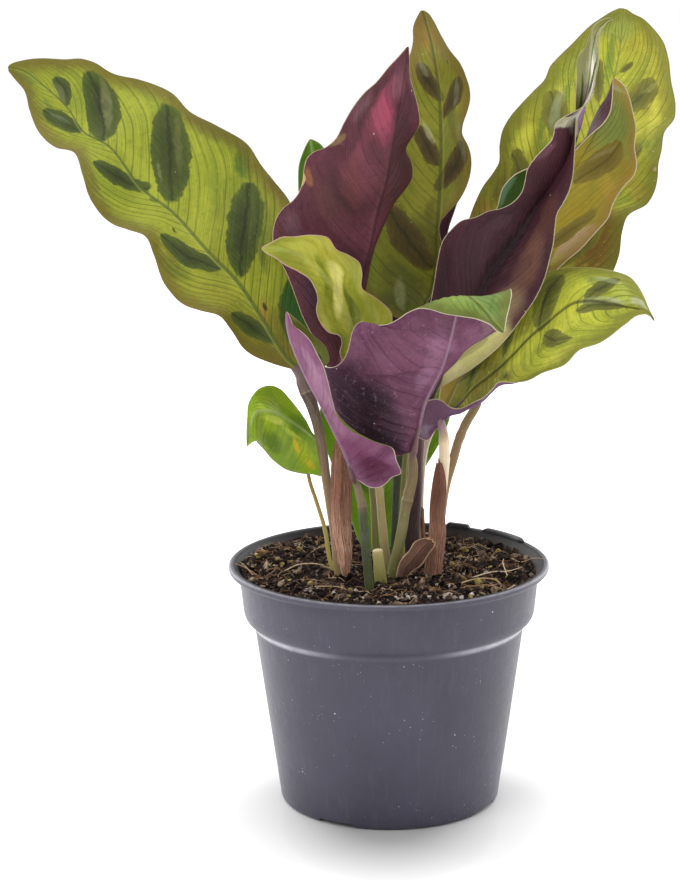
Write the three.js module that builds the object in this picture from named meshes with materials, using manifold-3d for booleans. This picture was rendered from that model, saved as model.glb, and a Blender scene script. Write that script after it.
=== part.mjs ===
// A potted calathea in a 12 cm nursery pot.
// Millimetres, +Z up. The origin is the centre of the pot's base, on the
// surface the pot stands on. The viewer who sees the plant's front looks
// along +Y, with +X to the right.
import * as THREE from 'three';
import { mergeVertices } from 'three/addons/utils/BufferGeometryUtils.js';
import Module from 'manifold-3d';

// ---------- driving dimensions (mm) ----------
const POT_RIM_RADIUS = 60;        // outside of the flat lip
const POT_HEIGHT = 91.2;          // foot to the top of the lip
const POT_FOOT_RADIUS = 41.3;     // outside of the body at the foot
const POT_COLLAR_TOP_RADIUS = 56.2;
const POT_COLLAR_LOW_RADIUS = 54.5;
const POT_BODY_TOP_RADIUS = 50.3;
const POT_WALL = 1.2;
const POT_PAD_RADIUS = 11;         // flat pad under the middle of the floor
const POT_FLOOR_LOW = 2.5;        // the rest of the floor is raised above the foot ring
const POT_FLOOR_TOP = 4.0;
const LIP_WIDTH = 2.4;            // flat part of the lip; inside it, the lip slopes down to the wall
const SOIL_CENTRE_HEIGHT = 88.9;  // soil surface at the middle of the pot
const SOIL_FALL_RIGHT = 0.018;    // it falls a little towards the right
const SOIL_FALL_BACK = 0.006;     // and towards the back
const SOIL_HOLLOW = 2.4;          // depth of the hollow behind the stalks
const CLEAR = 0.35;               // gap kept between touching pieces
const BLADE_THICKNESS = 0.9;
const SHEATH_THICKNESS = 0.8;
const BLADE_STEPS = 17;           // faces along a blade
const BLADE_STEPS_ACROSS = 3;     // faces across each half of a blade
const STEM_SIDES = 8;
const POT_SIDES = 56;

// ---------- leaf blades ----------
// Each blade is lofted between curves that run from its base to its tip: the
// midrib (0), its two edges (-1, 1) and, where the blade folds, a line on the
// fold. A point is [x, y, z, t], and t tells which points lie across from each
// other. bow is how far each half bulges from a flat strip.
const BLADES = {
  left_leaf: {
    bow: [2, 2],
    rails: [
      [-1, [[-32.3, -2, 164.5, 0], [-38.2, -2.4, 166.1, 0.034], [-42.9, -3.1, 167.8, 0.062], [-52.3, -5.2, 173.1, 0.123], [-57.5, -7.2, 181.7, 0.179], [-61.4, -7.9, 186.4, 0.214], [-68.3, -7.9, 188.5, 0.254], [-74.1, -7.1, 190.4, 0.288], [-81.1, -4.7, 197.3, 0.344], [-85.2, -1.1, 207.8, 0.409], [-88.5, 1.1, 214.4, 0.452], [-94.8, 2.7, 216.5, 0.49], [-100.4, 3.7, 218.5, 0.523], [-107.6, 4.7, 226.3, 0.582], [-111.8, 10.4, 236.1, 0.65], [-115.2, 17.3, 243.2, 0.707], [-123.7, 24.9, 244.9, 0.771], [-129.2, 30.9, 248.3, 0.82], [-134.6, 40, 257.2, 0.897], [-136.9, 44.6, 264, 0.944], [-140.5, 46.5, 268, 0.976], [-143.2, 47, 271.4, 1]]],
      [0, [[-31.6, -2, 164.5, 0], [-36.5, -1.9, 169.1, 0.04], [-45.1, -1.5, 182.8, 0.134], [-54.5, -1.1, 197.3, 0.235], [-65.5, 0.2, 208.8, 0.328], [-79.2, 8.1, 222.5, 0.451], [-89.9, 12.4, 230.1, 0.531], [-102.7, 17.7, 245.6, 0.653], [-113.1, 25.6, 250.4, 0.734], [-118.6, 32.9, 257.3, 0.801], [-129.3, 42.7, 265.8, 0.9], [-137.9, 47.2, 271.3, 0.965], [-143.7, 48, 272.5, 1]]],
      [1, [[-30.8, -2, 164.5, 0], [-27.3, -1.2, 172.2, 0.043], [-25.9, 1, 182.2, 0.096], [-26.6, 3.4, 193, 0.152], [-29.1, 4.2, 204.1, 0.209], [-32, 6.3, 214.9, 0.267], [-36.2, 10.4, 226.4, 0.333], [-41.5, 13.3, 232.8, 0.377], [-46.6, 15.5, 239, 0.42], [-50.6, 16.8, 245.3, 0.458], [-62.6, 18.4, 252.8, 0.53], [-73.2, 22.6, 258, 0.594], [-78.9, 26.2, 263.7, 0.639], [-87.2, 30, 267.4, 0.688], [-91.4, 31.5, 268.6, 0.712], [-102.9, 33.9, 271.3, 0.773], [-108.5, 34.6, 274.8, 0.807], [-113.5, 36.3, 276.2, 0.834], [-120.4, 39.5, 275.8, 0.873], [-130, 44.2, 275.9, 0.927], [-137.7, 47.1, 274.9, 0.969], [-141.6, 47.9, 273.8, 0.99], [-143.3, 48, 272.8, 1]]],
    ],
  },
  upright_purple_leaf: {
    bow: [-3, -2],
    rails: [
      [-1, [[-19.1, 0, 163.3, 0], [-22.4, -0.2, 165.8, 0.028], [-24.5, -1.3, 171.4, 0.07], [-27.5, -3.2, 177.8, 0.119], [-31, -5.9, 185.4, 0.178], [-33.4, -8.3, 193.2, 0.236], [-36.3, -9.9, 201.5, 0.297], [-39.5, -10.2, 208.5, 0.349], [-41.3, -11.1, 215.2, 0.397], [-40, -12.5, 222.3, 0.446], [-37.3, -13.5, 226.4, 0.48], [-34, -14.3, 229, 0.509], [-31.5, -15, 232.3, 0.538], [-30.1, -15.6, 236.7, 0.569], [-29.7, -15.9, 240.3, 0.594], [-28.4, -16, 244.6, 0.624], [-26.4, -16.2, 246.6, 0.643], [-22, -16.7, 248.3, 0.675], [-18.2, -17.6, 251.5, 0.709], [-15.4, -18.9, 256.9, 0.752], [-11.8, -20.8, 263.1, 0.802], [-7.4, -22.6, 268.6, 0.852], [-3.9, -23.7, 271.7, 0.884], [0.9, -25.2, 277.5, 0.936], [4.1, -25.8, 280.9, 0.968], [7.3, -26, 284.5, 1]]],
      [0, [[-18, 0, 163.3, 0], [-13.7, -2, 182.7, 0.156], [-9.6, -5, 199.8, 0.296], [-6.2, -6, 212.8, 0.401], [-3.8, -7.8, 224.6, 0.496], [-0.8, -10.7, 234.8, 0.583], [1.5, -12.9, 246.9, 0.681], [3.8, -16, 260.2, 0.789], [5.8, -22.4, 272.5, 0.899], [7.6, -26, 284.8, 1]]],
      [1, [[-16.9, 0, 163.3, 0], [-11.2, 0.9, 181.1, 0.137], [-7.6, 1.9, 195.8, 0.248], [-5.9, 2, 206.5, 0.327], [-4.7, 2, 210.9, 0.361], [-0.8, 2, 219.3, 0.429], [3.8, 2, 228.1, 0.501], [7.6, 2, 232.5, 0.544], [9, 2, 234.7, 0.563], [9.2, 1.3, 238.6, 0.592], [8.6, -0.1, 241.8, 0.618], [6.8, -2.7, 245.9, 0.656], [9.9, -7.3, 251.7, 0.715], [11.7, -10.4, 255.8, 0.754], [11.3, -13.2, 261.3, 0.8], [9.8, -14.4, 267.4, 0.846], [8.7, -16.8, 271.3, 0.881], [8.2, -21.1, 276.1, 0.928], [8.1, -24.3, 280, 0.965], [8, -26, 284.5, 1]]],
    ],
  },
  centre_back_leaf: {
    bow: [2, 2],
    rails: [
      [-1, [[7.6, 10, 180.4, 0], [-1.3, 8.7, 184.5, 0.075], [-7.5, 6.9, 190.1, 0.141], [-9.9, 6.1, 195.5, 0.186], [-9.5, 6.5, 203.6, 0.248], [-7.4, 8.8, 214.3, 0.333], [-5.1, 10.9, 225.9, 0.425], [-2.1, 12.5, 236.7, 0.511], [0.9, 16.6, 247.3, 0.601], [3.5, 19, 258, 0.687], [6.1, 22.2, 268, 0.769], [8.2, 27.4, 275.6, 0.841], [9.9, 31.8, 281.9, 0.901], [10.2, 34.8, 287.8, 0.952], [12, 35.9, 291.7, 0.985], [13, 36, 293.3, 1]]],
      [0, [[9.5, 11, 180.3, 0], [14, 12, 186.5, 0.064], [17, 14, 194, 0.133], [18.2, 15, 201.7, 0.199], [18.7, 16, 213.3, 0.296], [19.1, 17.3, 221, 0.36], [19.8, 18.8, 231.7, 0.451], [20.1, 19.6, 244.2, 0.554], [19.9, 21.6, 254.7, 0.643], [19.3, 23.6, 265.4, 0.734], [18, 24.6, 274.6, 0.811], [16.6, 29.5, 282, 0.885], [14.6, 34.9, 289.3, 0.963], [13.4, 36, 293.5, 1]]],
      [1, [[10.6, 10, 180.4, 0], [13.8, 9.4, 186.9, 0.055], [17.6, 8.5, 191.9, 0.103], [20.4, 8, 197.2, 0.148], [21.6, 9, 202.6, 0.19], [21.2, 10.8, 207.2, 0.227], [19.8, 12.2, 210.7, 0.258], [19, 13, 214.7, 0.289], [19.9, 13, 218, 0.315], [22.4, 13.2, 220.8, 0.343], [25.9, 13.4, 224.6, 0.382], [29.4, 13.8, 230.8, 0.436], [30.6, 14, 234.6, 0.466], [31, 14.1, 240.8, 0.513], [29.9, 14.6, 244.7, 0.543], [27.5, 15.6, 249.8, 0.586], [27.9, 16.4, 253, 0.611], [29.5, 17.5, 257.4, 0.648], [30.5, 18.4, 261.2, 0.678], [30.3, 19.3, 265.7, 0.713], [29.1, 19.8, 269.9, 0.746], [27.2, 20.1, 274.6, 0.784], [23.4, 23.2, 279.3, 0.835], [20.4, 28.8, 284.3, 0.896], [17.4, 34.2, 289.7, 0.958], [15.6, 35.7, 292.2, 0.984], [13.7, 36, 293.3, 1]]],
    ],
  },
  right_back_leaf: {
    bow: [2, 2],
    rails: [
      [-1, [[32.9, 20, 147.5, 0], [29.9, 21, 156.2, 0.053], [27.7, 24.9, 168.9, 0.129], [26.7, 29.3, 181.5, 0.206], [26.7, 31.9, 194.5, 0.281], [28.2, 32.9, 207.6, 0.357], [31.4, 34.7, 216.8, 0.413], [33.2, 35.9, 221.3, 0.442], [36.5, 37.5, 227.6, 0.483], [40.1, 38.7, 232.2, 0.517], [42.3, 39.4, 236, 0.543], [42.5, 40, 242.4, 0.58], [43.7, 40.2, 248.2, 0.613], [46.6, 41, 253.1, 0.646], [50.9, 42.8, 257.9, 0.684], [55.4, 45, 262.3, 0.722], [59.8, 47.5, 266.4, 0.759], [62, 49.8, 271.2, 0.793], [65.7, 52.1, 274.9, 0.825], [70.3, 54.7, 279, 0.863], [74.7, 56.9, 283.2, 0.9], [78.4, 58.3, 286.3, 0.928], [82.1, 59.3, 288.7, 0.954], [86.4, 59.9, 291.1, 0.983], [89.2, 60, 292.2, 1]]],
      [0, [[33.8, 20, 147.5, 0], [36.3, 20.9, 158.1, 0.067], [40.5, 24, 172.8, 0.162], [45.4, 26.7, 187.6, 0.259], [51.8, 28.2, 202.5, 0.359], [59.4, 33, 216.9, 0.463], [67.1, 36.6, 229.6, 0.556], [73.8, 38.3, 242.5, 0.646], [80.5, 44.2, 255, 0.74], [86.2, 51.4, 266.8, 0.831], [88.3, 55.5, 274.7, 0.887], [89.6, 58.8, 283.9, 0.947], [90.2, 60, 292.4, 1]]],
      [1, [[34.8, 20, 147.5, 0], [44.2, 20.3, 156.6, 0.07], [53.5, 20.9, 166.4, 0.142], [64.8, 21.7, 175, 0.217], [75.9, 22, 186.3, 0.302], [84.7, 23.6, 197.1, 0.377], [86.9, 24.9, 203, 0.411], [88, 26.7, 211.4, 0.457], [89.8, 27.9, 216.7, 0.487], [97.7, 29.4, 221.7, 0.538], [99.8, 29.8, 225.3, 0.56], [101.2, 30.1, 231.7, 0.595], [101.4, 30.6, 235.9, 0.618], [102.6, 32, 240.8, 0.646], [103.9, 34.9, 247.6, 0.686], [108.1, 38.5, 252.9, 0.727], [108.5, 40.6, 256.3, 0.748], [107.3, 46.7, 265.7, 0.808], [106.6, 51.8, 273.9, 0.86], [105, 54.9, 279.5, 0.895], [101.5, 57.5, 284.3, 0.929], [97.3, 59.2, 288.2, 0.961], [93.7, 59.8, 290, 0.983], [91.1, 60, 291.8, 1]]],
    ],
  },
  twisted_purple_leaf: {
    bow: [-2, -2],
    rails: [
      [-1, [[14.1, -2, 151.8, 0], [12.6, -1.6, 161.6, 0.056], [13.4, -0.6, 173.7, 0.126], [15.2, -0, 185.9, 0.196], [17.1, -0.6, 197.1, 0.26], [18.5, -1.6, 206.1, 0.313], [20.3, -2.6, 212.9, 0.353], [23.2, -3.3, 216.8, 0.381], [26.7, -3.9, 220, 0.408], [32.2, -4.5, 221.5, 0.44], [36.3, -4.9, 223.6, 0.467], [41.2, -5, 224.6, 0.495], [45.3, -5.5, 226.7, 0.521], [48.6, -7.1, 231.1, 0.554], [49.5, -8.5, 234.7, 0.577], [50.4, -10.7, 239.7, 0.608], [52.7, -12.4, 243.4, 0.635], [56.3, -14.3, 247.7, 0.668], [58.5, -14.9, 250.1, 0.687], [59.4, -15, 252.8, 0.703], [59.7, -16.3, 255.9, 0.723], [61.7, -18.8, 258.3, 0.745], [64.3, -22, 260.2, 0.771], [66.9, -24.7, 261.8, 0.794], [69.4, -26, 263.3, 0.812], [71, -26, 265.8, 0.829], [72.1, -25.9, 269.2, 0.849], [72.8, -25.8, 273.2, 0.872], [73.8, -25.6, 276.5, 0.892], [74.3, -25.4, 281.9, 0.923], [74.3, -25.2, 286.6, 0.95], [75.1, -25.1, 289.9, 0.969], [76.9, -25, 292.4, 0.987], [79, -25, 293.4, 1]]],
      [0, [[14.8, -2, 151.8, 0], [19.3, -1.1, 161.8, 0.067], [24.8, 1.1, 172.6, 0.143], [30.4, 2.8, 183.5, 0.219], [34.6, 2.8, 192.5, 0.28], [39.4, 1.6, 201.9, 0.345], [43.6, 0.7, 207, 0.386], [48.4, -0.5, 214.1, 0.439], [54.5, -1.2, 224.7, 0.514], [59.8, -4, 233.3, 0.579], [64.4, -7.3, 241.2, 0.638], [67.1, -8.9, 247.8, 0.683], [69, -10, 255.4, 0.732], [70.3, -13, 262.8, 0.781], [71.6, -15.8, 270.8, 0.834], [72.3, -16.8, 277.9, 0.878], [72.9, -19.7, 284.4, 0.922], [74.7, -22.8, 290.5, 0.965], [79.3, -24, 293.6, 1]]],
      [1, [[15.5, -2, 151.8, 0], [19.2, -2.6, 157.8, 0.041], [22.9, -3.5, 160.4, 0.068], [29.8, -5.6, 164.9, 0.119], [35.2, -7.2, 169.3, 0.161], [40.3, -8, 173.9, 0.201], [45, -8.3, 179.4, 0.244], [48.2, -8.8, 184, 0.277], [54.2, -10.3, 193.4, 0.344], [57.3, -11.4, 201.2, 0.394], [59, -11.9, 208.6, 0.439], [59.8, -12, 212.2, 0.461], [60.4, -13.2, 219.4, 0.504], [60.9, -14.4, 223.7, 0.53], [63.2, -15.8, 228, 0.56], [65.8, -17, 234.9, 0.605], [66.5, -17, 239.1, 0.629], [66.7, -17, 244.1, 0.659], [67, -17, 250.5, 0.697], [67, -16.6, 257.2, 0.737], [67, -15.3, 264.6, 0.781], [67.4, -14.2, 271.9, 0.824], [67.6, -14.7, 279.3, 0.868], [70, -16.8, 283.2, 0.898], [71.2, -19.6, 287.7, 0.93], [72.2, -21.3, 290.4, 0.95], [74.5, -23, 292.6, 0.971], [77, -23.8, 293.6, 0.988], [79.1, -24, 293.8, 1]]],
    ],
  },
  right_cupped_leaf: {
    bow: [2, 3],
    rails: [
      [-1, [[18.4, 12, 143.5, 0], [19.5, 12.5, 154.1, 0.069], [23.3, 14.4, 169, 0.168], [28.2, 15.9, 183.8, 0.269], [33, 15.7, 198.9, 0.371], [37, 14.9, 212.1, 0.46], [40.6, 14.3, 222.2, 0.529], [42.8, 14, 230, 0.581], [46, 13.4, 233.7, 0.613], [51.3, 9, 237.2, 0.662], [58.6, 4.1, 239.9, 0.722], [65.8, 2.7, 241.8, 0.77], [68.9, 1, 245.3, 0.802], [71.8, -0.5, 248.8, 0.833], [74.8, -1, 251.6, 0.859], [77.7, -0.6, 254, 0.884], [80.2, 0.3, 257.5, 0.912], [81.5, 2, 263.5, 0.953], [81.7, 2.9, 268.4, 0.985], [81.8, 3, 270.7, 1]]],
      [-0.82, [[18.5, 12, 143.5, 0], [20.3, 12.8, 153.8, 0.069], [24.6, 14.7, 168.2, 0.168], [30, 16.4, 182.6, 0.269], [35.3, 16.4, 197.3, 0.371], [39.6, 15.9, 210.1, 0.46], [43.4, 15.5, 220, 0.529], [45.8, 15.4, 227.6, 0.581], [48.8, 14.7, 231.5, 0.613], [53.5, 10.9, 235.6, 0.662], [59.9, 6.4, 239.3, 0.722], [66.4, 4.8, 242, 0.77], [68.8, 5.5, 245.1, 0.802], [72.1, 4.5, 248.4, 0.833], [73.8, 4, 251.4, 0.859], [75.8, 3.6, 254.6, 0.884], [78.2, 3.4, 259, 0.912], [80.2, 3.6, 263.1, 0.953], [81.3, 3.4, 267.6, 0.985], [81.9, 3, 270.7, 1]]],
      [0, [[19.1, 12, 143.5, 0], [27.8, 13.2, 159.7, 0.127], [37.5, 14.9, 176.4, 0.261], [46, 15, 190.7, 0.376], [52.9, 15, 203.4, 0.476], [58.8, 15, 214.5, 0.563], [63.8, 14.6, 225.7, 0.648], [68.4, 13.4, 235.4, 0.723], [73.7, 12.2, 245.1, 0.799], [77.9, 11.1, 253.9, 0.868], [80.3, 6.2, 262.4, 0.937], [82, 3, 270.7, 1]]],
      [1, [[19.9, 12, 143.5, 0], [30, 12, 158.7, 0.118], [40.7, 12, 171.6, 0.226], [50.7, 11.9, 184.4, 0.331], [58.9, 10.7, 195.4, 0.42], [65.1, 9.5, 202.3, 0.481], [71.3, 8.6, 207.6, 0.534], [77.6, 8, 215.1, 0.596], [81, 7.8, 219.1, 0.631], [82.9, 7, 224.8, 0.67], [86.2, 5.5, 230.6, 0.714], [90.1, 4, 235.7, 0.757], [90.7, 3.4, 238.5, 0.776], [89.8, 2.3, 245.6, 0.822], [90.1, 2, 251.9, 0.863], [88.9, 2.3, 258.7, 0.908], [87.5, 2.7, 264.2, 0.944], [85.4, 2.9, 268.3, 0.974], [83.1, 3, 270.2, 0.993], [82.3, 3, 270.7, 1]]],
    ],
  },
  right_low_leaf: {
    bow: [0, 3],
    rails: [
      [-1, [[18.9, -9, 145.1, 0], [16.9, -9, 142.8, 0.016], [14.3, -9.2, 139.7, 0.037], [11.4, -9.4, 140.7, 0.053], [9.9, -9.6, 143.7, 0.071], [10.3, -9.9, 148.7, 0.097], [12.1, -10, 152.6, 0.12], [14.1, -10.2, 154.5, 0.134], [16, -10.7, 155.4, 0.145], [18.2, -11.3, 155.7, 0.158], [20.1, -11.9, 154.9, 0.169], [22.3, -12.7, 153.1, 0.184], [25.2, -13, 152.4, 0.2], [28.2, -14.1, 153.4, 0.229], [31.5, -16.7, 155.8, 0.273], [34.7, -18, 157.6, 0.308], [37.6, -18.7, 160.4, 0.344], [40.2, -19.8, 163.4, 0.381], [42.3, -20, 163.6, 0.4], [44.9, -20.1, 163.3, 0.421], [50.5, -20.5, 164.1, 0.466], [55.9, -21.4, 167.2, 0.518], [63, -22.6, 169.9, 0.58], [69, -23.9, 176, 0.669], [76, -24.6, 178.6, 0.748], [84.5, -28.8, 185.9, 0.871], [89.2, -31.1, 189.7, 0.938], [92.6, -31.8, 189.8, 0.975], [94.2, -32, 188, 1]]],
      [-0.5, [[19.3, -9, 145.2, 0], [17.3, -8.9, 144.3, 0.028], [15.8, -8.6, 142.9, 0.053], [15.8, -8.4, 144.6, 0.073], [16.9, -8.3, 145.7, 0.092], [19.1, -8.6, 146.7, 0.122], [21.6, -9.8, 148.2, 0.162], [23.8, -11, 150, 0.2], [26.7, -11.8, 151.1, 0.227], [29.6, -12, 152.5, 0.255], [32, -12.3, 153.6, 0.278], [35, -13.1, 155.8, 0.311], [37.8, -14.1, 158.8, 0.347], [40.4, -14.9, 161.5, 0.38], [42.6, -15, 162.8, 0.409], [45.1, -15.3, 163.6, 0.44], [49.4, -16.4, 166.6, 0.501], [54.3, -18.2, 170.9, 0.58], [59.6, -19.5, 175.6, 0.64], [64.9, -20, 179.7, 0.696], [70.5, -21.2, 183.9, 0.756], [76.3, -23.9, 185.8, 0.812], [82.1, -27.2, 188.5, 0.872], [87.5, -30.1, 191.1, 0.928], [91.2, -31.4, 191.2, 0.961], [94.4, -32, 187.8, 1]]],
      [0, [[19.6, -9, 145.4, 0], [22, -8.7, 148, 0.034], [24.8, -8, 150.8, 0.073], [27.7, -7.1, 153.5, 0.111], [32.2, -6, 158.5, 0.177], [37.4, -6, 162.7, 0.242], [41.8, -6, 166.5, 0.298], [46.7, -6, 171.4, 0.364], [53, -6, 178.2, 0.453], [58.5, -6.9, 182.8, 0.523], [62.6, -9.2, 187, 0.584], [67.8, -12.5, 191.1, 0.655], [73, -14.9, 192.2, 0.711], [79.1, -16, 191.6, 0.771], [85.1, -20.5, 190.9, 0.844], [90.2, -27.7, 190.7, 0.928], [93.4, -31.3, 189.3, 0.977], [94.8, -32, 187.5, 1]]],
      [1, [[20, -9, 146, 0], [22.8, -6.7, 153.5, 0.065], [27.4, -0.6, 162, 0.153], [33.4, 3, 171.1, 0.241], [40, 3.6, 181.4, 0.336], [47.3, 4.5, 190.2, 0.425], [54.3, 5, 196.4, 0.497], [59.4, 4.3, 199.8, 0.545], [64.6, 1.6, 201.4, 0.592], [69.9, -2, 202.2, 0.641], [75.2, -5.5, 202.8, 0.691], [81.3, -7.8, 202.1, 0.742], [86.7, -9.8, 200.6, 0.787], [90.2, -17.1, 197.6, 0.854], [91.9, -24.4, 194.6, 0.917], [93.1, -29.9, 191.4, 0.967], [94.8, -32, 188, 1]]],
    ],
  },
  front_purple_leaf: {
    bow: [-5, -1],
    rails: [
      [-1, [[8, -14, 136.5, 0], [2.9, -15.1, 135.2, 0.038], [-4.4, -18.4, 138.3, 0.099], [-11.3, -20, 142, 0.155], [-17.4, -22.4, 148.9, 0.222], [-20.5, -24.9, 157.6, 0.29], [-22, -25.3, 163.6, 0.334], [-23.7, -27, 171.1, 0.389], [-21, -27.8, 170.7, 0.409], [-18.8, -28.6, 171.3, 0.426], [-16.3, -29.7, 173.4, 0.45], [-14.5, -30.9, 176.9, 0.479], [-13.4, -32.1, 180.9, 0.51], [-12.6, -33.1, 184.7, 0.539], [-10.8, -33.7, 187.8, 0.564], [-9, -33.9, 188.5, 0.578], [-5.5, -34.1, 187.3, 0.604], [-0.9, -35.9, 187.6, 0.639], [3.4, -39.2, 190, 0.681], [7.2, -43.2, 193.3, 0.726], [11.4, -46.7, 195.3, 0.767], [15.2, -49, 195.2, 0.799], [20, -50, 193.9, 0.835], [25.5, -52, 193.4, 0.877], [31.3, -55.8, 192.8, 0.926], [35.3, -58.5, 191.5, 0.961], [38.4, -59.9, 189.1, 0.99], [39.7, -60, 188.9, 1]]],
      [-0.5, [[8.4, -14.1, 136.4, 0], [6.4, -15.8, 137.4, 0.038], [3.7, -19, 141.3, 0.099], [0.9, -21.6, 145.3, 0.155], [-1.5, -24.8, 151.8, 0.222], [-1.7, -27.1, 158.9, 0.29], [-1.7, -28, 162.7, 0.334], [-2, -30.3, 168.2, 0.389], [-0.3, -30.9, 168.6, 0.409], [1, -31.6, 169.7, 0.426], [2.4, -32.7, 172, 0.45], [3.5, -34.2, 175.3, 0.479], [4.3, -35.6, 179, 0.51], [4.9, -36.6, 182.1, 0.539], [5.9, -37.3, 184.7, 0.564], [6.9, -37.4, 185.5, 0.578], [8.9, -37.8, 186.1, 0.604], [11.6, -39.2, 187.8, 0.639], [13.7, -40.7, 193.2, 0.681], [16.1, -44.2, 196.8, 0.726], [19.2, -47.6, 198.9, 0.767], [22.3, -50.1, 199.5, 0.799], [25.7, -52.1, 198, 0.835], [29.6, -52, 194.4, 0.877], [33.5, -55.9, 192.8, 0.926], [36.4, -58.4, 191.3, 0.961], [38.8, -59.7, 189.2, 0.99], [39.8, -60, 188.8, 1]]],
      [0, [[8.8, -14, 136.5, 0], [10.6, -15.9, 145.1, 0.092], [13.4, -20.3, 157.2, 0.227], [16, -21.1, 162.9, 0.291], [18.8, -24.1, 169, 0.365], [21.2, -30.1, 177.4, 0.474], [23, -33.9, 185.3, 0.566], [24, -37.8, 191.4, 0.64], [25.2, -43, 197.5, 0.723], [27.5, -47.4, 199.9, 0.779], [30.2, -52, 198.8, 0.834], [33.6, -54.1, 195.6, 0.886], [36.7, -58.1, 192.1, 0.949], [39.9, -60, 188.8, 1]]],
      [1, [[9.5, -14, 136.5, 0], [12, -15.4, 145.7, 0.091], [14.6, -18.1, 156.7, 0.201], [16.4, -18.8, 160.2, 0.238], [18.9, -19.1, 164.7, 0.287], [24.2, -22.1, 171.1, 0.37], [29.8, -26.7, 178.2, 0.465], [34.7, -28.8, 181.4, 0.524], [39.6, -30.8, 185, 0.584], [41.8, -36.5, 190.7, 0.663], [42.4, -39.1, 195.8, 0.717], [41.8, -44, 199.8, 0.777], [42.9, -49.1, 202.5, 0.832], [43.1, -51.9, 200.8, 0.863], [42.4, -53.2, 197.5, 0.897], [41.2, -57.3, 193.7, 0.951], [40.3, -60, 189.3, 1]]],
    ],
  },
  front_folded_leaf: {
    bow: [-2, -2],
    rails: [
      [-1, [[-11.7, -26, 129.1, 0], [-12, -26.5, 133.5, 0.053], [-13.7, -28.2, 139.5, 0.131], [-16.9, -30.6, 147, 0.233], [-20.4, -31.5, 154.6, 0.334], [-22.4, -33.2, 160.1, 0.407], [-24.3, -35, 165.6, 0.48], [-24.2, -35.9, 170.5, 0.539], [-20.8, -37.2, 175, 0.61], [-21.4, -40.4, 180, 0.68], [-25.2, -46.3, 185.2, 0.786], [-29.5, -52.6, 190.8, 0.9], [-32, -55.1, 193.7, 0.954], [-33.7, -55.9, 195.3, 0.984], [-34.7, -56, 196.2, 1]]],
      [0, [[-11.8, -26, 129.5, 0], [-13.2, -27.2, 133.7, 0.059], [-15.1, -31.8, 140.7, 0.169], [-18.2, -36.6, 148.4, 0.293], [-21.5, -38.7, 155.8, 0.401], [-24, -42.6, 162.1, 0.501], [-26.7, -45.6, 167.7, 0.591], [-29, -46.4, 172.6, 0.661], [-32, -49.7, 180.4, 0.777], [-33.9, -53.2, 186.7, 0.873], [-34.8, -55.4, 192, 0.948], [-35.1, -56, 196, 1]]],
      [0.5, [[-11.3, -26, 129.5, 0], [-8.6, -26.6, 129.2, 0.033], [-5.8, -29.7, 133.5, 0.103], [-7.5, -35.4, 140.4, 0.211], [-12.8, -40.9, 147.5, 0.334], [-17.7, -43.4, 155, 0.444], [-21, -48.2, 163.2, 0.563], [-23.4, -50, 169.3, 0.644], [-25.7, -50.6, 174.4, 0.711], [-29.1, -52.6, 181.6, 0.808], [-31.3, -54.1, 186.1, 0.87], [-32.9, -55.4, 191.1, 0.934], [-34.8, -56, 196.3, 1]]],
      [1, [[-11.1, -26, 129.1, 0], [-9.7, -26.2, 128, 0.018], [-7.3, -27.2, 126.7, 0.045], [-3.7, -29.5, 126.9, 0.087], [-0.8, -32.1, 129, 0.13], [1.4, -34.9, 132, 0.175], [4.6, -38.1, 134.3, 0.224], [3, -41.5, 139.9, 0.289], [1.6, -43, 144.6, 0.339], [-3.2, -43.6, 146.5, 0.389], [-7.8, -45.2, 148.8, 0.44], [-14.1, -48.3, 153.1, 0.52], [-17.5, -50.1, 157.5, 0.577], [-19.2, -51, 163.1, 0.634], [-20.7, -51.5, 170, 0.702], [-22.5, -52.5, 176.6, 0.769], [-24.6, -53.5, 181, 0.817], [-26.9, -54.5, 185.8, 0.87], [-30.3, -55.3, 189.5, 0.919], [-32.4, -55.7, 191, 0.944], [-33.5, -55.9, 193.9, 0.974], [-34.6, -56, 196.3, 1]]],
    ],
  },
  small_pleated_leaf: {
    bow: [1.5, 1.5],
    rails: [
      [-1, [[-13, -12, 168.2, 0], [-16.2, -12.8, 170.3, 0.059], [-17.3, -14.2, 173.3, 0.113], [-16.5, -16.3, 177.4, 0.183], [-17.2, -17.7, 180.2, 0.232], [-21.4, -19, 182.2, 0.305], [-24.2, -20.2, 186.1, 0.38], [-25.5, -23, 190.9, 0.467], [-24.8, -25.5, 195.3, 0.544], [-25.8, -27, 199.4, 0.613], [-27.3, -27.2, 202.3, 0.662], [-31.8, -28.9, 205.8, 0.753], [-36.3, -31.2, 208.7, 0.84], [-39.7, -32.9, 211.5, 0.911], [-42.7, -33.8, 213.2, 0.966], [-44.3, -34, 214.7, 1]]],
      [0, [[-11.9, -12, 168.2, 0], [-12.5, -13.6, 178.2, 0.15], [-14.6, -15, 186.5, 0.279], [-17.1, -17, 193.5, 0.393], [-20.5, -20.9, 200.3, 0.52], [-24.7, -22.1, 204.5, 0.611], [-28.8, -24.2, 208.3, 0.699], [-32.9, -27.9, 212, 0.798], [-38.3, -31.9, 214.1, 0.903], [-44.4, -34, 215, 1]]],
      [1, [[-10.8, -12, 168.2, 0], [-4.2, -12, 175.6, 0.108], [1.3, -12, 182.6, 0.204], [1.5, -12.6, 187.8, 0.262], [-1.8, -13.5, 191.6, 0.317], [-5, -14.5, 194.3, 0.364], [-9, -15.5, 197.4, 0.421], [-9, -16, 203.3, 0.485], [-9.8, -16.4, 206.6, 0.522], [-13.4, -17.9, 209.7, 0.576], [-17.9, -20.4, 212.2, 0.639], [-21, -23, 216.9, 0.706], [-27.2, -24.9, 218.3, 0.779], [-32.8, -26.5, 218, 0.842], [-37.2, -29.8, 218.3, 0.903], [-40.6, -32.6, 217, 0.953], [-43, -33.8, 215.9, 0.984], [-44.3, -34, 215.3, 1]]],
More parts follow.
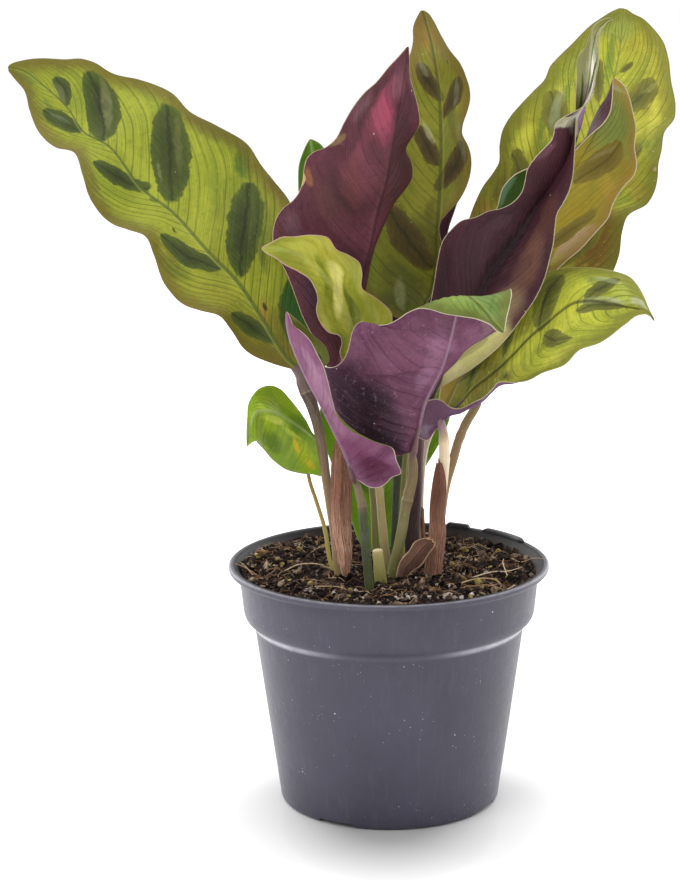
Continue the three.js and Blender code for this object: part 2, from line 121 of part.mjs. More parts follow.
    ],
  },
  young_left_leaf: {
    bow: [1.5, 1.5],
    rails: [
      [-1, [[-24.7, 8, 134.2, 0], [-23.5, 1.9, 129.1, 0.151], [-24.9, -4.6, 125.2, 0.297], [-27.4, -5.1, 126, 0.347], [-32.3, -7.7, 127.1, 0.453], [-37.7, -12.5, 130, 0.6], [-42.5, -15, 134.3, 0.729], [-45.2, -16.5, 138.2, 0.823], [-47.8, -18.9, 142.1, 0.922], [-49.5, -19.6, 141.6, 0.959], [-51.1, -20, 140.2, 1]]],
      [0, [[-25.5, 8, 135, 0], [-30.4, 5.3, 139.7, 0.149], [-37.3, 2, 145.6, 0.345], [-44, -5.6, 150.2, 0.571], [-48.4, -8.9, 150.4, 0.681], [-50.5, -11.9, 146.4, 0.792], [-51.2, -20, 140.2, 1]]],
      [1, [[-25.8, 8, 136.2, 0], [-28.3, 7.7, 139.2, 0.063], [-30.4, 6.9, 143.7, 0.144], [-33.9, 6.1, 149.1, 0.246], [-36.7, 5.5, 152.8, 0.322], [-40.1, 2.8, 157, 0.419], [-44.1, -0.4, 158.8, 0.507], [-48.3, -3.5, 157.6, 0.591], [-51.1, -5, 153.7, 0.673], [-51.7, -10.1, 148.3, 0.792], [-51.4, -16.9, 144.5, 0.917], [-51.4, -20, 140.4, 1]]],
    ],
  },
  low_back_leaf: {
    bow: [2, 2],
    rails: [
      [-1, [[-5.8, 26, 88.4, 0], [-10.6, 26.7, 90.8, 0.053], [-13.6, 29.2, 97.4, 0.127], [-16.7, 33, 106.7, 0.231], [-20.9, 34.8, 118.2, 0.351], [-24, 38.3, 126.1, 0.441], [-26.3, 42.5, 136.3, 0.551], [-25.5, 43.4, 144.8, 0.635], [-21.6, 46.7, 152.8, 0.727], [-14.6, 52.5, 161.1, 0.848], [-6.8, 56.4, 167.1, 0.95], [-2.5, 57, 169.7, 1]]],
      [0, [[-4.8, 26, 88.2, 0], [-3.6, 30.4, 99.4, 0.137], [-1.6, 36.1, 113.9, 0.314], [-0.8, 43.2, 128.1, 0.494], [-0.7, 46.9, 143.2, 0.67], [-1, 53.5, 157.7, 0.85], [-1.4, 57, 170.5, 1]]],
      [1, [[-3.9, 26, 88.4, 0], [2.1, 27.6, 90.5, 0.061], [6.4, 31.9, 97.8, 0.15], [9.5, 34.6, 108.2, 0.255], [14.2, 38, 118.1, 0.362], [20.1, 40.5, 127.8, 0.471], [24, 42.9, 138, 0.575], [23.3, 44, 146.8, 0.659], [18.7, 48.1, 155.5, 0.759], [10.7, 53.7, 162.8, 0.873], [3.7, 56.5, 167.4, 0.955], [-0.2, 57, 170.1, 1]]],
    ],
  },
  hidden_left_leaf: {
    bow: [1, 1],
    rails: [
      [-1, [[-12, 18, 147.4, 0], [-18.3, 17.3, 159.1, 0.128], [-22.7, 16.1, 172.7, 0.265], [-25.5, 16.4, 185.9, 0.395], [-27.7, 17.6, 198.9, 0.522], [-29.4, 18, 210.2, 0.631], [-31.5, 19.1, 221.2, 0.74], [-32.8, 20.1, 228.6, 0.812], [-32.9, 20.7, 232.2, 0.847], [-32.1, 21.6, 239.5, 0.918], [-30.2, 21.9, 244.3, 0.967], [-28.5, 22, 247.3, 1]]],
      [0, [[-10.9, 18, 147.4, 0], [-14.2, 18, 160.8, 0.136], [-17, 18, 176.1, 0.289], [-19.6, 18.8, 191.2, 0.439], [-21.7, 20, 206.1, 0.587], [-23.8, 20.5, 221, 0.735], [-25.9, 21.5, 233.9, 0.865], [-28.3, 22, 247.5, 1]]],
      [1, [[-9.7, 18, 147.4, 0], [-10, 17.4, 159, 0.112], [-11, 16.1, 174.5, 0.261], [-12.4, 16.5, 189.6, 0.407], [-14.2, 17.8, 204.5, 0.551], [-15.9, 18.5, 219.4, 0.694], [-18.5, 20.3, 232.2, 0.821], [-22.1, 21.6, 242.4, 0.926], [-25, 21.9, 245.8, 0.968], [-28, 22, 247.3, 1]]],
    ],
  },
  hidden_centre_leaf: {
    bow: [-1, -1],
    rails: [
      [-1, [[6.5, 24, 146, 0], [3.1, 24.9, 157.4, 0.108], [0.9, 26.6, 170.6, 0.229], [-0.1, 27.5, 185.8, 0.367], [-0.1, 30, 200.6, 0.503], [1.1, 31.1, 213.7, 0.622], [4.2, 34.4, 226.5, 0.744], [9.5, 38.9, 237.3, 0.86], [15.6, 41.6, 245.2, 0.954], [19.8, 42, 248.2, 1]]],
      [0, [[7.3, 24, 146, 0], [8.8, 25.9, 159.1, 0.127], [10.8, 28.7, 172.1, 0.255], [12.3, 29.9, 185.3, 0.382], [13.9, 33.2, 200, 0.527], [15.5, 34.4, 213.2, 0.653], [17.4, 37.4, 226, 0.78], [19.4, 40.5, 237, 0.891], [20.5, 42, 248.3, 1]]],
      [1, [[8, 24, 146, 0], [12.2, 24.9, 157.4, 0.112], [16, 26.7, 170.5, 0.239], [19.1, 27.7, 185.6, 0.382], [21.4, 30.2, 199.7, 0.515], [23.3, 31.3, 212.4, 0.634], [26, 33.2, 220.1, 0.711], [28.1, 35.8, 226.9, 0.781], [28, 38.3, 233.4, 0.845], [25.8, 40.8, 240.7, 0.919], [21.3, 42, 248.1, 1]]],
    ],
  },
};

// ---------- petioles and the cut stem: [x, y, z, radius] from root to top ----------
const PETIOLES = {
  left_petiole: [[-17.5, -13, 70, 1.9], [-18, -13, 87.3, 1.9], [-18.7, -13, 95.4, 1.9], [-19.9, -11.5, 106.4, 1.85], [-21.4, -9.5, 115.5, 1.75], [-22.8, -8.2, 124.7, 1.7], [-24.2, -8, 136, 1.8], [-26.2, -7, 146.7, 1.95], [-27.9, -6.2, 152.6, 2.15], [-29.9, -5, 157.6, 2.6], [-31, -4, 160.4, 2.8], [-31.4, -3.1, 162, 2.2]],
  upright_purple_petiole: [[-4.6, 11.7, 70, 1.3], [-4.8, 12, 87.7, 1.3], [-5.1, 12.4, 96.2, 1.3], [-5.4, 12.8, 103.9, 1.25], [-5.8, 13, 112.9, 1.2], [-8.3, 10, 127.9, 1.2], [-13.3, 4, 147.7, 1.2], [-16.9, 1.4, 158.1, 1.1], [-17.8, 0.1, 161.7, 1]],
  small_pleated_petiole: [[0.2, -5.3, 70, 1.6], [-0.2, -6, 88, 1.6], [-0.8, -7, 93.6, 1.6], [-1.7, -8.1, 101.7, 1.6], [-2.7, -8.9, 113.3, 1.55], [-3.4, -9.4, 122.2, 1.5], [-5.9, -11, 140.4, 1.4], [-9.4, -12, 155.6, 1.3], [-11.2, -12, 163.8, 1.2], [-11.7, -12, 166.7, 1.1]],
  centre_back_petiole: [[1.8, 11.6, 70, 1.5], [2.1, 12, 87.6, 1.5], [2.5, 12.5, 100.1, 1.5], [2.9, 13.8, 111.4, 1.5], [3.3, 14.4, 120.2, 1.5], [5.3, 13.5, 138.6, 1.4], [7.6, 12, 158.1, 1.4], [8.9, 11.2, 171.5, 1.3], [9.5, 11, 178.6, 1.2]],
  right_back_petiole: [[17.8, 11.1, 70, 1.7], [18.4, 12, 86, 1.7], [19.2, 13.2, 97.9, 1.7], [20.3, 15.4, 107.1, 1.7], [22.1, 17.6, 117.5, 1.7], [24.6, 18, 125.9, 1.7], [26.8, 18.5, 133.5, 1.7], [30.2, 19, 141.2, 1.7], [32.6, 19.6, 144.9, 1.7], [33.4, 20, 146.1, 1.5]],
  twisted_purple_petiole: [[8.3, 25.1, 70, 3], [8.6, 25, 84.8, 3], [9, 24.9, 92.8, 3], [9.8, 24.1, 104.9, 2.6], [10.6, 19.8, 117.7, 2.5], [11.3, 12, 131.2, 2.2], [12.7, 4, 142.6, 2], [14.1, -0.5, 148.9, 1.9], [14.7, -1.6, 150.3, 1.5]],
  right_cupped_petiole: [[12.7, 36.7, 70, 1.2], [12.6, 36, 82.6, 1.2], [12.4, 35, 94.1, 1.2], [12.4, 33, 103.8, 1.2], [12.9, 28, 117.7, 1.2], [14, 21.5, 129, 1.2], [16.2, 15.5, 137.4, 1.2], [18.2, 13, 141.4, 1.2], [18.9, 12.2, 142.3, 1.1]],
  right_low_petiole: [[16.4, -9.6, 70, 1.9], [16.9, -9, 86.4, 1.9], [17.6, -8.1, 101.6, 2], [19.2, -5.2, 116.1, 2.1], [20.3, -4.5, 125.5, 2.1], [20.8, -5.5, 133.3, 2.1], [20.7, -7, 138.6, 2], [20.4, -8.2, 141.9, 1.5]],
  front_purple_petiole: [[0.6, -12, 70, 1.9], [1.2, -12, 86.9, 1.9], [2, -12, 93.1, 1.9], [3.5, -12.1, 99.6, 1.9], [5, -11.5, 106.3, 1.9], [6.1, -10.6, 113, 1.9], [7.3, -10, 118.5, 2.2], [8.8, -10.7, 125.1, 1.9], [9.1, -12, 130, 1.8], [9, -13.2, 133.3, 1.6], [8.9, -13.7, 134.6, 1.2]],
  front_folded_petiole: [[-6.5, -29, 70, 1.7], [-6.8, -29, 87.6, 1.7], [-7.2, -29, 92.2, 1.7], [-8.2, -29.2, 103.5, 1.7], [-8.9, -28.1, 112.6, 1.7], [-9.5, -26.5, 119.7, 1.75], [-10.4, -25.3, 123.1, 1.45], [-11.3, -24.4, 126.3, 1.3], [-11.8, -24.3, 127.5, 1.1]],
  young_left_petiole: [[-19.3, -5.7, 70, 0.9], [-20.4, -5, 87.8, 0.9], [-21.9, -4, 92.9, 0.8], [-23.7, -0.5, 103.6, 0.8], [-27.1, 3.8, 114.1, 0.75], [-29.7, 6.9, 121.8, 0.7], [-30.3, 9.5, 126.6, 0.7], [-29, 11, 130.9, 0.7], [-27.2, 10.4, 132.9, 0.7], [-26.2, 9.6, 133.8, 0.6]],
  low_back_petiole: [[-4.6, 26, 70, 1.5], [-4.7, 26, 81.8, 1.5], [-4.8, 26, 84.6, 1.5], [-4.8, 26, 87.2, 1.3]],
  hidden_left_petiole: [[-17.1, 1.3, 70, 1.2], [-16.8, 3, 86.3, 1.2], [-16.3, 6.3, 105.7, 1.2], [-15.5, 10.8, 120, 1.2], [-13.6, 13.5, 134.9, 1.2], [-11.6, 17, 143.7, 1.1], [-11, 18, 146.2, 1]],
  hidden_centre_petiole: [[5.3, 13.2, 70, 1.3], [5.1, 17, 87, 1.3], [4.8, 22.3, 101.4, 1.3], [5.7, 27.3, 115.9, 1.3], [6.9, 27, 131.7, 1.3], [7.3, 25.5, 141.4, 1.2], [7.3, 24.6, 143.9, 1.1]],
  cut_stem_stub: [[-2.3, -20, 70, 2.4], [-2.8, -20, 87.3, 2.4], [-3.5, -20, 95.3, 2.1], [-4, -19.6, 101.1, 1.85]],
};

// ---------- dry sheaths, lofted in the same way as the blades ----------
const SHEATHS = {
  dry_sheath_left: {
    bow: [0, 0],
    rails: [
      [-1, [[-15.4, -18.5, 90.6, 0], [-16.2, -18.5, 90.6, 0.015], [-18.1, -18.5, 94.6, 0.096], [-19.6, -18.1, 100.2, 0.201], [-21.1, -16.8, 107.8, 0.345], [-21.6, -15.4, 113.9, 0.46], [-21.2, -13.6, 122.9, 0.627], [-20.8, -13.1, 131.6, 0.786], [-19.7, -13, 138.7, 0.916], [-18.5, -13, 143.1, 1]]],
      [0, [[-14.6, -20, 90.6, 0], [-15.3, -20.5, 91.7, 0.025], [-16.3, -21.2, 100.6, 0.192], [-17.4, -20.1, 108.7, 0.342], [-17.7, -18.3, 117.7, 0.511], [-17.3, -17.1, 126.8, 0.68], [-17.2, -16.9, 134.2, 0.817], [-17.7, -15, 139.4, 0.919], [-18.2, -14, 143.7, 1]]],
      [1, [[-14.1, -18.5, 90.6, 0], [-14.2, -18.5, 91.1, 0.011], [-13.4, -18.1, 100.2, 0.18], [-13.6, -16.5, 109.3, 0.353], [-13.4, -14.7, 116.9, 0.497], [-13.4, -13.4, 124.5, 0.641], [-14.8, -13, 132.4, 0.791], [-17.2, -13, 139.2, 0.925], [-17.9, -13, 143.1, 1]]],
    ],
  },
  dry_sheath_right: {
    bow: [0, 0],
    rails: [
      [-1, [[13.1, -12.6, 90, 0], [14.1, -12.4, 98.5, 0.196], [15, -11.2, 106.2, 0.377], [15.4, -9.4, 115.4, 0.593], [16.6, -8.1, 124.7, 0.81], [18.2, -8, 132.8, 1]]],
      [0, [[16, -15.5, 90, 0], [17.1, -15.2, 99.3, 0.21], [17.9, -14, 106.9, 0.385], [18.3, -12, 116, 0.595], [19.1, -10.6, 125.3, 0.805], [18.6, -9, 133.8, 1]]],
      [1, [[19.6, -12.6, 89.9, 0], [20.4, -12.5, 96.9, 0.159], [21.2, -11.5, 104.7, 0.34], [20.8, -10, 112.4, 0.519], [21.5, -8.4, 121.5, 0.731], [20.6, -8, 128.2, 0.886], [19, -8, 133, 1]]],
    ],
  },
  dry_sheath_small: {
    bow: [0, 0],
    rails: [
      [-1, [[12.6, 32.2, 89.4, 0], [12.4, 31.2, 95.1, 0.38], [12.3, 30, 104.6, 1]]],
      [0, [[13.3, 31.2, 89.4, 0], [13.2, 30, 95.4, 0.38], [12.9, 28.6, 105.3, 1]]],
      [1, [[14.3, 33, 89.5, 0], [14.1, 31.8, 95, 0.379], [13.7, 30.6, 104, 1]]],
    ],
  },
  broken_sheath_piece: {
    bow: [0, 0],
    rails: [
      [-1, [[2.8, -18, 90.3, 0], [3.6, -18.1, 94.4, 0.196], [5.3, -18.1, 97.8, 0.369], [7.5, -18, 100, 0.514], [9.8, -17.6, 103.5, 0.707], [12.9, -17.5, 104.7, 0.859], [16, -17.5, 104.9, 1]]],
      [0, [[4.5, -20, 90.7, 0], [6.7, -20.5, 95, 0.254], [9.3, -20.9, 98.2, 0.466], [11.5, -20.5, 101.1, 0.658], [14.1, -19.6, 103.3, 0.841], [16.7, -19.1, 104.9, 1]]],
      [1, [[6.7, -19, 91, 0], [9.3, -19, 93.1, 0.192], [11.7, -19, 94.7, 0.356], [14.4, -18.9, 98.6, 0.629], [17.2, -18.3, 103.5, 0.949], [17, -18.1, 104.4, 1]]],
    ],
  },
};

// ---------- colours, roughness ----------
const GREEN = 0x8fa02a, DEEP_GREEN = 0x3f6b22, FRESH_GREEN = 0x5f9a1f, PURPLE = 0x55283f;
const VIOLET = 0x8a5a82, OLIVE = 0x8d8353, CREAM = 0xd9c6a2, DRY_BROWN = 0x7a5140;
const POT_GREY = 0x5c5a66, PEAT = 0x33231b;
const FINISH = {
  left_leaf: GREEN, upright_purple_leaf: PURPLE, centre_back_leaf: DEEP_GREEN, right_back_leaf: GREEN,
  twisted_purple_leaf: PURPLE, right_cupped_leaf: GREEN, right_low_leaf: GREEN, front_purple_leaf: VIOLET,
  front_folded_leaf: VIOLET, small_pleated_leaf: GREEN, young_left_leaf: FRESH_GREEN,
  low_back_leaf: FRESH_GREEN, hidden_left_leaf: FRESH_GREEN, hidden_centre_leaf: PURPLE,
  twisted_purple_petiole: PURPLE, right_cupped_petiole: CREAM, right_low_petiole: CREAM,
  young_left_petiole: OLIVE, centre_back_petiole: DEEP_GREEN,
};

// ---------- curves ----------
function knots(points) {
  if (points[0].length === 4) return points.map((p) => p[3]);
  const k = [0];
  for (let i = 1; i < points.length; i++) {
    k.push(k[i - 1] + Math.hypot(points[i][0] - points[i - 1][0], points[i][1] - points[i - 1][1], points[i][2] - points[i - 1][2]));
  }
  return k.map((v) => v / k[k.length - 1]);
}

// tangents of a smooth curve through points at uneven knots
function tangents(values, k) {
  const n = values.length;
  return values.map((v, i) => {
    const a = values[Math.max(i - 1, 0)], b = values[Math.min(i + 1, n - 1)];
    if (i === 0) return b.clone().sub(v).divideScalar(k[1] - k[0]);
    if (i === n - 1) return v.clone().sub(a).divideScalar(k[n - 1] - k[n - 2]);
    const h0 = k[i] - k[i - 1], h1 = k[i + 1] - k[i];
    return v.clone().sub(a).multiplyScalar(h1 / h0).add(b.clone().sub(v).multiplyScalar(h0 / h1)).divideScalar(h0 + h1);
  });
}

function hermite(values, k, m, t) {
  let i = 0;
  while (i < k.length - 2 && t > k[i + 1]) i++;
  const h = k[i + 1] - k[i], u = (t - k[i]) / h;
  const u2 = u * u, u3 = u2 * u;
  return values[i].clone().multiplyScalar(2 * u3 - 3 * u2 + 1)
    .add(m[i].clone().multiplyScalar((u3 - 2 * u2 + u) * h))
    .add(values[i + 1].clone().multiplyScalar(-2 * u3 + 3 * u2))
    .add(m[i + 1].clone().multiplyScalar((u3 - u2) * h));
}

function curve(points) {
  const k = knots(points);
  const v = points.map((p) => new THREE.Vector3(p[0], p[1], p[2]));
  const m = tangents(v, k);
  return (t) => hermite(v, k, m, t);
}

// ---------- blade surface: rows from base to tip, columns from edge to edge ----------
function bladeGrid(blade, steps, across, t0, t1) {
  const rails = blade.rails.map(([s, pts]) => ({ s, at: curve(pts) }));
  const mid = rails.find((r) => r.s === 0).at;
  const rows = [];
  const halves = [-1, 1].map((side) => {
    const list = rails.filter((r) => r.s * side > 0).sort((a, b) => Math.abs(a.s) - Math.abs(b.s));
    let widest = 0;
    const edge = list[list.length - 1].at;
    for (let i = 0; i <= 60; i++) widest = Math.max(widest, edge(i / 60).distanceTo(mid(i / 60)));
    return { side, list, widest, bow: blade.bow[side < 0 ? 0 : 1] };
  });
  for (let i = 0; i <= steps; i++) {
    const t = t0 + ((t1 - t0) * i) / steps;
    const m = mid(t);
    const along = mid(Math.min(t + 0.01, 1)).sub(mid(Math.max(t - 0.01, 0)));
    const row = new Array(2 * across + 1);
    row[across] = m;
    for (const half of halves) {
      for (let j = 1; j <= across; j++) {
        const u = j / across;
        let p;
        if (half.list.length === 1) {
          const d = half.list[0].at(t).sub(m);
          const n = along.clone().cross(d).multiplyScalar(half.side).normalize();
          p = m.clone().addScaledVector(d, u).addScaledVector(n, 4 * u * (1 - u) * half.bow * (d.length() / half.widest));
        } else {
          const k = [0, ...half.list.map((r) => Math.abs(r.s))];
          const v = [m.clone(), ...half.list.map((r) => r.at(t))];
          p = hermite(v, k, tangents(v, k), u);
        }
        row[across + half.side * j] = p;
      }
    }
    rows.push(row);
  }
  return rows;
}

// a closed leaf-thin solid around a surface grid
function shellGeometry(rows, thickness) {
  const nr = rows.length, nc = rows[0].length;
  const at = (i, j) => rows[Math.min(Math.max(i, 0), nr - 1)][Math.min(Math.max(j, 0), nc - 1)];
  const positions = [];
  const normals = rows.map((row, i) => row.map((_, j) => {
    const du = at(i + 1, j).clone().sub(at(i - 1, j));
    const dv = at(i, j + 1).clone().sub(at(i, j - 1));
    return du.cross(dv).normalize();
  }));
  for (const side of [0.5, -0.5]) {
    rows.forEach((row, i) => row.forEach((p, j) => {
      const q = p.clone().addScaledVector(normals[i][j], side * thickness);
      positions.push(q.x, q.y, q.z);
    }));
  }
  const index = [];
  const top = (i, j) => i * nc + j, low = (i, j) => nr * nc + i * nc + j;
  const quad = (a, b, c, d) => index.push(a, b, c, a, c, d);
  for (let i = 0; i < nr - 1; i++) {
    for (let j = 0; j < nc - 1; j++) {
      quad(top(i, j), top(i + 1, j), top(i + 1, j + 1), top(i, j + 1));
      quad(low(i, j), low(i, j + 1), low(i + 1, j + 1), low(i + 1, j));
    }
  }
  for (let i = 0; i < nr - 1; i++) {
    quad(top(i, 0), low(i, 0), low(i + 1, 0), top(i + 1, 0));
    quad(top(i + 1, nc - 1), low(i + 1, nc - 1), low(i, nc - 1), top(i, nc - 1));
  }
  for (let j = 0; j < nc - 1; j++) {
    quad(top(0, j + 1), low(0, j + 1), low(0, j), top(0, j));
    quad(top(nr - 1, j), low(nr - 1, j), low(nr - 1, j + 1), top(nr - 1, j + 1));
  }
  const g = new THREE.BufferGeometry();
  g.setAttribute('position', new THREE.Float32BufferAttribute(positions, 3));
  g.setIndex(index);
  return g;
}

// ---------- a closed tube of changing radius along a smooth path ----------
function stemGeometry(points, grow = 0, stretch = 0, stopAbove = Infinity) {
  const k = knots(points.map((p) => p.slice(0, 3)));
  const v = points.map((p) => new THREE.Vector3(p[0], p[1], p[2]));
  const m = tangents(v, k);
  const stations = [];
  for (let i = 0; i < k.length - 1; i++) {
    stations.push(k[i]);
    if ((k[i + 1] - k[i]) > 0.16) stations.push((k[i] + k[i + 1]) / 2);
  }
  stations.push(1);
  const radius = (t) => {
    let i = 0;
    while (i < k.length - 2 && t > k[i + 1]) i++;
    const u = (t - k[i]) / (k[i + 1] - k[i]);
    return points[i][3] * (1 - u) + points[i + 1][3] * u;
  };
  const positions = [];
  let rings = 0;
  let side = new THREE.Vector3(1, 0, 0);
  for (const t of stations) {
    const c = hermite(v, k, m, t);
    const dir = hermite(v, k, m, Math.min(t + 0.01, 1)).sub(hermite(v, k, m, Math.max(t - 0.01, 0))).normalize();
    side = side.clone().addScaledVector(dir, -side.dot(dir)).normalize();
    const up = dir.clone().cross(side);
    if (t === 0) c.addScaledVector(dir, -stretch);
    const r = radius(t) + grow;
    for (let a = 0; a < STEM_SIDES; a++) {
      const w = (a / STEM_SIDES) * Math.PI * 2;
      const q = c.clone().addScaledVector(side, r * Math.cos(w)).addScaledVector(up, r * Math.sin(w));
      positions.push(q.x, q.y, q.z);
    }
    rings++;
    if (c.z > stopAbove) break;
  }
  const index = [];
  for (let i = 0; i < rings - 1; i++) {
    for (let a = 0; a < STEM_SIDES; a++) {
      const b = (a + 1) % STEM_SIDES;
      const p = i * STEM_SIDES;
      index.push(p + a, p + b, p + STEM_SIDES + b, p + a, p + STEM_SIDES + b, p + STEM_SIDES + a);
    }
  }
  for (let a = 1; a < STEM_SIDES - 1; a++) {
    index.push(0, a + 1, a);
    const p = (rings - 1) * STEM_SIDES;
    index.push(p, p + a, p + a + 1);
  }
  const g = new THREE.BufferGeometry();
  g.setAttribute('position', new THREE.Float32BufferAttribute(positions, 3));
  g.setIndex(index);
  return g;
}

// ---------- solids for cuts and joins ----------
const wasm = await Module();
wasm.setup();
function solid(geometry) {
  let g = geometry.clone();
  g.deleteAttribute('normal');
  g.deleteAttribute('uv');
  g = mergeVertices(g, 1e-4);
  const tri = [];
  const idx = g.index.array;
  for (let i = 0; i < idx.length; i += 3) {
    if (idx[i] !== idx[i + 1] && idx[i + 1] !== idx[i + 2] && idx[i] !== idx[i + 2]) tri.push(idx[i], idx[i + 1], idx[i + 2]);
  }
  return new wasm.Manifold(new wasm.Mesh({
    numProp: 3, vertProperties: new Float32Array(g.attributes.position.array), triVerts: new Uint32Array(tri),
  }));
}
function geometryOf(manifold) {
  const mesh = manifold.getMesh();
  const g = new THREE.BufferGeometry();
  g.setAttribute('position', new THREE.BufferAttribute(new Float32Array(mesh.vertProperties), 3));
  g.setIndex(Array.from(mesh.triVerts));
  return g;
}

const soilHeight = (x, y) => SOIL_CENTRE_HEIGHT - SOIL_FALL_RIGHT * x - SOIL_FALL_BACK * y
  - SOIL_HOLLOW * Math.exp(-((x + 4) ** 2 + (y - 28) ** 2) / 162)
  + 0.5 * Math.sin(0.23 * x + 1.1) * Math.cos(0.19 * y) + 0.35 * Math.sin(0.41 * y + 0.31 * x);

// ---------- the pot: a lathe wall, notches in the foot, drain holes, two label clips ----------
function potGeometry() {
  const R = POT_RIM_RADIUS, H = POT_HEIGHT, w = POT_WALL;
  const profile = [
    [0, 0], [POT_PAD_RADIUS, 0], [POT_PAD_RADIUS + 1, POT_FLOOR_LOW], [33, POT_FLOOR_LOW], [34, 0], [POT_FOOT_RADIUS - 0.9, 0], [POT_FOOT_RADIUS, 0.9],
    [POT_BODY_TOP_RADIUS, 66.5], [POT_BODY_TOP_RADIUS + 0.7, 68.8], [POT_COLLAR_LOW_RADIUS - 0.7, 71.3],
    [POT_COLLAR_LOW_RADIUS, 73.4], [POT_COLLAR_TOP_RADIUS - 0.2, 87.3], [POT_COLLAR_TOP_RADIUS + 0.4, 88.5],
    [R - 0.5, 89.0], [R, 89.7], [R, H - 0.5], [R - 0.5, H], [R - LIP_WIDTH, H], [R - LIP_WIDTH - 0.6, H - 0.35],
    [R - LIP_WIDTH - 2.2, H - 2.6],
    [POT_COLLAR_TOP_RADIUS - w - 0.4, 87.0], [POT_COLLAR_LOW_RADIUS - w, 74.0], [POT_COLLAR_LOW_RADIUS - w - 0.8, 72.4],
    [POT_BODY_TOP_RADIUS - w + 0.4, 69.6], [POT_BODY_TOP_RADIUS - w, 67.2], [POT_FOOT_RADIUS - w + 0.5, POT_FLOOR_TOP], [0, POT_FLOOR_TOP],
  ].map(([r, z]) => new THREE.Vector2(r, z));
  const lathe = new THREE.LatheGeometry(profile, POT_SIDES);
  lathe.rotateX(Math.PI / 2);
  let pot = solid(lathe);
  if (pot.volume() < 0) throw new Error('inside out');
  // four drain notches through the foot ring
  for (const deg of [-29, 61, 151, 241]) {
    const a = THREE.MathUtils.degToRad(deg - 90);
    const box = new THREE.BoxGeometry(14, 15, 3.2);
    box.rotateZ(a);
    box.translate(Math.cos(a) * 39, Math.sin(a) * 39, 0);
    pot = pot.subtract(solid(box));
  }
  // drain holes through the raised part of the floor
  for (let i = 0; i < 6; i++) {
    const hole = new THREE.CylinderGeometry(3.8, 3.8, 8, 16);
    hole.rotateX(Math.PI / 2);
    const a = THREE.MathUtils.degToRad(i * 60);
    hole.translate(Math.cos(a) * 22, Math.sin(a) * 22, 3.2);
    pot = pot.subtract(solid(hole));
  }
  // two low label clips moulded on the lip, at the back right
  for (const [from, to] of [[57, 66.5], [27.5, 50]]) {
    const shape = new THREE.Shape();
    const a0 = THREE.MathUtils.degToRad(from), a1 = THREE.MathUtils.degToRad(to);
    shape.absarc(0, 0, R - 0.9, a0, a1, false);
    shape.absarc(0, 0, R - 3.1, a1, a0, true);
    const clip = new THREE.ExtrudeGeometry(shape, { depth: 2.2, bevelEnabled: false, curveSegments: 6 });
    clip.translate(0, 0, H - 0.8);
    pot = pot.add(solid(clip));
  }
  return geometryOf(pot);
}

// ---------- the soil: it fills the pot, with a hollow around every sunk stem ----------
function soilGeometry() {
  const rings = [0, 9, 18, 27, 36, 45, 54];
  const sides = 44;
  const wallRadius = (z) => {
    const inner = [[POT_FLOOR_TOP, POT_FOOT_RADIUS - POT_WALL + 0.5], [67.2, POT_BODY_TOP_RADIUS - POT_WALL],
      [69.6, POT_BODY_TOP_RADIUS - POT_WALL + 0.4], [72.4, POT_COLLAR_LOW_RADIUS - POT_WALL - 0.8],
      [74, POT_COLLAR_LOW_RADIUS - POT_WALL], [87, POT_COLLAR_TOP_RADIUS - POT_WALL - 0.4], [92, POT_COLLAR_TOP_RADIUS - POT_WALL - 0.4]];
    let i = 0;
    while (i < inner.length - 2 && z > inner[i + 1][0]) i++;
    const u = (z - inner[i][0]) / (inner[i + 1][0] - inner[i][0]);
    return inner[i][1] + (inner[i + 1][1] - inner[i][1]) * u;
  };
  const positions = [0, 0, soilHeight(0, 0)];
  for (const r of rings.slice(1)) {
    for (let a = 0; a < sides; a++) {
      const w = (a / sides) * Math.PI * 2;
      const x = r * Math.cos(w), y = r * Math.sin(w);
      positions.push(x, y, soilHeight(x, y));
    }
  }
  const levels = [73.4, 69.4, 66, POT_FLOOR_TOP + CLEAR];
  for (const z of levels) {
    const r = wallRadius(z) - 2 * CLEAR;
    for (let a = 0; a < sides; a++) {
      const w = (a / sides) * Math.PI * 2;
      positions.push(r * Math.cos(w), r * Math.sin(w), z);
    }
  }
  positions.push(0, 0, POT_FLOOR_TOP + CLEAR);
  const total = positions.length / 3;
  const index = [];
  for (let a = 0; a < sides; a++) index.push(0, 1 + a, 1 + ((a + 1) % sides));
  const bands = rings.length - 2 + levels.length;
  for (let b = 0; b < bands; b++) {
    for (let a = 0; a < sides; a++) {
      const n = (a + 1) % sides, p = 1 + b * sides, q = p + sides;
      index.push(p + a, q + a, q + n, p + a, q + n, p + n);
    }
  }
  const last = 1 + bands * sides;
  for (let a = 0; a < sides; a++) index.push(total - 1, last + ((a + 1) % sides), last + a);
  const g = new THREE.BufferGeometry();
  g.setAttribute('position', new THREE.Float32BufferAttribute(positions, 3));
  g.setIndex(index);
  let soil = solid(g);
  for (const points of Object.values(PETIOLES)) {
    soil = soil.subtract(solid(stemGeometry(points, CLEAR, CLEAR, 96)));
  }
  return geometryOf(soil);
}

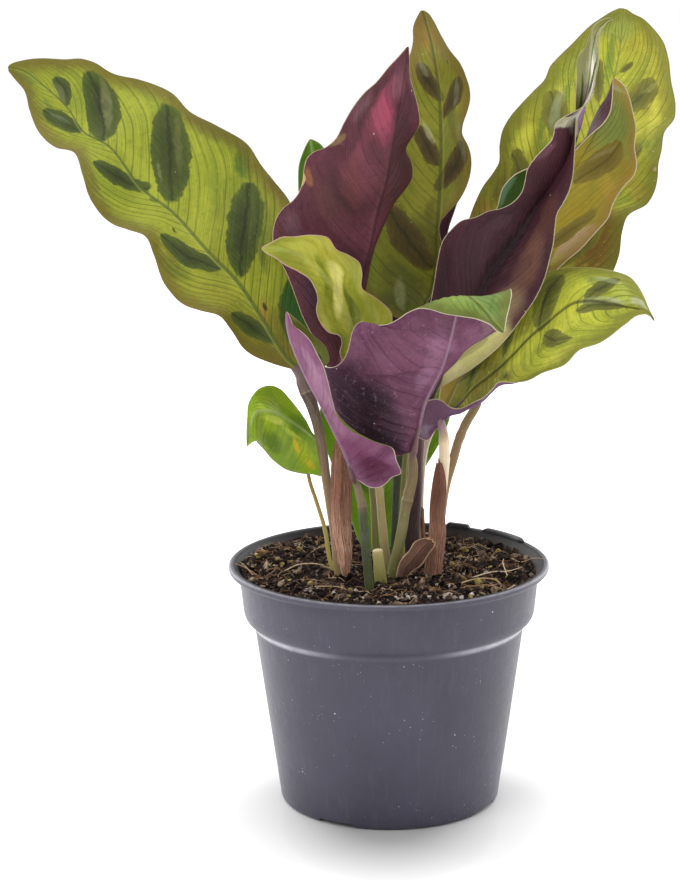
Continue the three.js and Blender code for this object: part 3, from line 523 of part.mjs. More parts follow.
// ---------- the assembly ----------
const plant = new THREE.Group();
function add(name, geometry, color, roughness) {
  const mesh = new THREE.Mesh(geometry, new THREE.MeshStandardMaterial({ color, roughness, metalness: 0 }));
  mesh.name = name;
  plant.add(mesh);
}
add('pot', potGeometry(), POT_GREY, 0.55);
add('soil', soilGeometry(), PEAT, 0.95);
for (const [name, blade] of Object.entries(BLADES)) {
  add(name, shellGeometry(bladeGrid(blade, BLADE_STEPS, BLADE_STEPS_ACROSS, 0.02, 0.985), BLADE_THICKNESS), FINISH[name], 0.45);
}
for (const [name, points] of Object.entries(PETIOLES)) {
  add(name, stemGeometry(points), FINISH[name] ?? OLIVE, 0.5);
}
for (const [name, sheath] of Object.entries(SHEATHS)) {
  add(name, shellGeometry(bladeGrid(sheath, 9, 2, 0.01, 0.97), SHEATH_THICKNESS), DRY_BROWN, 0.85);
}

export default plant;
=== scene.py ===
import bpy, bmesh, json, math
import numpy as np
from mathutils import Matrix, Vector


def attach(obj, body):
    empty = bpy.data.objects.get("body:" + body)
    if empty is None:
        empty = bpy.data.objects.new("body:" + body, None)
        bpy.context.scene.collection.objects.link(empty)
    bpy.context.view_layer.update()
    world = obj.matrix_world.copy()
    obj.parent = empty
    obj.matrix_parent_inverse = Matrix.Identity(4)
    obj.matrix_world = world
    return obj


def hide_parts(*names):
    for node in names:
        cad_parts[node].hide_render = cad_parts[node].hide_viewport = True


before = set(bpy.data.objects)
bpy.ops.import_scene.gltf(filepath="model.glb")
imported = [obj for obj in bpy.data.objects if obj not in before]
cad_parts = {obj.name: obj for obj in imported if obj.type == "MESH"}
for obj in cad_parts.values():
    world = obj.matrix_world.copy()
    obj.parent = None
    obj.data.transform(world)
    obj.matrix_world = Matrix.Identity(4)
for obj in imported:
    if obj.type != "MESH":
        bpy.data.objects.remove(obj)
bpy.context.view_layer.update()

# ---------------------------------------------------------------- tables, in millimetres
LEAVES = json.loads("""{
"left_leaf":{
"bow":[2,2],
"rails":[[-1,[[-32.3,-2.0,164.5,0.0],[-38.2,-2.4,166.1,0.034],[-42.9,-3.1,167.8,0.062],[-52.3,-5.2,173.1,0.123],[-57.5,-7.2,181.7,0.179],[-61.4,-7.9,186.4,0.214],[-68.3,-7.9,188.5,0.254],[-74.1,-7.1,190.4,0.288],[-81.1,-4.7,197.3,0.344],[-85.2,-1.1,207.8,0.409],[-88.5,1.1,214.4,0.452],[-94.8,2.7,216.5,0.49],[-100.4,3.7,218.5,0.523],[-107.6,4.7,226.3,0.582],[-111.8,10.4,236.1,0.65],[-115.2,17.3,243.2,0.707],[-123.7,24.9,244.9,0.771],[-129.2,30.9,248.3,0.82],[-134.6,40.0,257.2,0.897],[-136.9,44.6,264.0,0.944],[-140.5,46.5,268.0,0.976],[-143.2,47.0,271.4,1.0]]],
[0,[[-31.6,-2.0,164.5,0.0],[-36.5,-1.9,169.1,0.04],[-45.1,-1.5,182.8,0.134],[-54.5,-1.1,197.3,0.235],[-65.5,0.2,208.8,0.328],[-79.2,8.1,222.5,0.451],[-89.9,12.4,230.1,0.531],[-102.7,17.7,245.6,0.653],[-113.1,25.6,250.4,0.734],[-118.6,32.9,257.3,0.801],[-129.3,42.7,265.8,0.9],[-137.9,47.2,271.3,0.965],[-143.7,48.0,272.5,1.0]]],
[1,[[-30.8,-2.0,164.5,0.0],[-27.3,-1.2,172.2,0.043],[-25.9,1.0,182.2,0.096],[-26.6,3.4,193.0,0.152],[-29.1,4.2,204.1,0.209],[-32.0,6.3,214.9,0.267],[-36.2,10.4,226.4,0.333],[-41.5,13.3,232.8,0.377],[-46.6,15.5,239.0,0.42],[-50.6,16.8,245.3,0.458],[-62.6,18.4,252.8,0.53],[-73.2,22.6,258.0,0.594],[-78.9,26.2,263.7,0.639],[-87.2,30.0,267.4,0.688],[-91.4,31.5,268.6,0.712],[-102.9,33.9,271.3,0.773],[-108.5,34.6,274.8,0.807],[-113.5,36.3,276.2,0.834],[-120.4,39.5,275.8,0.873],[-130.0,44.2,275.9,0.927],[-137.7,47.1,274.9,0.969],[-141.6,47.9,273.8,0.99],[-143.3,48.0,272.8,1.0]]]],"face":"up","side":1},
"upright_purple_leaf":{
"bow":[-3,-2],
"rails":[[-1,[[-19.1,0.0,163.3,0.0],[-22.4,-0.2,165.8,0.028],[-24.5,-1.3,171.4,0.07],[-27.5,-3.2,177.8,0.119],[-31.0,-5.9,185.4,0.178],[-33.4,-8.3,193.2,0.236],[-36.3,-9.9,201.5,0.297],[-39.5,-10.2,208.5,0.349],[-41.3,-11.1,215.2,0.397],[-40.0,-12.5,222.3,0.446],[-37.3,-13.5,226.4,0.48],[-34.0,-14.3,229.0,0.509],[-31.5,-15.0,232.3,0.538],[-30.1,-15.6,236.7,0.569],[-29.7,-15.9,240.3,0.594],[-28.4,-16.0,244.6,0.624],[-26.4,-16.2,246.6,0.643],[-22.0,-16.7,248.3,0.675],[-18.2,-17.6,251.5,0.709],[-15.4,-18.9,256.9,0.752],[-11.8,-20.8,263.1,0.802],[-7.4,-22.6,268.6,0.852],[-3.9,-23.7,271.7,0.884],[0.9,-25.2,277.5,0.936],[4.1,-25.8,280.9,0.968],[7.3,-26.0,284.5,1.0]]],
[0,[[-18.0,0.0,163.3,0.0],[-13.7,-2.0,182.7,0.156],[-9.6,-5.0,199.8,0.296],[-6.2,-6.0,212.8,0.401],[-3.8,-7.8,224.6,0.496],[-0.8,-10.7,234.8,0.583],[1.5,-12.9,246.9,0.681],[3.8,-16.0,260.2,0.789],[5.8,-22.4,272.5,0.899],[7.6,-26.0,284.8,1.0]]],
[1,[[-16.9,0.0,163.3,0.0],[-11.2,0.9,181.1,0.137],[-7.6,1.9,195.8,0.248],[-5.9,2.0,206.5,0.327],[-4.7,2.0,210.9,0.361],[-0.8,2.0,219.3,0.429],[3.8,2.0,228.1,0.501],[7.6,2.0,232.5,0.544],[9.0,2.0,234.7,0.563],[9.2,1.3,238.6,0.592],[8.6,-0.1,241.8,0.618],[6.8,-2.7,245.9,0.656],[9.9,-7.3,251.7,0.715],[11.7,-10.4,255.8,0.754],[11.3,-13.2,261.3,0.8],[9.8,-14.4,267.4,0.846],[8.7,-16.8,271.3,0.881],[8.2,-21.1,276.1,0.928],[8.1,-24.3,280.0,0.965],[8.0,-26.0,284.5,1.0]]]],"face":"under","side":-1},
"centre_back_leaf":{
"bow":[2,2],
"rails":[[-1,[[7.6,10.0,180.4,0.0],[-1.3,8.7,184.5,0.075],[-7.5,6.9,190.1,0.141],[-9.9,6.1,195.5,0.186],[-9.5,6.5,203.6,0.248],[-7.4,8.8,214.3,0.333],[-5.1,10.9,225.9,0.425],[-2.1,12.5,236.7,0.511],[0.9,16.6,247.3,0.601],[3.5,19.0,258.0,0.687],[6.1,22.2,268.0,0.769],[8.2,27.4,275.6,0.841],[9.9,31.8,281.9,0.901],[10.2,34.8,287.8,0.952],[12.0,35.9,291.7,0.985],[13.0,36.0,293.3,1.0]]],
[0,[[9.5,11.0,180.3,0.0],[14.0,12.0,186.5,0.064],[17.0,14.0,194.0,0.133],[18.2,15.0,201.7,0.199],[18.7,16.0,213.3,0.296],[19.1,17.3,221.0,0.36],[19.8,18.8,231.7,0.451],[20.1,19.6,244.2,0.554],[19.9,21.6,254.7,0.643],[19.3,23.6,265.4,0.734],[18.0,24.6,274.6,0.811],[16.6,29.5,282.0,0.885],[14.6,34.9,289.3,0.963],[13.4,36.0,293.5,1.0]]],
[1,[[10.6,10.0,180.4,0.0],[13.8,9.4,186.9,0.055],[17.6,8.5,191.9,0.103],[20.4,8.0,197.2,0.148],[21.6,9.0,202.6,0.19],[21.2,10.8,207.2,0.227],[19.8,12.2,210.7,0.258],[19.0,13.0,214.7,0.289],[19.9,13.0,218.0,0.315],[22.4,13.2,220.8,0.343],[25.9,13.4,224.6,0.382],[29.4,13.8,230.8,0.436],[30.6,14.0,234.6,0.466],[31.0,14.1,240.8,0.513],[29.9,14.6,244.7,0.543],[27.5,15.6,249.8,0.586],[27.9,16.4,253.0,0.611],[29.5,17.5,257.4,0.648],[30.5,18.4,261.2,0.678],[30.3,19.3,265.7,0.713],[29.1,19.8,269.9,0.746],[27.2,20.1,274.6,0.784],[23.4,23.2,279.3,0.835],[20.4,28.8,284.3,0.896],[17.4,34.2,289.7,0.958],[15.6,35.7,292.2,0.984],[13.7,36.0,293.3,1.0]]]],"face":"up","side":1},
"right_back_leaf":{
"bow":[2,2],
"rails":[[-1,[[32.9,20.0,147.5,0.0],[29.9,21.0,156.2,0.053],[27.7,24.9,168.9,0.129],[26.7,29.3,181.5,0.206],[26.7,31.9,194.5,0.281],[28.2,32.9,207.6,0.357],[31.4,34.7,216.8,0.413],[33.2,35.9,221.3,0.442],[36.5,37.5,227.6,0.483],[40.1,38.7,232.2,0.517],[42.3,39.4,236.0,0.543],[42.5,40.0,242.4,0.58],[43.7,40.2,248.2,0.613],[46.6,41.0,253.1,0.646],[50.9,42.8,257.9,0.684],[55.4,45.0,262.3,0.722],[59.8,47.5,266.4,0.759],[62.0,49.8,271.2,0.793],[65.7,52.1,274.9,0.825],[70.3,54.7,279.0,0.863],[74.7,56.9,283.2,0.9],[78.4,58.3,286.3,0.928],[82.1,59.3,288.7,0.954],[86.4,59.9,291.1,0.983],[89.2,60.0,292.2,1.0]]],
[0,[[33.8,20.0,147.5,0.0],[36.3,20.9,158.1,0.067],[40.5,24.0,172.8,0.162],[45.4,26.7,187.6,0.259],[51.8,28.2,202.5,0.359],[59.4,33.0,216.9,0.463],[67.1,36.6,229.6,0.556],[73.8,38.3,242.5,0.646],[80.5,44.2,255.0,0.74],[86.2,51.4,266.8,0.831],[88.3,55.5,274.7,0.887],[89.6,58.8,283.9,0.947],[90.2,60.0,292.4,1.0]]],
[1,[[34.8,20.0,147.5,0.0],[44.2,20.3,156.6,0.07],[53.5,20.9,166.4,0.142],[64.8,21.7,175.0,0.217],[75.9,22.0,186.3,0.302],[84.7,23.6,197.1,0.377],[86.9,24.9,203.0,0.411],[88.0,26.7,211.4,0.457],[89.8,27.9,216.7,0.487],[97.7,29.4,221.7,0.538],[99.8,29.8,225.3,0.56],[101.2,30.1,231.7,0.595],[101.4,30.6,235.9,0.618],[102.6,32.0,240.8,0.646],[103.9,34.9,247.6,0.686],[108.1,38.5,252.9,0.727],[108.5,40.6,256.3,0.748],[107.3,46.7,265.7,0.808],[106.6,51.8,273.9,0.86],[105.0,54.9,279.5,0.895],[101.5,57.5,284.3,0.929],[97.3,59.2,288.2,0.961],[93.7,59.8,290.0,0.983],[91.1,60.0,291.8,1.0]]]],"face":"up","side":1},
"twisted_purple_leaf":{
"bow":[-2,-2],
"rails":[[-1,[[14.1,-2.0,151.8,0.0],[12.6,-1.6,161.6,0.056],[13.4,-0.6,173.7,0.126],[15.2,-0.0,185.9,0.196],[17.1,-0.6,197.1,0.26],[18.5,-1.6,206.1,0.313],[20.3,-2.6,212.9,0.353],[23.2,-3.3,216.8,0.381],[26.7,-3.9,220.0,0.408],[32.2,-4.5,221.5,0.44],[36.3,-4.9,223.6,0.467],[41.2,-5.0,224.6,0.495],[45.3,-5.5,226.7,0.521],[48.6,-7.1,231.1,0.554],[49.5,-8.5,234.7,0.577],[50.4,-10.7,239.7,0.608],[52.7,-12.4,243.4,0.635],[56.3,-14.3,247.7,0.668],[58.5,-14.9,250.1,0.687],[59.4,-15.0,252.8,0.703],[59.7,-16.3,255.9,0.723],[61.7,-18.8,258.3,0.745],[64.3,-22.0,260.2,0.771],[66.9,-24.7,261.8,0.794],[69.4,-26.0,263.3,0.812],[71.0,-26.0,265.8,0.829],[72.1,-25.9,269.2,0.849],[72.8,-25.8,273.2,0.872],[73.8,-25.6,276.5,0.892],[74.3,-25.4,281.9,0.923],[74.3,-25.2,286.6,0.95],[75.1,-25.1,289.9,0.969],[76.9,-25.0,292.4,0.987],[79.0,-25.0,293.4,1.0]]],
[0,[[14.8,-2.0,151.8,0.0],[19.3,-1.1,161.8,0.067],[24.8,1.1,172.6,0.143],[30.4,2.8,183.5,0.219],[34.6,2.8,192.5,0.28],[39.4,1.6,201.9,0.345],[43.6,0.7,207.0,0.386],[48.4,-0.5,214.1,0.439],[54.5,-1.2,224.7,0.514],[59.8,-4.0,233.3,0.579],[64.4,-7.3,241.2,0.638],[67.1,-8.9,247.8,0.683],[69.0,-10.0,255.4,0.732],[70.3,-13.0,262.8,0.781],[71.6,-15.8,270.8,0.834],[72.3,-16.8,277.9,0.878],[72.9,-19.7,284.4,0.922],[74.7,-22.8,290.5,0.965],[79.3,-24.0,293.6,1.0]]],
[1,[[15.5,-2.0,151.8,0.0],[19.2,-2.6,157.8,0.041],[22.9,-3.5,160.4,0.068],[29.8,-5.6,164.9,0.119],[35.2,-7.2,169.3,0.161],[40.3,-8.0,173.9,0.201],[45.0,-8.3,179.4,0.244],[48.2,-8.8,184.0,0.277],[54.2,-10.3,193.4,0.344],[57.3,-11.4,201.2,0.394],[59.0,-11.9,208.6,0.439],[59.8,-12.0,212.2,0.461],[60.4,-13.2,219.4,0.504],[60.9,-14.4,223.7,0.53],[63.2,-15.8,228.0,0.56],[65.8,-17.0,234.9,0.605],[66.5,-17.0,239.1,0.629],[66.7,-17.0,244.1,0.659],[67.0,-17.0,250.5,0.697],[67.0,-16.6,257.2,0.737],[67.0,-15.3,264.6,0.781],[67.4,-14.2,271.9,0.824],[67.6,-14.7,279.3,0.868],[70.0,-16.8,283.2,0.898],[71.2,-19.6,287.7,0.93],[72.2,-21.3,290.4,0.95],[74.5,-23.0,292.6,0.971],[77.0,-23.8,293.6,0.988],[79.1,-24.0,293.8,1.0]]]],"face":"under","side":-1},
"right_cupped_leaf":{
"bow":[2,3],
"rails":[[-1,[[18.4,12.0,143.5,0.0],[19.5,12.5,154.1,0.069],[23.3,14.4,169.0,0.168],[28.2,15.9,183.8,0.269],[33.0,15.7,198.9,0.371],[37.0,14.9,212.1,0.46],[40.6,14.3,222.2,0.529],[42.8,14.0,230.0,0.581],[46.0,13.4,233.7,0.613],[51.3,9.0,237.2,0.662],[58.6,4.1,239.9,0.722],[65.8,2.7,241.8,0.77],[68.9,1.0,245.3,0.802],[71.8,-0.5,248.8,0.833],[74.8,-1.0,251.6,0.859],[77.7,-0.6,254.0,0.884],[80.2,0.3,257.5,0.912],[81.5,2.0,263.5,0.953],[81.7,2.9,268.4,0.985],[81.8,3.0,270.7,1.0]]],[-0.82,[[18.5,12.0,143.5,0.0],[20.3,12.8,153.8,0.069],[24.6,14.7,168.2,0.168],[30.0,16.4,182.6,0.269],[35.3,16.4,197.3,0.371],[39.6,15.9,210.1,0.46],[43.4,15.5,220.0,0.529],[45.8,15.4,227.6,0.581],[48.8,14.7,231.5,0.613],[53.5,10.9,235.6,0.662],[59.9,6.4,239.3,0.722],[66.4,4.8,242.0,0.77],[68.8,5.5,245.1,0.802],[72.1,4.5,248.4,0.833],[73.8,4.0,251.4,0.859],[75.8,3.6,254.6,0.884],[78.2,3.4,259.0,0.912],[80.2,3.6,263.1,0.953],[81.3,3.4,267.6,0.985],[81.9,3.0,270.7,1.0]]],
[0,[[19.1,12.0,143.5,0.0],[27.8,13.2,159.7,0.127],[37.5,14.9,176.4,0.261],[46.0,15.0,190.7,0.376],[52.9,15.0,203.4,0.476],[58.8,15.0,214.5,0.563],[63.8,14.6,225.7,0.648],[68.4,13.4,235.4,0.723],[73.7,12.2,245.1,0.799],[77.9,11.1,253.9,0.868],[80.3,6.2,262.4,0.937],[82.0,3.0,270.7,1.0]]],
[1,[[19.9,12.0,143.5,0.0],[30.0,12.0,158.7,0.118],[40.7,12.0,171.6,0.226],[50.7,11.9,184.4,0.331],[58.9,10.7,195.4,0.42],[65.1,9.5,202.3,0.481],[71.3,8.6,207.6,0.534],[77.6,8.0,215.1,0.596],[81.0,7.8,219.1,0.631],[82.9,7.0,224.8,0.67],[86.2,5.5,230.6,0.714],[90.1,4.0,235.7,0.757],[90.7,3.4,238.5,0.776],[89.8,2.3,245.6,0.822],[90.1,2.0,251.9,0.863],[88.9,2.3,258.7,0.908],[87.5,2.7,264.2,0.944],[85.4,2.9,268.3,0.974],[83.1,3.0,270.2,0.993],[82.3,3.0,270.7,1.0]]]],"face":"up","side":1},
"right_low_leaf":{
"bow":[0,3],
"rails":[[-1,[[18.9,-9.0,145.1,0.0],[16.9,-9.0,142.8,0.016],[14.3,-9.2,139.7,0.037],[11.4,-9.4,140.7,0.053],[9.9,-9.6,143.7,0.071],[10.3,-9.9,148.7,0.097],[12.1,-10.0,152.6,0.12],[14.1,-10.2,154.5,0.134],[16.0,-10.7,155.4,0.145],[18.2,-11.3,155.7,0.158],[20.1,-11.9,154.9,0.169],[22.3,-12.7,153.1,0.184],[25.2,-13.0,152.4,0.2],[28.2,-14.1,153.4,0.229],[31.5,-16.7,155.8,0.273],[34.7,-18.0,157.6,0.308],[37.6,-18.7,160.4,0.344],[40.2,-19.8,163.4,0.381],[42.3,-20.0,163.6,0.4],[44.9,-20.1,163.3,0.421],[50.5,-20.5,164.1,0.466],[55.9,-21.4,167.2,0.518],[63.0,-22.6,169.9,0.58],[69.0,-23.9,176.0,0.669],[76.0,-24.6,178.6,0.748],[84.5,-28.8,185.9,0.871],[89.2,-31.1,189.7,0.938],[92.6,-31.8,189.8,0.975],[94.2,-32.0,188.0,1.0]]],[-0.5,[[19.3,-9.0,145.2,0.0],[17.3,-8.9,144.3,0.028],[15.8,-8.6,142.9,0.053],[15.8,-8.4,144.6,0.073],[16.9,-8.3,145.7,0.092],[19.1,-8.6,146.7,0.122],[21.6,-9.8,148.2,0.162],[23.8,-11.0,150.0,0.2],[26.7,-11.8,151.1,0.227],[29.6,-12.0,152.5,0.255],[32.0,-12.3,153.6,0.278],[35.0,-13.1,155.8,0.311],[37.8,-14.1,158.8,0.347],[40.4,-14.9,161.5,0.38],[42.6,-15.0,162.8,0.409],[45.1,-15.3,163.6,0.44],[49.4,-16.4,166.6,0.501],[54.3,-18.2,170.9,0.58],[59.6,-19.5,175.6,0.64],[64.9,-20.0,179.7,0.696],[70.5,-21.2,183.9,0.756],[76.3,-23.9,185.8,0.812],[82.1,-27.2,188.5,0.872],[87.5,-30.1,191.1,0.928],[91.2,-31.4,191.2,0.961],[94.4,-32.0,187.8,1.0]]],
[0,[[19.6,-9.0,145.4,0.0],[22.0,-8.7,148.0,0.034],[24.8,-8.0,150.8,0.073],[27.7,-7.1,153.5,0.111],[32.2,-6.0,158.5,0.177],[37.4,-6.0,162.7,0.242],[41.8,-6.0,166.5,0.298],[46.7,-6.0,171.4,0.364],[53.0,-6.0,178.2,0.453],[58.5,-6.9,182.8,0.523],[62.6,-9.2,187.0,0.584],[67.8,-12.5,191.1,0.655],[73.0,-14.9,192.2,0.711],[79.1,-16.0,191.6,0.771],[85.1,-20.5,190.9,0.844],[90.2,-27.7,190.7,0.928],[93.4,-31.3,189.3,0.977],[94.8,-32.0,187.5,1.0]]],
[1,[[20.0,-9.0,146.0,0.0],[22.8,-6.7,153.5,0.065],[27.4,-0.6,162.0,0.153],[33.4,3.0,171.1,0.241],[40.0,3.6,181.4,0.336],[47.3,4.5,190.2,0.425],[54.3,5.0,196.4,0.497],[59.4,4.3,199.8,0.545],[64.6,1.6,201.4,0.592],[69.9,-2.0,202.2,0.641],[75.2,-5.5,202.8,0.691],[81.3,-7.8,202.1,0.742],[86.7,-9.8,200.6,0.787],[90.2,-17.1,197.6,0.854],[91.9,-24.4,194.6,0.917],[93.1,-29.9,191.4,0.967],[94.8,-32.0,188.0,1.0]]]],"face":"up","side":-1},
"front_purple_leaf":{
"bow":[-5,-1],
"rails":[[-1,[[8.0,-14.0,136.5,0.0],[2.9,-15.1,135.2,0.038],[-4.4,-18.4,138.3,0.099],[-11.3,-20.0,142.0,0.155],[-17.4,-22.4,148.9,0.222],[-20.5,-24.9,157.6,0.29],[-22.0,-25.3,163.6,0.334],[-23.7,-27.0,171.1,0.389],[-21.0,-27.8,170.7,0.409],[-18.8,-28.6,171.3,0.426],[-16.3,-29.7,173.4,0.45],[-14.5,-30.9,176.9,0.479],[-13.4,-32.1,180.9,0.51],[-12.6,-33.1,184.7,0.539],[-10.8,-33.7,187.8,0.564],[-9.0,-33.9,188.5,0.578],[-5.5,-34.1,187.3,0.604],[-0.9,-35.9,187.6,0.639],[3.4,-39.2,190.0,0.681],[7.2,-43.2,193.3,0.726],[11.4,-46.7,195.3,0.767],[15.2,-49.0,195.2,0.799],[20.0,-50.0,193.9,0.835],[25.5,-52.0,193.4,0.877],[31.3,-55.8,192.8,0.926],[35.3,-58.5,191.5,0.961],[38.4,-59.9,189.1,0.99],[39.7,-60.0,188.9,1.0]]],[-0.5,[[8.4,-14.1,136.4,0.0],[6.4,-15.8,137.4,0.038],[3.7,-19.0,141.3,0.099],[0.9,-21.6,145.3,0.155],[-1.5,-24.8,151.8,0.222],[-1.7,-27.1,158.9,0.29],[-1.7,-28.0,162.7,0.334],[-2.0,-30.3,168.2,0.389],[-0.3,-30.9,168.6,0.409],[1.0,-31.6,169.7,0.426],[2.4,-32.7,172.0,0.45],[3.5,-34.2,175.3,0.479],[4.3,-35.6,179.0,0.51],[4.9,-36.6,182.1,0.539],[5.9,-37.3,184.7,0.564],[6.9,-37.4,185.5,0.578],[8.9,-37.8,186.1,0.604],[11.6,-39.2,187.8,0.639],[13.7,-40.7,193.2,0.681],[16.1,-44.2,196.8,0.726],[19.2,-47.6,198.9,0.767],[22.3,-50.1,199.5,0.799],[25.7,-52.1,198.0,0.835],[29.6,-52.0,194.4,0.877],[33.5,-55.9,192.8,0.926],[36.4,-58.4,191.3,0.961],[38.8,-59.7,189.2,0.99],[39.8,-60.0,188.8,1.0]]],
[0,[[8.8,-14.0,136.5,0.0],[10.6,-15.9,145.1,0.092],[13.4,-20.3,157.2,0.227],[16.0,-21.1,162.9,0.291],[18.8,-24.1,169.0,0.365],[21.2,-30.1,177.4,0.474],[23.0,-33.9,185.3,0.566],[24.0,-37.8,191.4,0.64],[25.2,-43.0,197.5,0.723],[27.5,-47.4,199.9,0.779],[30.2,-52.0,198.8,0.834],[33.6,-54.1,195.6,0.886],[36.7,-58.1,192.1,0.949],[39.9,-60.0,188.8,1.0]]],
[1,[[9.5,-14.0,136.5,0.0],[12.0,-15.4,145.7,0.091],[14.6,-18.1,156.7,0.201],[16.4,-18.8,160.2,0.238],[18.9,-19.1,164.7,0.287],[24.2,-22.1,171.1,0.37],[29.8,-26.7,178.2,0.465],[34.7,-28.8,181.4,0.524],[39.6,-30.8,185.0,0.584],[41.8,-36.5,190.7,0.663],[42.4,-39.1,195.8,0.717],[41.8,-44.0,199.8,0.777],[42.9,-49.1,202.5,0.832],[43.1,-51.9,200.8,0.863],[42.4,-53.2,197.5,0.897],[41.2,-57.3,193.7,0.951],[40.3,-60.0,189.3,1.0]]]],"face":"under","side":-1},
"front_folded_leaf":{
"bow":[-2,-2],
"rails":[[-1,[[-11.7,-26.0,129.1,0.0],[-12.0,-26.5,133.5,0.053],[-13.7,-28.2,139.5,0.131],[-16.9,-30.6,147.0,0.233],[-20.4,-31.5,154.6,0.334],[-22.4,-33.2,160.1,0.407],[-24.3,-35.0,165.6,0.48],[-24.2,-35.9,170.5,0.539],[-20.8,-37.2,175.0,0.61],[-21.4,-40.4,180.0,0.68],[-25.2,-46.3,185.2,0.786],[-29.5,-52.6,190.8,0.9],[-32.0,-55.1,193.7,0.954],[-33.7,-55.9,195.3,0.984],[-34.7,-56.0,196.2,1.0]]],
[0,[[-11.8,-26.0,129.5,0.0],[-13.2,-27.2,133.7,0.059],[-15.1,-31.8,140.7,0.169],[-18.2,-36.6,148.4,0.293],[-21.5,-38.7,155.8,0.401],[-24.0,-42.6,162.1,0.501],[-26.7,-45.6,167.7,0.591],[-29.0,-46.4,172.6,0.661],[-32.0,-49.7,180.4,0.777],[-33.9,-53.2,186.7,0.873],[-34.8,-55.4,192.0,0.948],[-35.1,-56.0,196.0,1.0]]],[0.5,[[-11.3,-26.0,129.5,0.0],[-8.6,-26.6,129.2,0.033],[-5.8,-29.7,133.5,0.103],[-7.5,-35.4,140.4,0.211],[-12.8,-40.9,147.5,0.334],[-17.7,-43.4,155.0,0.444],[-21.0,-48.2,163.2,0.563],[-23.4,-50.0,169.3,0.644],[-25.7,-50.6,174.4,0.711],[-29.1,-52.6,181.6,0.808],[-31.3,-54.1,186.1,0.87],[-32.9,-55.4,191.1,0.934],[-34.8,-56.0,196.3,1.0]]],
[1,[[-11.1,-26.0,129.1,0.0],[-9.7,-26.2,128.0,0.018],[-7.3,-27.2,126.7,0.045],[-3.7,-29.5,126.9,0.087],[-0.8,-32.1,129.0,0.13],[1.4,-34.9,132.0,0.175],[4.6,-38.1,134.3,0.224],[3.0,-41.5,139.9,0.289],[1.6,-43.0,144.6,0.339],[-3.2,-43.6,146.5,0.389],[-7.8,-45.2,148.8,0.44],[-14.1,-48.3,153.1,0.52],[-17.5,-50.1,157.5,0.577],[-19.2,-51.0,163.1,0.634],[-20.7,-51.5,170.0,0.702],[-22.5,-52.5,176.6,0.769],[-24.6,-53.5,181.0,0.817],[-26.9,-54.5,185.8,0.87],[-30.3,-55.3,189.5,0.919],[-32.4,-55.7,191.0,0.944],[-33.5,-55.9,193.9,0.974],[-34.6,-56.0,196.3,1.0]]]],"face":"under","side":-1},
"small_pleated_leaf":{
"bow":[1.5,1.5],
"rails":[[-1,[[-13.0,-12.0,168.2,0.0],[-16.2,-12.8,170.3,0.059],[-17.3,-14.2,173.3,0.113],[-16.5,-16.3,177.4,0.183],[-17.2,-17.7,180.2,0.232],[-21.4,-19.0,182.2,0.305],[-24.2,-20.2,186.1,0.38],[-25.5,-23.0,190.9,0.467],[-24.8,-25.5,195.3,0.544],[-25.8,-27.0,199.4,0.613],[-27.3,-27.2,202.3,0.662],[-31.8,-28.9,205.8,0.753],[-36.3,-31.2,208.7,0.84],[-39.7,-32.9,211.5,0.911],[-42.7,-33.8,213.2,0.966],[-44.3,-34.0,214.7,1.0]]],
[0,[[-11.9,-12.0,168.2,0.0],[-12.5,-13.6,178.2,0.15],[-14.6,-15.0,186.5,0.279],[-17.1,-17.0,193.5,0.393],[-20.5,-20.9,200.3,0.52],[-24.7,-22.1,204.5,0.611],[-28.8,-24.2,208.3,0.699],[-32.9,-27.9,212.0,0.798],[-38.3,-31.9,214.1,0.903],[-44.4,-34.0,215.0,1.0]]],
[1,[[-10.8,-12.0,168.2,0.0],[-4.2,-12.0,175.6,0.108],[1.3,-12.0,182.6,0.204],[1.5,-12.6,187.8,0.262],[-1.8,-13.5,191.6,0.317],[-5.0,-14.5,194.3,0.364],[-9.0,-15.5,197.4,0.421],[-9.0,-16.0,203.3,0.485],[-9.8,-16.4,206.6,0.522],[-13.4,-17.9,209.7,0.576],[-17.9,-20.4,212.2,0.639],[-21.0,-23.0,216.9,0.706],[-27.2,-24.9,218.3,0.779],[-32.8,-26.5,218.0,0.842],[-37.2,-29.8,218.3,0.903],[-40.6,-32.6,217.0,0.953],[-43.0,-33.8,215.9,0.984],[-44.3,-34.0,215.3,1.0]]]],"face":"up","side":1},
"young_left_leaf":{
"bow":[1.5,1.5],
"rails":[[-1,[[-24.7,8.0,134.2,0.0],[-23.5,1.9,129.1,0.151],[-24.9,-4.6,125.2,0.297],[-27.4,-5.1,126.0,0.347],[-32.3,-7.7,127.1,0.453],[-37.7,-12.5,130.0,0.6],[-42.5,-15.0,134.3,0.729],[-45.2,-16.5,138.2,0.823],[-47.8,-18.9,142.1,0.922],[-49.5,-19.6,141.6,0.959],[-51.1,-20.0,140.2,1.0]]],
[0,[[-25.5,8.0,135.0,0.0],[-30.4,5.3,139.7,0.149],[-37.3,2.0,145.6,0.345],[-44.0,-5.6,150.2,0.571],[-48.4,-8.9,150.4,0.681],[-50.5,-11.9,146.4,0.792],[-51.2,-20.0,140.2,1.0]]],
[1,[[-25.8,8.0,136.2,0.0],[-28.3,7.7,139.2,0.063],[-30.4,6.9,143.7,0.144],[-33.9,6.1,149.1,0.246],[-36.7,5.5,152.8,0.322],[-40.1,2.8,157.0,0.419],[-44.1,-0.4,158.8,0.507],[-48.3,-3.5,157.6,0.591],[-51.1,-5.0,153.7,0.673],[-51.7,-10.1,148.3,0.792],[-51.4,-16.9,144.5,0.917],[-51.4,-20.0,140.4,1.0]]]],"face":"up","side":1},
"low_back_leaf":{
"bow":[2,2],
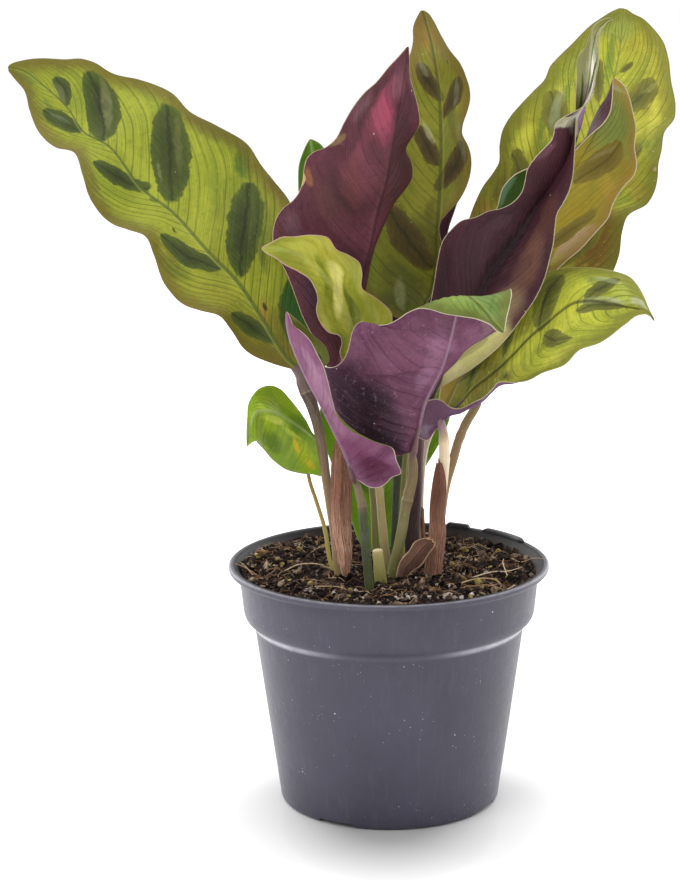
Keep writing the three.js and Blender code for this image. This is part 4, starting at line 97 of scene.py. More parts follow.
"rails":[[-1,[[-5.8,26.0,88.4,0.0],[-10.6,26.7,90.8,0.053],[-13.6,29.2,97.4,0.127],[-16.7,33.0,106.7,0.231],[-20.9,34.8,118.2,0.351],[-24.0,38.3,126.1,0.441],[-26.3,42.5,136.3,0.551],[-25.5,43.4,144.8,0.635],[-21.6,46.7,152.8,0.727],[-14.6,52.5,161.1,0.848],[-6.8,56.4,167.1,0.95],[-2.5,57.0,169.7,1.0]]],
[0,[[-4.8,26.0,88.2,0.0],[-3.6,30.4,99.4,0.137],[-1.6,36.1,113.9,0.314],[-0.8,43.2,128.1,0.494],[-0.7,46.9,143.2,0.67],[-1.0,53.5,157.7,0.85],[-1.4,57.0,170.5,1.0]]],
[1,[[-3.9,26.0,88.4,0.0],[2.1,27.6,90.5,0.061],[6.4,31.9,97.8,0.15],[9.5,34.6,108.2,0.255],[14.2,38.0,118.1,0.362],[20.1,40.5,127.8,0.471],[24.0,42.9,138.0,0.575],[23.3,44.0,146.8,0.659],[18.7,48.1,155.5,0.759],[10.7,53.7,162.8,0.873],[3.7,56.5,167.4,0.955],[-0.2,57.0,170.1,1.0]]]],"face":"up","side":1},
"hidden_left_leaf":{
"bow":[1,1],
"rails":[[-1,[[-12.0,18.0,147.4,0.0],[-18.3,17.3,159.1,0.128],[-22.7,16.1,172.7,0.265],[-25.5,16.4,185.9,0.395],[-27.7,17.6,198.9,0.522],[-29.4,18.0,210.2,0.631],[-31.5,19.1,221.2,0.74],[-32.8,20.1,228.6,0.812],[-32.9,20.7,232.2,0.847],[-32.1,21.6,239.5,0.918],[-30.2,21.9,244.3,0.967],[-28.5,22.0,247.3,1.0]]],
[0,[[-10.9,18.0,147.4,0.0],[-14.2,18.0,160.8,0.136],[-17.0,18.0,176.1,0.289],[-19.6,18.8,191.2,0.439],[-21.7,20.0,206.1,0.587],[-23.8,20.5,221.0,0.735],[-25.9,21.5,233.9,0.865],[-28.3,22.0,247.5,1.0]]],
[1,[[-9.7,18.0,147.4,0.0],[-10.0,17.4,159.0,0.112],[-11.0,16.1,174.5,0.261],[-12.4,16.5,189.6,0.407],[-14.2,17.8,204.5,0.551],[-15.9,18.5,219.4,0.694],[-18.5,20.3,232.2,0.821],[-22.1,21.6,242.4,0.926],[-25.0,21.9,245.8,0.968],[-28.0,22.0,247.3,1.0]]]],"face":"up","side":1},
"hidden_centre_leaf":{
"bow":[-1,-1],
"rails":[[-1,[[6.5,24.0,146.0,0.0],[3.1,24.9,157.4,0.108],[0.9,26.6,170.6,0.229],[-0.1,27.5,185.8,0.367],[-0.1,30.0,200.6,0.503],[1.1,31.1,213.7,0.622],[4.2,34.4,226.5,0.744],[9.5,38.9,237.3,0.86],[15.6,41.6,245.2,0.954],[19.8,42.0,248.2,1.0]]],
[0,[[7.3,24.0,146.0,0.0],[8.8,25.9,159.1,0.127],[10.8,28.7,172.1,0.255],[12.3,29.9,185.3,0.382],[13.9,33.2,200.0,0.527],[15.5,34.4,213.2,0.653],[17.4,37.4,226.0,0.78],[19.4,40.5,237.0,0.891],[20.5,42.0,248.3,1.0]]],
[1,[[8.0,24.0,146.0,0.0],[12.2,24.9,157.4,0.112],[16.0,26.7,170.5,0.239],[19.1,27.7,185.6,0.382],[21.4,30.2,199.7,0.515],[23.3,31.3,212.4,0.634],[26.0,33.2,220.1,0.711],[28.1,35.8,226.9,0.781],[28.0,38.3,233.4,0.845],[25.8,40.8,240.7,0.919],[21.3,42.0,248.1,1.0]]]],"face":"under","side":-1}}""")
STEMS = json.loads("""{
"left_petiole":[[-17.5,-13.0,70.0,1.9],[-18.0,-13.0,87.3,1.9],[-18.7,-13.0,95.4,1.9],[-19.9,-11.5,106.4,1.85],[-21.4,-9.5,115.5,1.75],[-22.8,-8.2,124.7,1.7],[-24.2,-8.0,136.0,1.8],[-26.2,-7.0,146.7,1.95],[-27.9,-6.2,152.6,2.15],[-29.9,-5.0,157.6,2.6],[-31.0,-4.0,160.4,2.8],[-31.4,-3.1,162.0,2.2]],
"upright_purple_petiole":[[-4.6,11.7,70.0,1.3],[-4.8,12.0,87.7,1.3],[-5.1,12.4,96.2,1.3],[-5.4,12.8,103.9,1.25],[-5.8,13.0,112.9,1.2],[-8.3,10.0,127.9,1.2],[-13.3,4.0,147.7,1.2],[-16.9,1.4,158.1,1.1],[-17.8,0.1,161.7,1.0]],
"small_pleated_petiole":[[0.2,-5.3,70.0,1.6],[-0.2,-6.0,88.0,1.6],[-0.8,-7.0,93.6,1.6],[-1.7,-8.1,101.7,1.6],[-2.7,-8.9,113.3,1.55],[-3.4,-9.4,122.2,1.5],[-5.9,-11.0,140.4,1.4],[-9.4,-12.0,155.6,1.3],[-11.2,-12.0,163.8,1.2],[-11.7,-12.0,166.7,1.1]],
"centre_back_petiole":[[1.8,11.6,70.0,1.5],[2.1,12.0,87.6,1.5],[2.5,12.5,100.1,1.5],[2.9,13.8,111.4,1.5],[3.3,14.4,120.2,1.5],[5.3,13.5,138.6,1.4],[7.6,12.0,158.1,1.4],[8.9,11.2,171.5,1.3],[9.5,11.0,178.6,1.2]],
"right_back_petiole":[[17.8,11.1,70.0,1.7],[18.4,12.0,86.0,1.7],[19.2,13.2,97.9,1.7],[20.3,15.4,107.1,1.7],[22.1,17.6,117.5,1.7],[24.6,18.0,125.9,1.7],[26.8,18.5,133.5,1.7],[30.2,19.0,141.2,1.7],[32.6,19.6,144.9,1.7],[33.4,20.0,146.1,1.5]],
"twisted_purple_petiole":[[8.3,25.1,70.0,3.0],[8.6,25.0,84.8,3.0],[9.0,24.9,92.8,3.0],[9.8,24.1,104.9,2.6],[10.6,19.8,117.7,2.5],[11.3,12.0,131.2,2.2],[12.7,4.0,142.6,2.0],[14.1,-0.5,148.9,1.9],[14.7,-1.6,150.3,1.5]],
"right_cupped_petiole":[[12.7,36.7,70.0,1.2],[12.6,36.0,82.6,1.2],[12.4,35.0,94.1,1.2],[12.4,33.0,103.8,1.2],[12.9,28.0,117.7,1.2],[14.0,21.5,129.0,1.2],[16.2,15.5,137.4,1.2],[18.2,13.0,141.4,1.2],[18.9,12.2,142.3,1.1]],
"right_low_petiole":[[16.4,-9.6,70.0,1.9],[16.9,-9.0,86.4,1.9],[17.6,-8.1,101.6,2.0],[19.2,-5.2,116.1,2.1],[20.3,-4.5,125.5,2.1],[20.8,-5.5,133.3,2.1],[20.7,-7.0,138.6,2.0],[20.4,-8.2,141.9,1.5]],
"front_purple_petiole":[[0.6,-12.0,70.0,1.9],[1.2,-12.0,86.9,1.9],[2.0,-12.0,93.1,1.9],[3.5,-12.1,99.6,1.9],[5.0,-11.5,106.3,1.9],[6.1,-10.6,113.0,1.9],[7.3,-10.0,118.5,2.2],[8.8,-10.7,125.1,1.9],[9.1,-12.0,130.0,1.8],[9.0,-13.2,133.3,1.6],[8.9,-13.7,134.6,1.2]],
"front_folded_petiole":[[-6.5,-29.0,70.0,1.7],[-6.8,-29.0,87.6,1.7],[-7.2,-29.0,92.2,1.7],[-8.2,-29.2,103.5,1.7],[-8.9,-28.1,112.6,1.7],[-9.5,-26.5,119.7,1.75],[-10.4,-25.3,123.1,1.45],[-11.3,-24.4,126.3,1.3],[-11.8,-24.3,127.5,1.1]],
"young_left_petiole":[[-19.3,-5.7,70.0,0.9],[-20.4,-5.0,87.8,0.9],[-21.9,-4.0,92.9,0.8],[-23.7,-0.5,103.6,0.8],[-27.1,3.8,114.1,0.75],[-29.7,6.9,121.8,0.7],[-30.3,9.5,126.6,0.7],[-29.0,11.0,130.9,0.7],[-27.2,10.4,132.9,0.7],[-26.2,9.6,133.8,0.6]],
"low_back_petiole":[[-4.6,26.0,70.0,1.5],[-4.7,26.0,81.8,1.5],[-4.8,26.0,84.6,1.5],[-4.8,26.0,87.2,1.3]],
"hidden_left_petiole":[[-17.1,1.3,70.0,1.2],[-16.8,3.0,86.3,1.2],[-16.3,6.3,105.7,1.2],[-15.5,10.8,120.0,1.2],[-13.6,13.5,134.9,1.2],[-11.6,17.0,143.7,1.1],[-11.0,18.0,146.2,1.0]],
"hidden_centre_petiole":[[5.3,13.2,70.0,1.3],[5.1,17.0,87.0,1.3],[4.8,22.3,101.4,1.3],[5.7,27.3,115.9,1.3],[6.9,27.0,131.7,1.3],[7.3,25.5,141.4,1.2],[7.3,24.6,143.9,1.1]],
"cut_stem_stub":[[-2.3,-20.0,70.0,2.4],[-2.8,-20.0,87.3,2.4],[-3.5,-20.0,95.3,2.1],[-4.0,-19.6,101.1,1.85]]}""")
SHEATHS = json.loads("""{
"dry_sheath_left":{
"bow":[0,0],
"rails":[[-1,[[-15.4,-18.5,90.6,0.0],[-16.2,-18.5,90.6,0.015],[-18.1,-18.5,94.6,0.096],[-19.6,-18.1,100.2,0.201],[-21.1,-16.8,107.8,0.345],[-21.6,-15.4,113.9,0.46],[-21.2,-13.6,122.9,0.627],[-20.8,-13.1,131.6,0.786],[-19.7,-13.0,138.7,0.916],[-18.5,-13.0,143.1,1.0]]],
[0,[[-14.6,-20.0,90.6,0.0],[-15.3,-20.5,91.7,0.025],[-16.3,-21.2,100.6,0.192],[-17.4,-20.1,108.7,0.342],[-17.7,-18.3,117.7,0.511],[-17.3,-17.1,126.8,0.68],[-17.2,-16.9,134.2,0.817],[-17.7,-15.0,139.4,0.919],[-18.2,-14.0,143.7,1.0]]],
[1,[[-14.1,-18.5,90.6,0.0],[-14.2,-18.5,91.1,0.011],[-13.4,-18.1,100.2,0.18],[-13.6,-16.5,109.3,0.353],[-13.4,-14.7,116.9,0.497],[-13.4,-13.4,124.5,0.641],[-14.8,-13.0,132.4,0.791],[-17.2,-13.0,139.2,0.925],[-17.9,-13.0,143.1,1.0]]]]},
"dry_sheath_right":{
"bow":[0,0],
"rails":[[-1,[[13.1,-12.6,90.0,0.0],[14.1,-12.4,98.5,0.196],[15.0,-11.2,106.2,0.377],[15.4,-9.4,115.4,0.593],[16.6,-8.1,124.7,0.81],[18.2,-8.0,132.8,1.0]]],
[0,[[16.0,-15.5,90.0,0.0],[17.1,-15.2,99.3,0.21],[17.9,-14.0,106.9,0.385],[18.3,-12.0,116.0,0.595],[19.1,-10.6,125.3,0.805],[18.6,-9.0,133.8,1.0]]],
[1,[[19.6,-12.6,89.9,0.0],[20.4,-12.5,96.9,0.159],[21.2,-11.5,104.7,0.34],[20.8,-10.0,112.4,0.519],[21.5,-8.4,121.5,0.731],[20.6,-8.0,128.2,0.886],[19.0,-8.0,133.0,1.0]]]]},
"dry_sheath_small":{
"bow":[0,0],
"rails":[[-1,[[12.6,32.2,89.4,0.0],[12.4,31.2,95.1,0.38],[12.3,30.0,104.6,1.0]]],
[0,[[13.3,31.2,89.4,0.0],[13.2,30.0,95.4,0.38],[12.9,28.6,105.3,1.0]]],
[1,[[14.3,33.0,89.5,0.0],[14.1,31.8,95.0,0.379],[13.7,30.6,104.0,1.0]]]]},
"broken_sheath_piece":{
"bow":[0,0],
"rails":[[-1,[[2.8,-18.0,90.3,0.0],[3.6,-18.1,94.4,0.196],[5.3,-18.1,97.8,0.369],[7.5,-18.0,100.0,0.514],[9.8,-17.6,103.5,0.707],[12.9,-17.5,104.7,0.859],[16.0,-17.5,104.9,1.0]]],
[0,[[4.5,-20.0,90.7,0.0],[6.7,-20.5,95.0,0.254],[9.3,-20.9,98.2,0.466],[11.5,-20.5,101.1,0.658],[14.1,-19.6,103.3,0.841],[16.7,-19.1,104.9,1.0]]],
[1,[[6.7,-19.0,91.0,0.0],[9.3,-19.0,93.1,0.192],[11.7,-19.0,94.7,0.356],[14.4,-18.9,98.6,0.629],[17.2,-18.3,103.5,0.949],[17.0,-18.1,104.4,1.0]]]]}}""")
# soft tints for each face of a blade, as ellipses in its map P; most are the blade's own colour, but the near-black
# ones in hollows, folds and gaps between leaves are painted shade, and the pale streaked ones laid last are painted
# sheen highlights
TINTS = json.loads("""{
"left_leaf":{
"top":[[[-10.82,0.36,5.378],[2.14,-10.34,8.886],"6d7a2f",0.65,0.9,0],[[-30.78,-1.55,14.82],[11.9,-12.0,4.919],"56752a",0.6,0.8,0],[[-13.02,-0.8,4.925],[12.4,-7.8,1.206],"6f7536",0.6,0.9,0],[[-15.76,0.97,10.972],[-17.81,-19.57,33.778],"7b8440",0.5,0.9,0],[[-12.23,0.16,1.201],[-4.08,-1.29,0.314],"6a5a20",0.7,1,0],[[-11.44,0.08,2.558],[-4.0,-3.69,-0.72],"8a7c30",0.35,1,0],[[-27.16,-0.8,4.192],[26.71,-9.54,-3.176],"b58f48",0.55,0.9,0],[[-27.06,-0.15,25.778],[-10.0,-2.13,8.967],"6f8a3c",0.6,0.9,0],[[-18.25,-0.5,10.756],[0.64,-11.3,-8.99],"6a6a2c",0.5,0.9,0],[[-20.24,-0.33,7.363],[-10.82,-9.29,-3.65],"6c6a28",0.45,1,0],[[-9.89,0.04,5.61],[2.6,-9.92,-0.315],"b4bb4c",0.4,1,0],[[-6.26,-0.69,2.847],[28.62,-8.25,-9.787],"a9b23a",0.45,1,0],[[-21.13,0.46,7.753],[-20.3,-5.75,3.312],"5a6a22",0.75,1,0],[[-17.1,-0.97,5.068],[25.91,-13.08,-0.663],"56622e",0.75,1,0],[[-20.97,-0.68,2.295],[21.96,-3.75,-2.475],"86802a",0.6,1,0],[[-20.22,-4.25,12.717],[40.82,-7.2,-12.045],"4a6a20",0.75,0.9,0],[[-17.71,0.73,8.952],[4.96,-13.33,9.524],"70722e",0.6,1,0],[[-31.82,-0.8,12.481],[14.2,-16.58,11.097],"7a5432",0.7,0.9,0],[[-20.67,-0.6,7.73],[3.01,-8.61,-6.46],"6a5a26",0.6,0.9,0],[[-17.45,-0.8,14.419],[17.63,-8.2,-18.041],"6a7a34",0.6,0.9,0],[[-11.67,-1.34,3.443],[41.5,-8.68,-10.182],"98a52e",0.5,1,0]],
"under":[],
"after":[[[-8.22,-1.46,6.838],[57.81,-8.86,-38.058],"8f8f6c",0.6,0.8,1],[[-9.7,-1.82,6.551],[76.09,-14.8,-33.267],"8b8b56",0.4,0.9,1],[[-11.68,-1.99,5.261],[63.88,-15.66,-12.689],"5f6b40",0.5,0.9,1],[[-24.08,-1.52,20.732],[30.52,-7.4,-24.999],"8a8d6c",0.5,0.9,1],[[-28.33,-4.53,16.393],[169.08,-39.24,-80.873],"b9bb98",0.25,0.8,1],[[-23.96,0.34,19.64],[-51.29,-12.85,37.648],"7c8c78",0.5,0.9,1],[[-16.06,-0.19,2.176],[-1.26,-4.18,2.753],"2c5a26",0.75,0.5,0]],
"ovals":[[[19.16,1.73,-16.623],[-25.86,4.02,20.935]],[[7.75,1.08,-6.192],[-15.53,2.84,10.324]],[[6.29,1.13,-4.002],[-15.92,3.31,7.221]],[[7.07,1.12,-2.79],[-16.43,3.73,3.731]],[[12.38,0.82,-2.149],[-11.38,2.29,0.061]],[[14.07,-0.11,-11.292],[15.89,4.03,-11.495]],[[12.24,-0.41,-7.345],[23.64,5.41,-12.653]],[[11.79,-0.32,-4.323],[17.55,4.76,-4.671]],[[16.35,-0.22,-2.396],[17.41,3.35,-1.165]]],
"spots":[[0.421,-0.258],[0.495,-0.039],[0.163,0.141]]},
"upright_purple_leaf":{
"top":[],
"under":[[[-8.89,-0.28,7.048],[-4.77,-3.63,2.635],"b2506c",0.9,1,0],[[-13.69,-0.61,10.277],[-0.37,-4.73,-1.93],"a04e63",0.6,1,0],[[-16.23,-0.24,14.358],[-2.45,-2.28,1.77],"8c5866",0.7,1,0],[[-15.18,-0.52,10.102],[-9.35,-6.88,3.171],"8a4a58",0.6,1,0],[[-8.47,-0.33,5.429],[-1.27,-5.03,-0.234],"7c4450",0.6,1,0],[[-8.86,-0.19,4.949],[-5.44,-5.78,0.778],"743f42",0.65,1,0],[[-8.04,1.64,5.302],[-22.9,-6.41,7.944],"65403a",0.55,1,0],[[-5.46,2.42,3.679],[-50.78,-10.9,21.835],"38221f",0.6,0.9,0],[[-13.48,2.25,7.705],[-23.58,-8.74,3.037],"73545e",0.55,1,0],[[-17.67,-0.84,13.634],[-0.84,-6.15,-4.575],"7d5a62",0.6,1,0],[[-6.49,-0.34,4.538],[-5.52,-2.21,4.877],"3c2227",0.7,0.9,0],[[-10.5,-0.73,6.134],[-4.81,-2.81,3.865],"4a2a26",0.6,0.9,0],[[-20.02,0.01,18.603],[-15.92,-1.35,14.868],"684048",0.6,0.9,0],[[-13.68,-0.89,5.901],[0.75,-2.12,-0.324],"6a3644",0.6,1,0],[[-7.06,0.47,1.849],[-5.75,-2.48,0.222],"47303f",0.8,0.9,0],[[-34.53,2.84,22.659],[-25.43,-15.6,0.253],"a8773f",0.6,0.8,0],[[-57.16,0.92,33.327],[-4.15,-33.23,-30.43],"dcc493",1,0.4,0],[[31.0,3.75,-18.322],[-23.24,10.28,25.952],"a9985c",0.5,0.9,0]],
"after":[],
"ovals":[[[-0.0,-2.78,-1.389],[22.22,4.44,-0.667]],[[-0.0,-2.5,-1.15],[16.67,3.33,-3.967]],[[-0.0,-2.5,-1.175],[16.13,3.23,-7.032]],[[-0.0,-2.63,-1.158],[20.0,4.0,-12.64]],[[-0.0,-3.85,-1.462],[33.33,6.67,-26.133]],[[0.0,3.33,-1.4],[29.41,-5.88,-1.647]],[[0.0,3.33,-1.2],[25.0,-5.0,-6.95]],[[0.0,3.23,-1.097],[23.81,-4.76,-11.952]],[[0.0,3.57,-1.214],[29.41,-5.88,-20.941]]],
"spots":[]},
"centre_back_leaf":{
"top":[[[-10.9,0.01,10.252],[-4.73,-0.86,4.239],"8b6c3a",0.85,0.8,0],[[-19.63,0.27,16.756],[-8.19,-2.04,7.974],"7b7644",0.6,0.9,0],[[-12.19,-0.67,2.159],[1.98,-9.94,-8.769],"6f842a",0.9,0.7,0],[[-6.4,-0.02,2.941],[-6.14,-5.63,1.462],"86862c",0.5,1,0],[[-8.25,-0.03,4.733],[-2.39,-2.6,2.439],"6c7434",0.5,1,0],[[-8.49,0.66,1.545],[-9.58,-3.55,0.0],"4f552c",0.7,1,0],[[0.0,2.44,-1.462],[-216.0,-56.77,93.642],"4b5a2a",0.7,0.9,0],[[-12.1,0.06,7.492],[-15.57,-8.56,6.183],"8a8c3a",0.5,1,0],[[-17.79,-0.14,13.761],[11.89,-6.59,-2.894],"8c7a4a",0.5,0.9,0],[[-11.66,-0.51,3.286],[0.16,-1.92,-0.177],"4a431f",0.6,1,0],[[-12.39,0.02,7.899],[-13.24,-5.45,10.549],"3f4a1c",0.55,0.9,0],[[-14.35,1.58,2.345],[-7.59,-2.68,-1.16],"3c4a2a",0.7,1,0],[[-20.49,-1.3,7.346],[2.7,-11.91,-2.371],"56501c",0.7,1,0],[[-15.25,0.05,7.215],[-13.13,-4.93,8.742],"3c3a1c",0.5,0.9,0],[[-17.01,0.2,13.984],[-11.36,-5.0,9.244],"6c5a28",0.6,0.9,0]],
"under":[],
"after":[[[-18.49,1.0,11.463],[-40.56,-12.7,21.562],"b9bca8",0.55,0.9,1],[[-15.02,-0.08,1.757],[5.89,-8.81,-5.228],"a9ae94",0.55,0.9,1],[[-24.44,0.89,20.03],[-51.93,-9.55,37.751],"8d9080",0.5,0.9,1],[[-13.89,-0.14,7.991],[5.16,-6.48,2.081],"8c9488",0.4,0.9,1],[[-21.27,-0.65,15.498],[30.38,-9.28,-16.627],"8b9488",0.4,0.9,1]],
"ovals":[[[11.94,-0.56,-9.251],[18.57,3.7,-13.123]],[[11.75,-0.85,-6.868],[17.99,5.36,-8.806]],[[6.42,-0.82,-2.173],[13.03,4.03,-2.193]],[[13.54,0.77,-9.75],[-20.58,3.19,13.012]],[[10.68,0.49,-5.454],[-15.83,2.66,6.737]],[[0.0,2.78,-1.278],[16.67,-3.33,-2.133]]],
"spots":[[0.803,0.49]]},
"right_back_leaf":{
"top":[[[-14.93,0.86,14.381],[-15.61,-0.53,14.762],"7f8c4c",0.8,1,0],[[-10.54,-0.34,8.525],[7.53,-7.7,-12.014],"7a8438",0.6,1,0],[[-9.42,-0.93,4.75],[4.73,-2.56,-0.037],"6e4a28",0.97,1,0],[[-15.55,-1.66,8.493],[6.23,-4.56,-1.914],"94803a",0.7,1,0],[[-25.9,-1.25,9.951],[7.3,-4.51,-7.107],"ad7f45",0.85,0.9,0],[[-9.74,3.24,2.703],[-32.03,-4.26,21.499],"96833a",0.7,1,0],[[-10.47,-3.81,10.215],[70.14,-3.95,-43.067],"6f7f35",0.7,0.9,0],[[-24.39,-0.72,11.778],[-0.05,-7.32,-6.214],"867a34",0.5,1,0],[[-14.96,4.66,1.678],[-30.13,-3.77,15.595],"74562c",0.7,1,0],[[-11.11,0.13,8.179],[-16.32,-9.23,18.843],"c0bd52",0.5,1,0],[[-17.12,-0.13,10.07],[3.94,-6.42,-7.021],"ccd052",0.75,1,0],[[-21.53,-13.69,24.492],[41.19,-39.62,22.239],"8a6a35",0.5,0.9,0],[[-12.9,0.18,8.829],[-31.55,-18.62,9.775],"56702c",0.8,0.9,0],[[-11.58,0.25,10.146],[-12.73,-9.45,9.472],"5c7430",0.7,0.9,0],[[-16.78,1.78,12.129],[-28.51,-6.41,25.298],"7a6a2c",0.7,1,0],[[-20.8,-0.24,10.028],[-8.07,-9.82,-3.693],"5e5226",0.85,1,0],[[-24.09,-0.91,9.536],[8.98,-7.87,-11.424],"b88a3c",0.8,1,0],[[-11.3,0.21,8.532],[-28.36,-16.21,11.917],"5c7034",0.7,0.9,0],[[-15.35,-0.22,8.962],[6.45,-19.12,-12.317],"6a8030",0.6,0.9,0],[[-21.85,-1.13,8.117],[11.97,-6.43,-9.727],"a8823c",0.7,1,0],[[-118.98,2.54,69.841],[-7.16,-19.2,22.739],"b98468",0.8,0.8,0],[[-277.75,7.38,161.641],[-21.12,-44.73,55.666],"fff6f2",1,0.4,0],[[-162.6,6.92,81.964],[-127.73,-35.75,100.372],"8a6228",0.7,0.5,0]],
"under":[],
"after":[[[-15.75,0.42,11.402],[-26.76,-11.6,12.255],"98a08c",0.6,0.9,1],[[25.16,5.34,-23.539],[-112.64,10.73,82.976],"a7a96a",0.4,0.9,1]],
"ovals":[[[8.28,-1.39,-6.328],[21.87,3.84,-13.139]],[[16.71,-0.83,-13.644],[22.62,8.54,-16.4]],[[12.51,2.27,-10.86],[-21.0,3.02,14.842]],[[37.31,5.51,-32.874],[-92.89,9.83,77.466]],[[-0.0,-2.78,-1.389],[20.0,4.0,-0.6]],[[-0.0,-2.5,-1.2],[16.67,3.33,-3.9]],[[-0.0,-2.63,-1.211],[20.0,4.0,-8.16]],[[0.0,2.78,-1.222],[20.0,-4.0,-2.24]],[[0.0,2.78,-1.167],[20.0,-4.0,-6.32]],[[0.0,2.94,-1.235],[22.22,-4.44,-11.022]]],
"spots":[]},
"twisted_purple_leaf":{
"top":[[[-13.77,-0.61,9.727],[38.8,-1.12,-29.532],"b4bb8e",0.97,0.3,0],[[-7.07,-0.22,5.937],[-2.63,0.94,2.1],"a9ac94",0.95,0.6,0],[[-10.6,-0.18,9.015],[-22.07,3.39,17.585],"8a8b7c",0.7,0.9,0],[[-9.68,-0.23,8.549],[-45.38,3.79,40.152],"e0dccd",0.9,0.8,0],[[-16.06,-0.34,14.59],[-52.62,2.59,49.125],"6f7c5c",0.8,0.8,0],[[-15.19,-0.66,11.741],[3.48,-2.01,-2.576],"7a5680",0.95,0.5,0],[[59.44,0.94,-56.841],[-32.75,-1.68,30.927],"b5b29a",0.8,0.7,0]],
"under":[[[-11.15,-0.08,3.878],[-2.32,-2.97,-0.688],"49343b",0.8,1,0],[[27.79,1.74,-11.586],[-6.01,4.71,5.467],"503a42",0.5,1,0],[[-4.83,-0.03,1.986],[-1.47,-4.54,0.496],"20141a",0.9,1,0],[[-9.56,0.19,3.72],[-1.81,-3.41,2.784],"6c4a3a",0.85,1,0],[[-15.95,0.39,7.959],[-6.94,-2.72,5.496],"5b382f",0.7,1,0],[[-27.66,-0.02,16.474],[-14.57,-1.91,8.575],"45252e",0.6,1,0],[[-29.53,-1.24,18.319],[16.07,-5.41,-15.387],"7d5762",0.6,1,0],[[-12.84,-0.14,3.561],[3.49,-2.84,0.741],"8d7858",0.85,1,0],[[-9.54,-0.19,1.733],[2.27,-2.05,1.139],"c6c47c",0.97,0.7,0],[[-17.23,-0.21,1.342],[2.59,-1.37,0.796],"d4ce94",0.95,0.8,0],[[-8.98,0.26,2.273],[-8.71,-7.39,-3.953],"2b2226",0.8,0.9,0],[[-13.77,-0.61,9.727],[38.8,-1.12,-29.532],"c8ccac",0.97,0.6,0],[[-7.07,-0.22,5.937],[-2.63,0.94,2.1],"cfd0c0",0.95,0.6,0],[[-10.6,-0.18,9.014],[-32.18,4.95,25.643],"8f907e",0.7,0.9,0],[[-9.68,-0.23,8.549],[-45.38,3.79,40.152],"e0dccd",0.9,0.8,0],[[-16.06,-0.34,14.59],[-52.62,2.59,49.125],"6f7c5c",0.8,0.8,0],[[-15.19,-0.66,11.741],[3.48,-2.01,-2.576],"7a5680",0.95,0.5,0],[[305.0,3.34,-297.529],[-183.9,-3.27,178.935],"c8c4ac",0.8,0.7,0]],
"after":[],
"ovals":[[[-0.0,-2.78,-1.389],[22.22,4.44,-0.667]],[[-0.0,-2.5,-1.15],[16.67,3.33,-3.967]],[[-0.0,-2.5,-1.175],[16.13,3.23,-7.032]],[[-0.0,-2.63,-1.158],[20.0,4.0,-12.64]],[[-0.0,-3.85,-1.462],[33.33,6.67,-26.133]],[[0.0,3.33,-1.4],[29.41,-5.88,-1.647]],[[0.0,3.33,-1.2],[25.0,-5.0,-6.95]],[[0.0,3.23,-1.097],[23.81,-4.76,-11.952]],[[0.0,3.57,-1.214],[29.41,-5.88,-20.941]]],
"spots":[]},
"right_cupped_leaf":{
"top":[[[-9.12,0.06,8.014],[-1.13,-0.92,1.42],"76844e",0.95,1,0],[[-57.7,-1.26,56.465],[-69.18,-3.16,68.014],"9fab9c",0.8,0.9,0],[[-13.02,-1.09,8.353],[13.26,-3.46,-7.046],"92781f",0.6,1,0],[[-11.94,1.65,7.035],[-32.27,-3.86,25.549],"a5863c",0.7,1,0],[[-13.3,-1.49,8.944],[60.28,-6.5,-31.524],"7a7a2c",0.6,0.9,0],[[13.23,0.73,-7.667],[-7.44,3.21,1.501],"b39283",0.95,0.35,0],[[33.52,1.53,-17.188],[-6.75,4.83,-0.331],"aaa65c",0.8,0.6,0],[[-17.09,0.59,13.355],[-13.77,-11.18,22.462],"b58a5c",0.6,0.9,0]],
"under":[[[-21.83,-0.2,19.003],[-14.47,-2.61,11.991],"33141e",1,0.6,0],[[-38.15,-1.91,30.381],[0.51,-2.02,-1.705],"4a2a3a",0.8,0.8,0]],
"after":[[[15.17,2.05,-12.68],[-81.53,12.62,60.626],"8c8468",0.5,0.9,1],[[9.09,0.0,-5.455],[0.0,2.78,2.583],"2c4014",1,0.45,0],[[20.0,0.0,-11.5],[0.0,10.0,9.7],"5c7a6a",0.6,0.9,0],[[83.33,0.0,-53.75],[0.0,20.0,16.0],"b5743a",0.9,0.6,0]],
"ovals":[[[10.71,1.02,-8.514],[-12.32,3.11,8.297]],[[0.0,3.33,-1.333],[22.22,-4.44,-2.222]],[[0.0,2.94,-1.235],[20.0,-4.0,-5.92]],[[0.0,2.94,-1.235],[20.0,-4.0,-9.52]],[[-0.0,-2.78,-1.222],[20.0,4.0,-2.24]],[[-0.0,-2.63,-1.158],[20.0,4.0,-7.24]],[[-0.0,-2.78,-1.222],[22.22,4.44,-12.711]]],
"spots":[]},
"right_low_leaf":{
